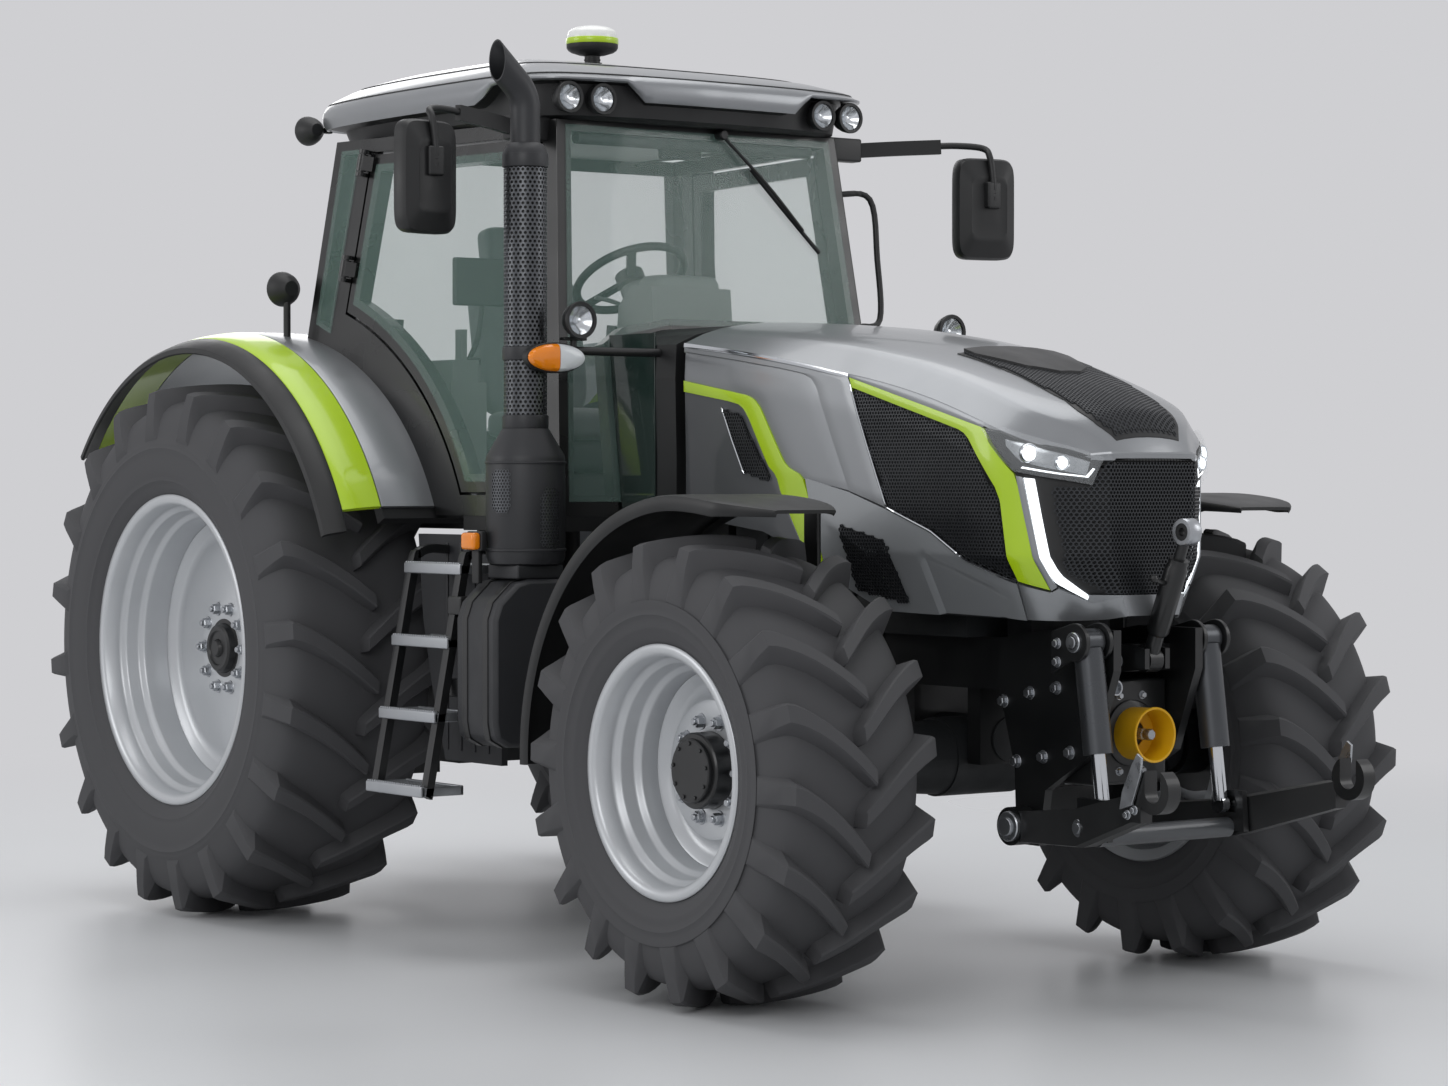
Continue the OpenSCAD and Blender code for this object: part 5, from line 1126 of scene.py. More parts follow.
    def grilles(self) -> None:
        """Builds the inner skin in near-black, as painted shade behind the grilles, and the honeycomb sheets of the
        sides, nose and top.
        """
        side = [(2.893, 1.853), (3.379, 1.716), (3.41, 1.697), (3.539, 1.512), (3.562, 1.279), (3.403, 1.341),
                (3.252, 1.426), (3.064, 1.49)]
        rear = [(2.256, 1.798), (2.345, 1.78), (2.434, 1.66), (2.492, 1.586), (2.484, 1.566), (2.368, 1.596)]
        lower = [(2.834, 1.432), (3.03, 1.388), (3.06, 1.366), (3.074, 1.19), (2.866, 1.23)]
        nose = [(-0.258, 1.3), (-0.16, 1.242), (0.16, 1.242), (0.258, 1.3), (0.3, 1.552), (0.214, 1.545),
                (0.168, 1.634), (-0.168, 1.634), (-0.214, 1.545), (-0.3, 1.552)]
        vent = [(3.15, -0.205), (3.42, -0.188), (3.6, -0.18), (3.715, -0.152), (3.752, -0.118), (3.752, 0.118),
                (3.715, 0.152), (3.6, 0.18), (3.42, 0.188), (3.15, 0.205)]
        pads = [self.slab(rear[:4], [rear[0], rear[5], rear[4], rear[3]], 0.0015, 0.012, 30, 6),
                self.slab(lower[:3], [lower[0], lower[4], lower[3]], 0.0015, 0.014, 30, 6)]
        pan = self.top_slab([(3.14, 0.215 / 0.42), (3.42, 0.198 / 0.413), (3.6, 0.19 / 0.378), (3.72, 0.165 / 0.245),
                             (3.762, 0.128 / 0.2)], 0.003, 0.01)
        scoop = self.top_slab([(3.135, 0.44), (3.2, 0.46), (3.36, 0.3), (3.42, 0.1)], 0.014, 0.014, 24, 17)
        # Near-black shell under the panels, seen only through the grilles: painted shade
        piece("hood_inner_skin_painted_shade", join([self.skin(), pan, scoop, both_sides(*pads)]), MESH,
              ["hood_shell", "hood_grilles"], body="hood")
        sides = both_sides(self.comb(side, self.on_side, -0.002, 0.005), self.comb(rear, self.on_side, 0.005, 0.004),
                           self.comb(lower, self.on_side, 0.006, 0.005))
        sheets = {"side_grille_honeycomb": sides, "nose_honeycomb": self.comb(nose, self.on_nose, -0.003, 0.005),
                  "top_vent_honeycomb": self.comb(vent, self.over_top, 0.007, 0.004)}
        for name, shape in sheets.items():
            piece(name, shape, MESH_BAR, body="hood")

    def lamps(self) -> None:
        """Builds the headlamps, with their projectors and covers, and the light strips beside the nose grille."""
        upper = [(3.486, 1.7265), (3.56, 1.717), (3.7, 1.666), (3.77, 1.634)]
        lower = [(3.488, 1.722), (3.53, 1.664), (3.592, 1.596), (3.7, 1.57), (3.752, 1.556)]
        inset_hi = [(3.558, 1.694), (3.62, 1.681), (3.7, 1.649), (3.748, 1.625)]
        inset_lo = [(3.562, 1.672), (3.606, 1.62), (3.7, 1.592), (3.741, 1.581)]
        piece("headlamp_housings", both_sides(self.slab(upper, lower, 0.003, 0.03, 50, 8, 0.004)), BLACK_PLASTIC,
              ["headlights"], body="hood")
        piece("headlamp_reflectors", both_sides(self.slab(inset_hi, inset_lo, 0.0045, 0.006, 40, 8, 0.003)), SMOKED,
              body="hood")
        eyes, cups = [], []
        for x, z, r in ((3.625, 1.65, 0.027), (3.692, 1.622, 0.021)):
            foot, seat, tip = (self.on_side(np.array([x]), np.array([z]), out)[0] for out in (0.0, 0.004, 1.0))
            basis = frame_along(0.6 * (tip - foot) + np.array([0.8, 0, 0]))
            eyes.append(lathe([(0, 0.014), (0.45 * r, 0.0125), (0.75 * r, 0.008), (0.86 * r, 0.001)], 28,
                              "z").turned(basis).moved(seat))
            cups.append(lathe([(0.86 * r, 0.001), (0.88 * r, 0.007), (r, 0.009), (1.12 * r, 0.004), (1.16 * r, -0.006)],
                              36, "z").turned(basis).moved(seat))
        piece("headlamp_rings", both_sides(*cups), CHROME, body="hood", wall_mm=1.0)
        strip = [self.slab([(3.612, 1.578), (3.654, 1.29), (3.662, 1.266), (3.717, 1.209)],
                           [(3.637, 1.575), (3.675, 1.304), (3.681, 1.283), (3.722, 1.217)], -0.003, 0.01, 50, 4,
                           0.002),
                 self.slab([(3.61, 1.611), (3.69, 1.592), (3.738, 1.583), (3.751, 1.606)],
                           [(3.606, 1.606), (3.69, 1.587), (3.743, 1.578), (3.756, 1.604)], 0.006, 0.004, 36, 3, 0.001)]
        piece("light_strips", both_sides(*strip, *eyes), LED, body="hood")
        piece("headlamp_covers", both_sides(self.slab(upper, lower, 0.021, 0.003, 50, 8, 0.01)), LENS,
              body="hood")

    def build(self) -> None:
        """Builds every piece of the hood."""
        self.grilles()
        self.painted()
        self.lamps()


# Roof and antenna

@dataclass
class Roof:
    """The cab roof: a silver shell over a black pan, with the satellite antenna on top.

    One closed outline is scaled for each level. The shell's lower edge rises over the front lamps.
    """

    rear_x: float = 0.04
    front_x: float = 1.648
    edge_z: float = 2.85
    lamp_rise: float = 0.062
    levels: tuple = ((2.845, 0.985, 0.985, 0), (2.862, 0.997, 0.996, 0), (2.88, 1, 1, 0), (2.905, 1, 1, 0),
                     (2.928, 0.992, 0.985, -0.002), (2.95, 0.96, 0.955, -0.014), (2.985, 0.85, 0.87, -0.055),
                     (3.012, 0.72, 0.78, -0.115), (3.034, 0.6, 0.68, -0.16), (3.052, 0.49, 0.57, -0.2),
                     (3.066, 0.36, 0.42, -0.235), (3.073, 0.2, 0.24, -0.25), (3.0745, 0.08, 0.08, -0.25))

    def rings(self, levels: Sequence) -> Array:
        """Stacks scaled copies of the outline.

        Args:
            levels: rows of height, share of the length, share of the width and shift along X.
        Returns:
            Points by level and by place round the roof.
        """
        b, f = self.rear_x, self.front_x
        half = np.array([(b, 0), (b, 0.4), (b + 0.012, 0.6), (b + 0.075, 0.7), (b + 0.25, 0.742), (b + 0.6, 0.764),
                         (f - 0.55, 0.757), (f - 0.25, 0.735), (f - 0.11, 0.68), (f - 0.045, 0.56), (f - 0.012, 0.36),
                         (f, 0.15), (f, 0)])
        line = smooth(np.concatenate([half, half[-2::-1] * [1, -1]]), 6)[:-1]
        level, mid = np.asarray(levels, float)[:, :, None], (b + f) / 2
        x = mid + (line[:, 0] - mid) * level[:, 1] + level[:, 3]
        return np.stack([x, line[:, 1] * level[:, 2], np.broadcast_to(level[:, 0], x.shape)], -1)

    def edge(self) -> Array:
        """Gives the height of the shell's lower edge round the outline: level, with a smooth step over the lamps.

        Returns:
            A height for each point of the outline.
        """
        outline = self.rings([(0, 1, 1, 0)])[0]
        x, y = outline[:, 0], np.abs(outline[:, 1])
        step = np.clip((y - 0.33) / 0.06, 0, 1) * np.clip((x - 1.22) / 0.12, 0, 1)
        return self.edge_z + self.lamp_rise * step * step * (3 - 2 * step)

    def shell(self) -> Shape:
        """Lofts the silver shell from inside its brim, round the edge and up to the crown.

        Returns:
            The closed shell.
        """
        low, p = self.edge(), self.rings(self.levels)
        z = p[..., 2]
        foot, brow, rise = 2.845, 2.928, 0.083
        p[..., 2] = np.where(z < brow, low + (z - foot) * (brow - low) / rise, z)
        under = self.rings([(0, 0.955, 0.945, 0)])
        under[..., 2] = low + 0.012
        return loft(np.concatenate([under, p])[:, ::-1])

    def pan(self) -> Shape:
        """Lofts the black pan under the shell, whose front corners stand back behind the lamps.

        Returns:
            The closed pan.
        """
        low = self.edge()
        p = self.rings([(0, 0.972, 0.968, 0), (0, 0.93, 0.905, 0), (2.803, 0.915, 0.885, 0), (2.7905, 0.895, 0.86, 0)])
        p[0, :, 2], p[1, :, 2] = low + 0.006, low - 0.004
        return loft(p)

    def build(self) -> None:
        """Builds the roof and the antenna."""
        piece("roof_shell", self.shell(), SILVER, ["roof"], sharp=40)
        seams = [sweep(self.rings([level])[0], circle(0.0035, 8), loop=True)
                 for level in ((2.9985, 0.785, 0.825, -0.085), (2.9395, 0.9753, 0.9693, -0.0083))]
        piece("roof_pan", join([self.pan()] + seams), BLACK_PLASTIC)
        lining = block((0.32, -0.53, 2.782), (1.36, 0.53, 2.792), 0.004)
        piece("headlining", lining, LINING)
        stem = [(0, 3.05), (0.036, 3.05), (0.036, 3.079), (0.028, 3.081), (0.028, 3.086), (0.03, 3.087), (0.03, 3.092),
                (0.028, 3.093), (0.028, 3.103), (0.036, 3.106), (0.05, 3.108), (0.078, 3.117), (0.088, 3.124),
                (0.093, 3.132), (0.0935, 3.1455), (0, 3.1455)]
        ring = [(0, 3.145), (0.0935, 3.145), (0.095, 3.147), (0.095, 3.164), (0.094, 3.1665), (0, 3.1665)]
        dome = [(0, 3.166), (0.0905, 3.166), (0.0905, 3.168), (0.0885, 3.187), (0.084, 3.194), (0.074, 3.201),
                (0.056, 3.2075), (0.034, 3.2115), (0, 3.213)]
        for name, profile, finish in (("antenna_stem", stem, BLACK_PLASTIC), ("antenna_ring", ring, LIME),
                                      ("antenna_dome", dome, WHITE)):
            stand_for = ["antenna"] if name == "antenna_dome" else []
            piece(name, lathe(profile, 64, "z").moved((0.84, 0, 0)), finish, stand_for, sharp=45)


# Lamps, mirrors and exhaust

@dataclass
class Lamps:
    """Round work lamps on roof, stalks and fenders, the indicators on the stalks and the side markers."""

    places: tuple = (((1.595, 0.47, 2.856), 0.046, 0.072, 1), ((1.586, 0.6, 2.856), 0.046, 0.072, 1),
                     ((0.03, 0.715, 2.855), 0.046, 0.072, -1), ((1.926, 0.786, 2.091), 0.052, 0.066, 1),
                     ((0.174, 0.905, 2.262), 0.054, 0.07, -1))
    oval_half: tuple[float, float] = (0.107, 0.045)
    oval_z: float = 1.968

    def put(self, profile: Sequence, at: Sequence[float], way: int) -> Shape:
        """Turns a profile about X and sets it on both sides, facing ahead or back."""
        return both_sides(lathe(profile, 36, "x").turned(turn("z", 0 if way > 0 else 180)).moved(at))

    def oval(self, rows: Sequence, start: float, end: float, middle: float = 0.865, grow: float = 0.0) -> Shape:
        """Lofts an indicator's oval, or one half of it, along X and sets it on both sides.

        Args:
            rows: stations along X, and the oval's scale at each.
            start: the angle in degrees at which the oval begins, 0 being outwards.
            end: the angle at which it ends.
            middle: the middle of the oval along Y.
            grow: how much larger the half axes are.
        Returns:
            A closed form.
        """
        a = np.radians(np.linspace(start, end, 40, endpoint=end - start < 360))
        y, z = (self.oval_half[0] + grow) * np.cos(a), (self.oval_half[1] + grow) * np.sin(a)
        points = [np.stack([np.full(len(a), x), middle + s * y, self.oval_z + s * z], -1) for x, s in rows]
        return both_sides(loft(np.array(points)))

    def build(self) -> None:
        """Builds the lamps' cups, reflectors and lenses, their posts, the indicators and the markers."""
        cups, bowls, lenses = [], [], []
        for at, r, d, way in self.places:
            cups.append(self.put([(0, -d), (0.5 * r, -d), (0.82 * r, -0.78 * d), (1.04 * r, -0.45 * d),
                                  (1.17 * r, -0.12 * d), (1.18 * r, 0), (1.14 * r, 0.004), (0.93 * r, 0.003),
                                  (0.91 * r, -0.005), (0.35 * r, -0.56 * d), (0, -0.57 * d)], at, way))
            bowls.append(self.put([(0.9 * r, -0.0055), (0.7 * r, -0.22 * d), (0.45 * r, -0.4 * d), (0.2 * r, -0.48 * d),
                                   (0.17 * r, -0.26 * d), (0, -0.24 * d), (0, -0.55 * d), (0.34 * r, -0.545 * d),
                                   (0.895 * r, -0.012)], at, way))
            lenses.append(self.put([(0, 0.007), (0.5 * r, 0.0055), (0.85 * r, 0.001), (0.905 * r, -0.003),
                                    (0.905 * r, -0.005), (0.85 * r, -0.002), (0.5 * r, 0.0025), (0, 0.004)], at, way))
        posts = [tube([(1.89, 0.45, 1.992), (1.89, 0.834, 1.992)], 0.014),
                 tube([(1.88, 0.786, 1.99), (1.88, 0.786, 2.05)], 0.011),
                 block((1.866, 0.74, 2.026), (1.894, 0.832, 2.036), 0.003),
                 tube([(0.21, 0.905, 2.085), (0.21, 0.905, 2.23)], 0.013),
                 block((0.06, 0.64, 2.846), (0.086, 0.735, 2.866), 0.004),
                 tube([(1.553, 0.47, 2.885), (1.553, 0.47, 2.912)], 0.01),
                 tube([(1.544, 0.6, 2.885), (1.544, 0.6, 2.912)], 0.01),
                 block((1.677, 1.045, 1.341), (1.766, 1.07, 1.405), 0.006),
                 block((1.702, 1.048, 1.235), (1.742, 1.066, 1.35), 0.004)]
        back = self.oval([(1.862, 0.86), (1.868, 1.0), (1.894, 1.0), (1.896, 0.97)], 0, 360, grow=0.005)
        piece("lamp_cups", join([*cups, back, both_sides(*posts)]), BLACK_PLASTIC, ["work_lamps"])
        piece("lamp_reflectors", join(bowls), REFLECTOR)
        piece("lamp_lenses", join(lenses), LENS)
        dome = [(1.884, 1.0), (1.904, 1.0), (1.914, 0.94), (1.921, 0.78), (1.924, 0.45)]
        marker = both_sides(block((1.681, 1.066, 1.345), (1.762, 1.098, 1.401), 0.012))
        piece("amber_lenses", join([self.oval(dome, -90, 90, 0.866), marker]), AMBER)
        piece("side_lamp_lenses", self.oval(dome, 90, 270, 0.864), FROSTED)


@dataclass
class Mirrors:
    """The two outside mirrors on their bent arms."""

    at: tuple[float, float, float] = (1.634, 1.187, 2.556)
    toe_deg: float = 12.0
    half_y: float = 0.117
    half_z: float = 0.184

    def head(self, rows: Sequence, count: int = 48) -> Shape:
        """Lofts scaled copies of a rounded oblong along X.

        Args:
            rows: stations and scales of the copies.
            count: points round each copy.
        Returns:
            A closed form, turned to the mirror's toe and set in its place.
        """
        a = np.linspace(0, 2 * np.pi, count, endpoint=False)
        c, s = np.cos(a), np.sin(a)
        oblong = np.stack([self.half_y * np.sign(c) * np.abs(c) ** 0.32, self.half_z * np.sign(s) * np.abs(s) ** 0.26],
                          -1)
        r = np.asarray(rows, float)
        points = np.stack([np.broadcast_to(r[:, :1], (len(r), count)), oblong[:, 0] * r[:, 1:],
                           oblong[:, 1] * r[:, 1:]], -1)
        return loft(points).turned(turn("z", -self.toe_deg)).moved(self.at)

    def build(self) -> None:
        """Builds the heads, glasses and arms."""
        x, y, z = self.at
        shell = self.head([(-0.04, 0.93), (-0.04, 0.985), (-0.034, 1.0), (0.0, 1.0), (0.014, 0.96), (0.032, 0.66),
                           (0.0345, 0.62), (0.033, 0.57), (0.036, 0.3)])
        clamp = block((x + 0.026, y - 0.03, z), (x + 0.056, y + 0.03, z + 0.096), 0.008)
        arm = tube([(1.548, 1.0, 2.78), (1.59, 1.09, 2.784), (1.632, 1.178, 2.776), (x + 0.026, y, 2.742),
                    (x + 0.044, y, 2.66), (x + 0.046, y, z + 0.03)], 0.012)
        web = sweep(smooth([(1.436, 0.735, 2.762), (1.5, 0.87, 2.772), (1.566, 1.03, 2.782)], 6),
                    [(-0.011, -0.03), (0.011, -0.03), (0.011, 0.022), (-0.011, 0.022)])
        foot = block((1.404, 0.59, 2.716), (1.462, 0.752, 2.8), 0.008)
        piece("mirror_heads", both_sides(shell, clamp, arm, web, foot), BLACK_PLASTIC, ["mirrors"],
              sharp=35)
        glass = self.head([(-0.0425, 0.9), (-0.0425, 0.915), (-0.0385, 0.915)])
        piece("mirror_glasses", both_sides(glass), MIRROR)


@dataclass
class Exhaust:
    """The silencer can, the pierced shield and the pipe with its mouth bent outwards."""

    x: float = 1.785
    y: float = -0.91
    shield_r: float = 0.0705
    pipe_r: float = 0.049
    bend_r: float = 0.12
    bend_deg: float = 46.0
    cut: float = 0.108
    pipe_z: tuple[float, float, float] = (2.6, 2.72, 2.775)
    can_r: float = 0.131
    vent_r: float = 0.1325

    def stand(self, shape: Shape, z: float = 0.0) -> Shape:
        """Moves a shape that is built about Z to the stack's axis, and up."""
        return shape.moved((self.x, self.y, z))

    def wrap(self, radius: float) -> Placing:
        """Gives the function that wraps a flat sheet, by arc length and height, round the stack's axis.

        Args:
            radius: radius of the wrapped sheet.
        Returns:
            The function that places the sheet's points.
        """
        def place(u: Array, z: Array, out: float) -> Array:
            """Gives points by arc length, height and distance outwards."""
            a = u / radius
            return np.stack([self.x + (radius + out) * np.cos(a), self.y + (radius + out) * np.sin(a), z], -1)
        return place

    def patch(self, middle_deg: float, half: float, low: float, high: float) -> list[tuple[float, float]]:
        """Gives the outline of a vent on the can, by arc length and height, with its corners cut.

        Args:
            middle_deg: angle of its middle.
            half: half its width.
            low: height of its foot.
            high: height of its top.
        Returns:
            Corners of the outline.
        """
        m, c = math.radians(middle_deg) * self.can_r, 0.014
        return [(m - half + c, low), (m + half - c, low), (m + half, low + c), (m + half, high - c),
                (m + half - c, high), (m - half + c, high), (m - half, high - c), (m - half, low + c)]

    def outlet(self) -> Shape:
        """Carries the open pipe up its bend to a mouth cut upright, and back down inside.

        Returns:
            The closed pipe in its place.
        """
        foot, straight, start = self.pipe_z
        a = np.radians(np.linspace(0, self.bend_deg, 16))
        bend = np.stack([0 * a, -self.bend_r * (1 - np.cos(a)), start + self.bend_r * np.sin(a)], -1)
        way = np.array([0, -math.sin(a[-1]), math.cos(a[-1])])
        path = np.concatenate([[(0, 0, foot), (0, 0, straight)], bend, bend[-1:]])
        lean = np.concatenate([[0, 0], a, a[-1:]])
        ring = circle(1.0, 40)
        side = np.stack([0 * lean, np.cos(lean), np.sin(lean)], -1)

        def wall(r: float) -> Array:
            """Gives the rings of one wall of the pipe, its last ring moved along the pipe onto the cut.

            Args:
                r: radius of the wall.
            Returns:
                The rings.
            """
            rows = path[:, None] + r * (ring[None, :, :1] * side[:, None] + ring[None, :, 1:] * np.array([1.0, 0, 0]))
            rows[-1] += (rows[-1][:, 1:2] + self.cut) / math.sin(a[-1]) * way
            return rows

        rows = np.concatenate([wall(self.pipe_r), wall(self.pipe_r - 0.004)[:6:-1]])
        return self.stand(loft(rows))

    def build(self) -> None:
        """Builds the can with its vents, the shield and the pipe."""
        base = block((self.x - 0.09, self.y - 0.09, 1.25), (self.x + 0.09, self.y + 0.09, 1.298), 0.008)
        can = lathe([(0, 1.296), (0.112, 1.296), (0.122, 1.3), (0.13, 1.322), (0.13, 1.64), (0.127, 1.652),
                     (0.08, 1.733), (0.076, 1.739), (0, 1.739)], 72, "z")
        collar = lathe([(0.069, 0), (0.0745, 0.002), (0.0755, 0.006), (0.0755, 0.04), (0.0745, 0.044), (0.069, 0.046)],
                       56, "z", loop=True)
        rings = [self.stand(collar, z) for z in (1.738, 1.96, 2.588)]
        bead = lathe([(0.129, 0), (0.1335, 0.003), (0.1335, 0.009), (0.129, 0.012)], 72, "z", loop=True)
        beads = [self.stand(bead, z) for z in (1.338, 1.622)]
        cone = lathe([(0, 2.6), (0.0745, 2.628), (0.0735, 2.636), (0.06, 2.662), (0.0515, 2.668), (0, 2.668)], 56, "z")
        piece("exhaust_stack", join([base, self.stand(can), self.outlet(), self.stand(cone), *rings, *beads]), EXHAUST,
              ["exhaust"], sharp=30)
        # The pipe inside the shield, near black: its dark enamel with painted shade
        core = lathe([(0, 1.735), (0.06, 1.735), (0.06, 2.612), (0, 2.612)], 40, "z")
        piece("exhaust_core_painted_shade", self.stand(core), MESH)
        turns = 2 * math.pi * self.shield_r
        whole = [(-0.001, 1.784), (turns - 0.005, 1.784), (turns - 0.005, 2.592), (-0.001, 2.592)]
        sheets = [honeycomb(whole, self.wrap(self.shield_r), turns / 28, 0.0062, 0.002)]
        sheets += [honeycomb(self.patch(d, h, low, high), self.wrap(self.vent_r), 0.0115, 0.0042, 0.003)
                   for d, h, low, high in ((-72, 0.036, 1.47, 1.605), (6, 0.036, 1.352, 1.545))]
        piece("exhaust_shield", join(sheets), STAINLESS)


# Fenders

@dataclass
class RearFenders:
    """The arches over the rear wheels: silver on top, a lime edge and a black flare, with the wall beside the cab."""

    axle_z: float = 0.96
    start: float = 27.0
    end: float = 140.0
    wall_r: float = 1.146

    def strip(self, profile: Sequence, start: float, end: float, steps: int = 72) -> Shape:
        """Turns a closed profile of radius and Y through part of a circle about the axle, on both sides.

        Args:
            profile: corners of the section.
            start: first angle in degrees, from ahead upwards.
            end: last angle.
            steps: sections on the way.
        Returns:
            The closed strips.
        """
        p = np.asarray(profile, float)
        a = np.radians(np.linspace(start, end, steps))[:, None]
        points = np.stack([p[:, 0] * np.cos(a), np.broadcast_to(p[:, 1], (steps, len(p))),
                           self.axle_z + p[:, 0] * np.sin(a)], -1)
        return both_sides(loft(points))

    def build(self) -> None:
        """Builds the painted strips, the flare and the inner walls."""
        top = [(1.148, 0.6), (1.15, 0.604), (1.1505, 0.8), (1.15, 0.992), (1.147, 0.9965), (1.131, 0.996),
               (1.131, 0.602)]
        lime = [(1.147, 0.9995), (1.1495, 1.003), (1.147, 1.03), (1.137, 1.09), (1.125, 1.134), (1.121, 1.138),
                (1.106, 1.134), (1.118, 1.08), (1.131, 1.0)]
        flare = [(1.1215, 1.1395), (1.1225, 1.143), (1.112, 1.17), (1.099, 1.198), (1.088, 1.211), (1.07, 1.214),
                 (1.066, 1.206), (1.078, 1.192), (1.096, 1.15), (1.104, 1.137)]
        piece("fender_tops", self.strip(top, self.start, self.end), SILVER, ["rear_fenders"],
              sharp=40)
        piece("fender_stripes", self.strip(lime, self.start, self.end), LIME, sharp=40)
        a = np.radians(np.linspace(25.3, 78, 24))
        wall = np.concatenate([np.stack([self.wall_r * np.cos(a), self.axle_z + self.wall_r * np.sin(a)], -1),
                               [(0.239, 1.45)]])
        hem = [(1.136, 0.604), (1.136, 0.992), (1.09, 0.992), (1.09, 0.604)]
        black = [self.strip(flare, self.start - 4, self.end), both_sides(extrude(wall, 0.601, 0.62)),
                 self.strip(hem, self.start - 2, self.start + 1, 6), self.strip(hem, self.end - 1, self.end + 1, 6)]
        piece("fender_flares", join(black), BLACK_PLASTIC, sharp=40)


@dataclass
class FrontFender:
    """A front fender that steers with its wheel: a crowned arch with a turned-down lip and a tapering tongue."""

    side: str
    x: float = 2.95
    z: float = 0.705
    radius: float = 0.824
    inner_y: float = 0.75
    outer_y: float = 1.165
    tongue: float = 0.365
    wall: float = 0.011

    def shell(self) -> Shape:
        """Sweeps the crowned section from behind the wheel over its top and along the tongue.

        The path is an arc of the radius, then a line that falls ever faster. Each section is a row of shares of the
        width and of drops square to the path; towards the tongue's tip it narrows and its lips get shallow.

        Returns:
            The closed fender of the left side.
        """
        a, t = np.radians(np.linspace(182, 90, 46)), np.linspace(0, 1, 22)[1:]
        path = np.concatenate([np.stack([self.radius * np.cos(a), self.radius * np.sin(a)], -1),
                               np.stack([self.tongue * t, self.radius - 0.045 * t ** 1.7], -1)])
        ahead = np.gradient(path, axis=0)
        ahead /= np.linalg.norm(ahead, axis=1, keepdims=True)
        normal = np.stack([-ahead[:, 1], ahead[:, 0]], -1)
        share = np.array([0, 0, 0.012, 0.045, 0.16, 0.3, 0.5, 0.7, 0.84, 0.955, 0.988, 1, 1])
        drop = np.array([-0.03, -0.014, -0.005, -0.001, 0.0, 0.0, 0.0, 0.0, 0.0, -0.001, -0.005, -0.014, -0.038])
        tip = np.clip((path[:, 0] - 0.2) / (self.tongue - 0.2), 0, 1)[:, None]
        low, high = self.inner_y + 0.075 * tip ** 1.6, self.outer_y - 0.115 * tip ** 1.8
        y = low + (high - low) * share
        fall = drop * (1 - 0.72 * tip)

        def sheet(inset: float) -> Array:
            """Gives the points of the outside, or of a sheet set in from it.

            Args:
                inset: distance inwards.
            Returns:
                The points.
            """
            yy = np.clip(y, low + inset * 0.6, high - inset * 0.6)
            off = fall - inset
            return np.stack([self.x + path[:, :1] + normal[:, :1] * off, yy,
                             self.z + path[:, 1:] + normal[:, 1:] * off], -1)

        return closed_sheet(sheet(0.0), sheet(self.wall), band=True)

    def build(self) -> None:
        """Builds the fender with its bracket on the steering knuckle."""
        x, z, r = self.x, self.z, self.radius - 0.014
        bars = [block((x - 0.035, 0.622, z + 0.186), (x + 0.035, 0.785, z + 0.203), 0.005),
                block((x - 0.035, 0.622, z + 0.186), (x + 0.035, 0.638, z + r - 0.008), 0.005),
                block((x - 0.035, 0.622, z + r - 0.022), (x + 0.035, 1.105, z + r - 0.006), 0.005),
                block((x - 0.03, 0.77, z + r - 0.01), (x + 0.03, 1.07, z + r + 0.006), 0.004)]
        bolts = hex_bolts(np.array([(x + dx, y, z + 0.203) for dx in (-0.018, 0.018) for y in (0.7, 0.755)]), (0, 0, 1),
                          0.022, 0.012)
        parts = {"fender": (self.shell(), BLACK_PLASTIC, [f"front_fender_{self.side}"]),
                 "fender_bracket": (join(bars), BLACK_PAINT, []), "fender_bolts": (bolts, STEEL, [])}
        for name, (shape, finish, stand_for) in parts.items():
            shape = shape if self.side == "left" else shape.mirrored()
            piece(f"{name}_{self.side}", shape, finish, stand_for, body=f"steer_knuckle_{self.side}",
                  sharp=40)


# Steps, tanks and front drive

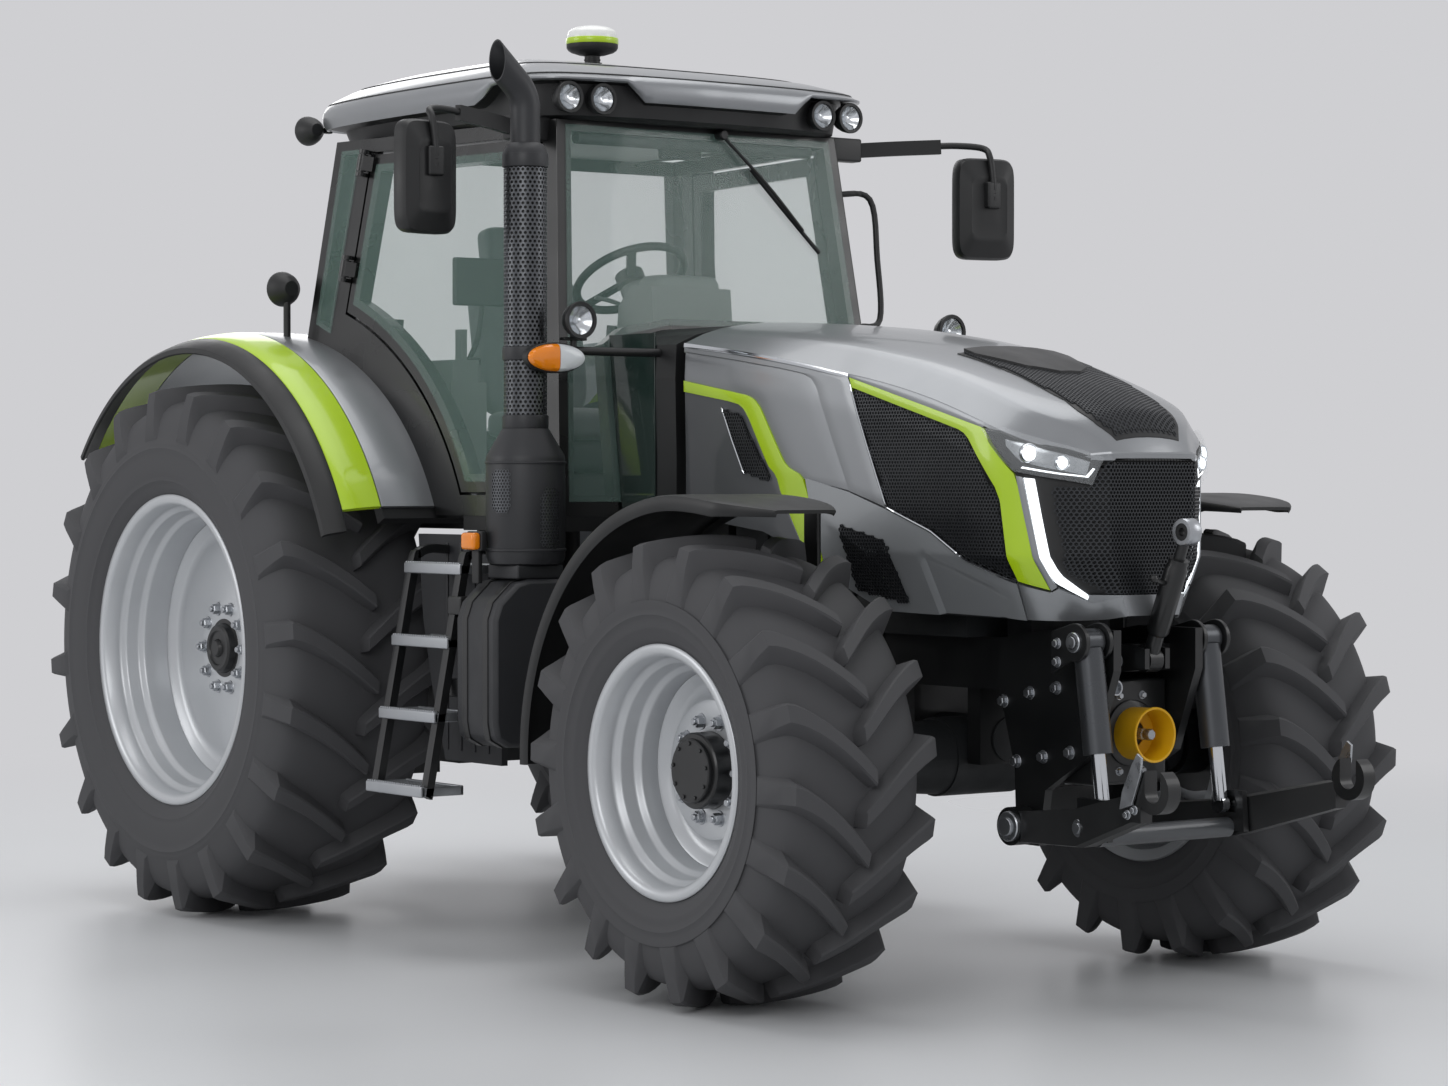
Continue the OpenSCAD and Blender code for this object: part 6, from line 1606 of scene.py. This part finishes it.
@dataclass
class Steps:
    """The ladders beside the tanks, with pierced aluminium treads, and the apron behind them."""

    low_x: float = 1.262
    high_x: float = 1.612
    low_z: float = 0.565
    top_z: float = 1.29
    lean: float = 0.15
    count: int = 4

    def build(self) -> None:
        """Builds the rails, treads and apron."""
        bars, treads, sheets = [], [], []
        for x in (self.low_x + 0.018, self.high_x - 0.018):
            line = smooth([(x, 0.9, 1.338), (x, 0.965, 1.341), (x, 1.01, 1.326), (x, 1.03, 1.285), (x, 1.092, 0.96),
                           (x, 1.165, 0.575), (x, 1.172, 0.537)], 6)
            bars.append(sweep(line, [(-0.014, -0.018), (0.014, -0.018), (0.016, 0), (0.014, 0.018), (-0.014, 0.018),
                                     (-0.016, 0)], (1, 0, 0)))
        for i in range(self.count):
            f = i / (self.count - 1)
            y, z = 0.89 + self.lean * (1 - f), self.low_z + (self.top_z - self.low_z) * f
            frame_bars = [block((self.low_x, y + 0.146, z - 0.03), (self.high_x, y + 0.166, z + 0.006), 0.005),
                          block((self.low_x, y, z - 0.028), (self.high_x, y + 0.014, z + 0.004), 0.004)]
            frame_bars += [block((x, y, z - 0.028), (x + 0.012, y + 0.16, z + 0.002), 0.003)
                           for x in (self.low_x, self.high_x - 0.012)]
            treads += frame_bars
            teeth = np.linspace(self.low_x + 0.012, self.high_x - 0.012, 24)
            treads += [block((x - 0.004, y + 0.148, z + 0.004), (x + 0.004, y + 0.164, z + 0.01), 0.0015)
                       for x in teeth]
            outline = [(self.low_x + 0.012, y + 0.014), (self.high_x - 0.012, y + 0.014),
                       (self.high_x - 0.012, y + 0.146), (self.low_x + 0.012, y + 0.146)]
            sheets.append(honeycomb(outline, lambda u, v, o, z=z: np.stack([u, v, z + o + 0 * u], -1), 0.021, 0.009,
                                    0.004))
        for z in (0.86, 1.13):
            bars.append(block((self.high_x - 0.036, 1.01, z), (1.654, 1.08, z + 0.06), 0.006))
        apron = extrude([(1.09, 1.388), (1.612, 1.388), (1.612, 0.625), (1.262, 0.625), (1.18, 0.86), (1.12, 1.1)],
                        0.868, 0.892)
        ribs = [block((1.27 + 0.085 * k, 0.89, 0.66), (1.285 + 0.085 * k, 0.897, 1.36), 0.003) for k in range(4)]
        piece("step_rails", both_sides(*bars), BLACK_PAINT, ["steps"], sharp=40)
        piece("step_treads", both_sides(*treads, *sheets), ALUMINIUM, sharp=40)
        piece("step_apron", both_sides(apron, *ribs), TANK_PLASTIC, bevel_mm=5)


@dataclass
class SideTanks:
    """The moulded tanks ahead of the steps, with their beams to the gearbox."""

    def build(self) -> None:
        """Builds the tanks with their slanted shoulders, bands and caps."""
        outline = [(0.43, 0.745), (0.47, 0.708), (1.04, 0.708), (1.088, 0.735), (1.098, 0.79), (1.098, 1.12),
                   (1.078, 1.175), (1.01, 1.238), (0.96, 1.25), (0.47, 1.25), (0.43, 1.215)]
        tank = extrude(outline, 1.656, 1.892, "x")
        band = [extrude([(y + (0.004 if y > 0.75 else -0.004), z + (0.003 if z > 0.98 else -0.003))
                         for y, z in outline], x, x + 0.03, "x") for x in (1.7, 1.822)]
        beams = [block((1.704, 0.23, z), (1.844, 0.44, z + 0.07), 0.006) for z in (0.76, 1.06)]
        piece("side_tanks_body", both_sides(tank), TANK_PLASTIC, ["side_tanks"], sharp=30, bevel_mm=14)
        piece("tank_bands", both_sides(*band, *beams), BLACK_PAINT, bevel_mm=2)
        cap = lathe([(0, 1.276), (0.03, 1.276), (0.036, 1.272), (0.036, 1.254), (0.042, 1.252), (0.042, 1.246),
                     (0, 1.246)], 32, "z")
        piece("tank_caps", both_sides(cap.moved((1.775, 0.64, 0))), BLACK_PLASTIC)


@dataclass
class FrontDrive:
    """The front power take-off: its black case, the yellow guard cup and the splined stub."""

    face_x: float = 3.69
    z: float = 0.815

    def build(self) -> None:
        """Builds the case, the guard and the stub."""
        x, z = self.face_x, self.z
        case = block((3.472, -0.1485, 0.662), (x, 0.1485, 0.978), 0.014)
        collar = lathe([(0.02, 0), (0.096, 0), (0.1, 0.004), (0.1, 0.012), (0.094, 0.016), (0.02, 0.016)], 56,
                       "x").moved((x - 0.004, 0, z))
        piece("drive_case", join([case, collar]), BLACK_PAINT, ["front_pto"], sharp=40)
        seats = ring_places((x, 0, z), 0.122, 8, "x", 22.5)
        piece("drive_bolts", hex_bolts(seats, (1, 0, 0), 0.019, 0.01), STEEL)
        guard = lathe([(0.04, 0.006), (0.078, 0.006), (0.079, 0.01), (0.08, 0.098), (0.083, 0.104), (0.082, 0.108),
                       (0.076, 0.107), (0.0735, 0.1), (0.0725, 0.02), (0.04, 0.016)], 64, "x",
                      loop=True).moved((x, 0, z))
        piece("drive_guard", guard, YELLOW, sharp=40)
        a = np.linspace(0, 2 * np.pi, 84, endpoint=False)
        r = np.where(np.sin(a * 21) > 0, 0.0175, 0.0152)
        ring = np.stack([0 * a, r * np.cos(a), r * np.sin(a)], -1)
        rows = np.stack([ring + [x + d, 0, z] for d in (0.004, 0.06)]
                        + [ring * [1, 0.8, 0.8] + [x + d, 0, z] for d in (0.062, 0.072)]
                        + [ring + [x + d, 0, z] for d in (0.074, 0.086)] + [ring * [1, 0.86, 0.86] + [x + 0.091, 0, z]])
        piece("drive_stub", loft(rows), STEEL, sharp=50)


@dataclass
class EngineBay:
    """Fittings under the open hood: valve cover, air filter, pipes, fan shroud and the cooling pack's fins."""

    block_top: float = 1.61
    block_side: float = 0.235
    pack_front: float = 3.52

    def build(self) -> None:
        """Builds the fittings on the engine block and the cooling pack."""
        top, side = self.block_top, self.block_side
        cover = [block((2.22, -0.15, top - 0.004), (3.02, 0.15, top + 0.058), 0.02)]
        cover += [block((2.24 + 0.13 * k, -0.12, top + 0.05), (2.29 + 0.13 * k, 0.12, top + 0.066), 0.006)
                  for k in range(6)]
        ribs = [extrude([(x, 1.16), (x + 0.018, 1.16), (x + 0.018, 1.56), (x, 1.56)], side - 0.002, side + 0.012)
                for x in np.arange(2.2, 3.1, 0.15)]
        piece("valve_cover", join(cover), ALUMINIUM)
        piece("block_ribs", both_sides(*ribs), CAST, bevel_mm=3)
        seats = np.array([(x, s * 0.141, top + 0.046) for x in np.linspace(2.25, 2.99, 7) for s in (-1, 1)])
        piece("cover_bolts", hex_bolts(seats, (0, 0, 1), 0.018, 0.014), STEEL)
        filter_can = lathe([(0, 2.3), (0.08, 2.3), (0.098, 2.308), (0.105, 2.33), (0.105, 2.52), (0.109, 2.524),
                            (0.109, 2.548), (0.105, 2.552), (0.105, 2.79), (0.092, 2.815), (0.05, 2.84), (0.046, 2.88),
                            (0, 2.88)], 40, "x")
        shroud = lathe([(0.216, 3.216), (0.236, 3.216), (0.236, 3.272), (0.216, 3.272)], 48, "x", loop=True)
        piece("air_filter", join([filter_can.moved((0, 0.1, 1.79)), shroud.moved((0, 0, 1.42))]), BLACK_PLASTIC)
        intake = tube([(2.86, 0.1, 1.79), (2.97, 0.07, 1.79), (3.06, -0.02, 1.75), (3.08, -0.08, 1.67),
                       (3.08, -0.09, 1.6)], 0.044, 16)
        piece("intake_pipe", intake, HOSE)
        charge = tube([(3.29, -0.22, 1.62), (3.15, -0.27, 1.615), (2.85, -0.278, 1.57), (2.62, -0.262, 1.5),
                       (2.56, -0.225, 1.48)], 0.034, 16)
        piece("charge_pipe", charge, ALUMINIUM)
        fins = [extrude([(y, 1.185), (y + 0.006, 1.185), (y + 0.006, 1.655), (y, 1.655)], self.pack_front - 0.001,
                        self.pack_front + 0.005, "x") for y in np.arange(-0.279, 0.275, 0.0155)]
        rails = [extrude([(-0.28, z), (0.28, z), (0.28, z + 0.022), (-0.28, z + 0.022)], self.pack_front - 0.001,
                         self.pack_front + 0.012, "x") for z in (1.196, 1.409, 1.644)]
        piece("cooling_fins", join(fins + rails), ALUMINIUM)


# Driver's place and cab trim

@dataclass
class Seat:
    """The driver's seat: two padded forms and a head pad on a moulded base."""

    half_w: float = 0.245

    def pad(self, half: Sequence[float], crown: float, seams: Sequence[float]) -> Shape:
        """Makes a padded form, face up: a rounded box that swells to a crown and is drawn in along its seams.

        Args:
            half: half sizes.
            crown: height that the middle of the face gains.
            seams: places of the seams across the width.
        Returns:
            A closed form about the origin.
        """
        u = np.radians(np.linspace(-90, 90, 37))[:, None]
        v = np.radians(np.linspace(0, 360, 72, endpoint=False))[None, :]

        def bulge(w: Array, power: float) -> Array:
            """Squares off a wave, keeping its sign."""
            return np.sign(w) * np.abs(w) ** power

        ring = np.abs(np.cos(u)) ** 0.35
        x, y = half[0] * ring * bulge(np.cos(v), 0.35), half[1] * ring * bulge(np.sin(v), 0.35)
        z = np.broadcast_to(half[2] * bulge(np.sin(u), 0.5), x.shape)
        face = np.clip(z / half[2], 0, 1)
        lift = crown * (1 - (x / half[0]) ** 2) * (1 - (y / half[1]) ** 2) * face
        groove = sum(0.009 * np.exp(-((y - s) / 0.009) ** 2) for s in seams) * face
        wings = 0.018 * np.clip((np.abs(y) - 0.62 * half[1]) / (0.38 * half[1]), 0, 1) ** 2 * face
        return loft(np.stack([x, y, z + lift - groove + wings], -1))

    def build(self) -> None:
        """Builds the base and the padded forms."""
        base = [block((0.5, -0.15, 1.452), (0.83, 0.15, 1.6), 0.02),
                block((0.47, -0.205, 1.6), (0.86, 0.205, 1.715), 0.03)]
        piece("seat_base", join(base), DARK_TRIM, ["seat"])
        lean = turn("y", -10)
        pads = {"seat_cushion": self.pad((0.21, self.half_w, 0.052), 0.018, (-0.13, 0.13)).moved((0.67, 0, 1.768)),
                "seat_back": self.pad((0.275, 0.23, 0.052), 0.02,
                                      (-0.12, 0.12)).turned(turn("y", 90)).turned(lean).moved((0.408, 0, 2.076)),
                "seat_head_pad": self.pad((0.078, 0.15, 0.044), 0.012,
                                          ()).turned(turn("y", 90)).turned(lean).moved((0.33, 0, 2.432))}
        for name, shape in pads.items():
            made = piece(name, shape, FABRIC, sharp=60)


@dataclass
class CabTrim:
    """Small fittings of the cab: wiper, sun blind, grab rails, cowl panes, inside mirror, screen, stalks and pedals."""

    tilt_deg: float = 7.6

    def on_screen(self, y: float, z: float, out: float) -> tuple[float, float, float]:
        """Gives a point that stands off the windscreen's plane."""
        t = math.radians(self.tilt_deg)
        return (1.87 - z * math.tan(t) + out * math.cos(t), y, z + out * math.sin(t))

    def build(self) -> None:
        """Builds the fittings outside and inside the cab."""
        arm = tube([self.on_screen(0.079, 2.771, 0.02), self.on_screen(0.25, 2.6, 0.034),
                    self.on_screen(0.4, 2.445, 0.026)], 0.006)
        blade = tube([self.on_screen(0.2, 2.655, 0.014), self.on_screen(0.34, 2.51, 0.012),
                      self.on_screen(0.473, 2.372, 0.014)], 0.0075)
        pivot = lathe([(0, 0.04), (0.014, 0.04), (0.018, 0.034), (0.018, -0.01), (0, -0.01)], 24, "x").moved(
            self.on_screen(0.079, 2.771, 0.0))
        roll = tube([(1.47, -0.5, 2.735), (1.47, 0.5, 2.735)], 0.022, 16)
        piece("wiper", join([arm, blade, pivot]), BLACK_PLASTIC)
        piece("sun_blind", roll, DARK_TRIM)
        rail = tube([(1.42, 0.64, 2.56), (1.424, 0.62, 2.54), (1.45, 0.612, 2.36), (1.476, 0.64, 2.18),
                     (1.48, 0.662, 2.16)], 0.011)
        outer_rail = tube([(1.42, 0.66, 2.6), (1.446, 0.8, 2.585), (1.474, 0.812, 2.37), (1.504, 0.8, 2.15),
                           (1.51, 0.7, 2.12)], 0.011)
        piece("grab_rails", join([both_sides(rail), outer_rail]), BLACK_PLASTIC)
        # Opaque lower panes, the dark trim and the shade behind them painted into the glass
        pane = extrude([(1.684, 1.47), (1.872, 1.47), (1.872, 2.06), (1.605, 2.06)], 0.4495, 0.4555)
        piece("cowl_panes", both_sides(pane), TRIM_AND_SHADE_GLASS, bevel_mm=1)
        mirror = [block((1.372, -0.09, 2.69), (1.392, 0.09, 2.745), 0.008),
                  tube([(1.385, 0, 2.74), (1.4, 0, 2.79)], 0.007)]
        piece("inner_mirror", join(mirror), BLACK_PLASTIC)
        arm_rest = [block((0.665, -0.47, 1.985), (0.725, -0.4, 2.01), 0.006),
                    tube([(0.7, -0.44, 2.0), (0.76, -0.44, 2.08), (0.79, -0.44, 2.2)], 0.01),
                    block((0.776, -0.56, 2.19), (0.806, -0.33, 2.36), 0.008)]
        piece("screen_case", join(arm_rest), DARK_TRIM)
        piece("screen_glass", block((0.7745, -0.548, 2.203), (0.7765, -0.342, 2.347), 0.0008), MESH)
        stalks = [tube([(1.17, s * 0.04, 2.165), (1.15, s * 0.12, 2.2), (1.135, s * 0.19, 2.215)], 0.008)
                  for s in (-1, 1)]
        pedals = [block((1.165, y, 1.56), (1.185, y + 0.075, 1.66), 0.006) for y in (-0.115, -0.02, 0.075)]
        cluster = block((1.3, -0.14, 2.2), (1.45, 0.14, 2.285), 0.04)
        piece("dash_fittings", join(stalks + pedals + [cluster]), TRIM_GREY)


@dataclass
class Linkage:
    """Fittings of the front linkage: cylinder lugs, couplings, pin heads, hook latches and the upper link's sleeve."""

    lift_pin: tuple[float, float] = (3.76, 1.096)
    upper_foot: tuple[float, float] = (3.77, 1.037)
    upper_eye: tuple[float, float] = (3.93, 1.419)

    def cap(self, at: Sequence[float], radius: float, high: float) -> Shape:
        """Turns a stepped pin head that faces outwards along +Y."""
        return lathe([(0, high), (0.55 * radius, high), (0.6 * radius, 0.85 * high), (0.62 * radius, 0.55 * high),
                      (0.92 * radius, 0.5 * high), (radius, 0.35 * high), (radius, 0)], 36).moved(at)

    def build(self) -> None:
        """Builds the fittings on the bodies that carry them."""
        plate = np.array([(3.32, 0.18, 0.9), (3.44, 0.18, 0.93), (3.56, 0.18, 0.95), (3.38, 0.18, 0.72),
                          (3.5, 0.18, 0.74), (3.62, 0.18, 0.76)])
        self.lugs()
        self.upper_link()
        piece("plate_bolts", both_sides(hex_bolts(plate, (0, 1, 0), 0.03, 0.016)), STEEL)
        pins = [self.cap((3.43, 0.252, 0.53), 0.046, 0.02), self.cap((3.83, 0.332, 0.56), 0.026, 0.014)]
        piece("link_pins", both_sides(*pins), STEEL, body="front_links")
        bolts = np.array([(4.12, 0.4125, 0.625), (4.15, 0.4135, 0.64)])
        latch = extrude([(4.1, 0.64), (4.15, 0.655), (4.186, 0.742), (4.19, 0.79), (4.172, 0.802), (4.15, 0.77),
                         (4.11, 0.69)], 0.4165, 0.4245)
        piece("hook_latches", both_sides(latch, hex_bolts(bolts, (0, 1, 0), 0.02, 0.01)), STEEL,
              body="front_links", bevel_mm=1.5)

    def lugs(self) -> None:
        """Builds the double lugs that hold each cylinder's top pin, their bolts, and the two couplings beside them."""
        x, z = self.lift_pin
        a = np.radians(np.linspace(-105, 105, 22))
        outline = np.concatenate([np.stack([x + 0.056 * np.cos(a), z + 0.056 * np.sin(a)], -1),
                                  [(x - 0.1, z + 0.03), (x - 0.1, z - 0.095)]])
        plates = [extrude(outline, low, low + 0.014) for low in (0.184, 0.276)]
        piece("cylinder_lugs", both_sides(*plates), BLACK_PAINT, bevel_mm=2)
        heads = [self.cap((x, 0.29, z), 0.03, 0.016),
                 hex_bolts(np.array([(x - 0.075, 0.29, z - 0.005), (x - 0.075, 0.29, z - 0.06)]), (0, 1, 0), 0.024,
                           0.012)]
        piece("lug_pins", both_sides(*heads), STEEL)
        nozzle = lathe([(0, -0.06), (0.02, -0.06), (0.02, -0.03), (0.026, -0.028), (0.026, 0.004), (0.023, 0.008),
                        (0.018, 0.008), (0.017, -0.006), (0, -0.006)], 28, "x")
        piece("couplings", join(nozzle.moved((3.728, -0.098, h)) for h in (1.035, 0.955)), STEEL, sharp=40)

    def upper_link(self) -> None:
        """Builds the upper link's threaded sleeve with its lever, and the bright eye at its end."""
        foot = np.array([self.upper_foot[0], 0, self.upper_foot[1]])
        eye_at = np.array([self.upper_eye[0], 0, self.upper_eye[1]])
        run = eye_at - foot
        long = float(np.linalg.norm(run))
        sleeve = lathe([(0, 0.2 * long), (0.026, 0.2 * long), (0.034, 0.23 * long), (0.034, 0.72 * long),
                        (0.03, 0.74 * long), (0.03, 0.79 * long), (0, 0.79 * long)], 32,
                       "z").turned(frame_along(run)).moved(foot)
        grip = foot + 0.6 * run
        lever = [tube([grip + [0, -0.02, 0], grip + [0.012, -0.06, 0.006], grip + [0.02, -0.088, 0.014]], 0.007),
                 lathe([(0, -0.013), (0.009, -0.009), (0.013, 0), (0.009, 0.009), (0, 0.013)], 16,
                       "z").moved(grip + [0.021, -0.092, 0.016])]
        piece("upper_link_sleeve", join([sleeve] + lever), BLACK_PAINT, body="front_upper_link",
              sharp=40)
        eye = lathe([(0.0262, -0.0235), (0.038, -0.0235), (0.0405, -0.02), (0.0405, 0.02), (0.038, 0.0235),
                     (0.0262, 0.0235)], 40, loop=True)
        ball = lathe([(0.0129, -0.021), (0.021, -0.021), (0.0258, -0.01), (0.0262, 0), (0.0258, 0.01), (0.021, 0.021),
                      (0.0129, 0.021)], 40, loop=True)
        piece("upper_link_eye", join([eye, ball]).moved(eye_at), STEEL, body="front_upper_link", sharp=45)


# Stage, light and camera

@dataclass
class Studio:
    """The pale floor, the soft light and the camera of the photograph."""

    backdrop: str = "#cfcfd2"
    floor: str = "#d6d7d9"
    camera_at: tuple[float, float, float] = (11.6, -7.349, 1.571)
    yaw: float = 2.5058
    pitch: float = -0.0175
    focal_px: float = 3592.2
    frame_px: int = 1448
    sensor_mm: float = 36.0

    def add_floor(self) -> None:
        """Lays a round floor that fades into the backdrop away from the machine."""
        ring = lathe([(0, 0), (4, 0), (8, 0), (16, 0), (60, 0)], 96, "z")
        ring.faces = [f[::-1] for f in ring.faces]
        mesh = bpy.data.meshes.new("floor")
        mesh.from_pydata(ring.points.tolist(), [], ring.faces)
        made = bpy.data.materials.new("polished_studio_floor")
        made.use_nodes = True
        tree = made.node_tree
        shader = tree.nodes["Principled BSDF"]
        place = add(tree, "ShaderNodeTexCoord")
        far = add(tree, "ShaderNodeVectorMath", {0: place.outputs["Object"]}, operation="LENGTH")
        fade = add(tree, "ShaderNodeMapRange", {0: far.outputs["Value"], 1: 3.5, 2: 9.0},
                   interpolation_type="SMOOTHSTEP")
        cloud = add(tree, "ShaderNodeTexNoise", {"Vector": place.outputs["Object"], "Scale": 0.35, "Detail": 2.0})
        tone = add(tree, "ShaderNodeMix", {0: cloud.outputs["Fac"], 6: linear("#d1d2d4"), 7: linear(self.floor)},
                   data_type="RGBA")
        rough = add(tree, "ShaderNodeMapRange",
                    {0: cloud.outputs["Fac"], 1: NOISE_SPAN[0], 2: NOISE_SPAN[1], 3: 0.26, 4: 0.42})
        tree.links.new(tone.outputs[2], shader.inputs["Base Color"])
        tree.links.new(rough.outputs[0], shader.inputs["Roughness"])
        glow = add(tree, "ShaderNodeEmission", {0: linear(self.backdrop), 1: 1.0})
        mix = add(tree, "ShaderNodeMixShader", {0: fade.outputs[0], 1: shader.outputs[0], 2: glow.outputs[0]})
        tree.links.new(mix.outputs[0], tree.nodes["Material Output"].inputs[0])
        mesh.materials.append(made)
        floor = bpy.data.objects.new("floor", mesh)
        bpy.context.scene.collection.objects.link(floor)

    def add_light(self) -> None:
        """Sets a soft dome and large lamps over and beside the machine."""
        world = bpy.data.worlds.new("studio")
        bpy.context.scene.world = world
        world.use_nodes = True
        tree = world.node_tree
        sky = tree.nodes["Background"]
        sky.inputs[0].default_value = linear("#e6e8ea")
        sky.inputs[1].default_value = 0.7
        seen = add(tree, "ShaderNodeBackground", {0: linear(self.backdrop), 1: 1.0})
        path = add(tree, "ShaderNodeLightPath")
        clear = add(tree, "ShaderNodeMath", {0: path.outputs["Is Camera Ray"], 1: path.outputs["Is Transmission Ray"]},
                    operation="MAXIMUM")
        shiny = add(tree, "ShaderNodeMath", {0: clear.outputs[0], 1: path.outputs["Is Glossy Ray"]},
                    operation="MAXIMUM")
        mix = add(tree, "ShaderNodeMixShader", {0: shiny.outputs[0], 1: sky.outputs[0], 2: seen.outputs[0]})
        tree.links.new(mix.outputs[0], tree.nodes["World Output"].inputs[0])
        lamps = (("overhead", (1.0, 0.0, 7.5), (1.2, 0, 0), 7.0, 210.0),
                 ("front_right", (7.5, -7.0, 5.0), (1.2, 0, 1.2), 5.0, 150.0),
                 ("right", (-2.5, -8.5, 4.0), (0.6, 0, 1.2), 4.5, 130.0),
                 ("front_left", (7.0, 6.0, 4.5), (1.5, 0, 1.2), 4.0, 85.0),
                 ("behind", (-8.0, 3.0, 5.5), (0, 0, 1.5), 4.0, 90.0))
        for name, spot, aim, size, watts in lamps:
            lamp = bpy.data.lights.new(name, "AREA")
            lamp.shape, lamp.size, lamp.energy = "DISK", size, watts
            made = bpy.data.objects.new(name, lamp)
            made.location = Vector(spot) - Vector((MID_X, 0, 0))
            made.rotation_euler = (Vector(aim) - Vector(spot)).to_track_quat("-Z", "Y").to_euler()
            bpy.context.scene.collection.objects.link(made)

    def add_camera(self) -> None:
        """Places the camera that was solved from the photograph's wheels and paired features."""
        lens = bpy.data.cameras.new("photo_camera")
        lens.sensor_width = self.sensor_mm
        lens.lens = self.focal_px * self.sensor_mm / self.frame_px
        lens.clip_end = 200.0
        made = bpy.data.objects.new("photo_camera", lens)
        made.location = Vector(self.camera_at) - Vector((MID_X, 0, 0))
        ahead = Vector((math.cos(self.yaw) * math.cos(self.pitch), math.sin(self.yaw) * math.cos(self.pitch),
                        math.sin(self.pitch)))
        made.rotation_euler = ahead.to_track_quat("-Z", "Y").to_euler()
        bpy.context.scene.collection.objects.link(made)
        bpy.context.scene.camera = made

    def build(self) -> None:
        """Sets the whole studio."""
        bpy.context.scene.view_settings.view_transform = "Standard"
        self.add_floor()
        self.add_light()
        self.add_camera()


def dress_nodes() -> None:
    """Gives each CAD node that still shows its finish."""
    for name, finish in NODE_FINISH.items():
        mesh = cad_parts[name].data
        mesh.materials.clear()
        mesh.materials.append(finish.material())


def main() -> None:
    """Builds the studio and each sub-assembly in order."""
    logging.basicConfig(level=logging.INFO, format="%(message)s")
    Studio().build()
    dress_nodes()
    for side in SIDES:
        Wheel("rear", side, x=0.0, y=0.985, radius=0.96, width=0.65, bead=0.5335, lugs=20, skew_deg=12.5,
              disc=0.065).build()
        Wheel("front", side, x=2.95, y=0.955, radius=0.705, width=0.55, bead=0.3555, lugs=18, skew_deg=17.0,
              disc=0.06).build()
    Hood().build()
    for part in (Roof(), Lamps(), Mirrors(), Exhaust(), RearFenders(), FrontFender("right"), FrontFender("left"),
                 Steps(), SideTanks(), FrontDrive(), EngineBay(), Seat(), CabTrim(), Linkage()):
        part.build()


if __name__ == "__main__":
    main()
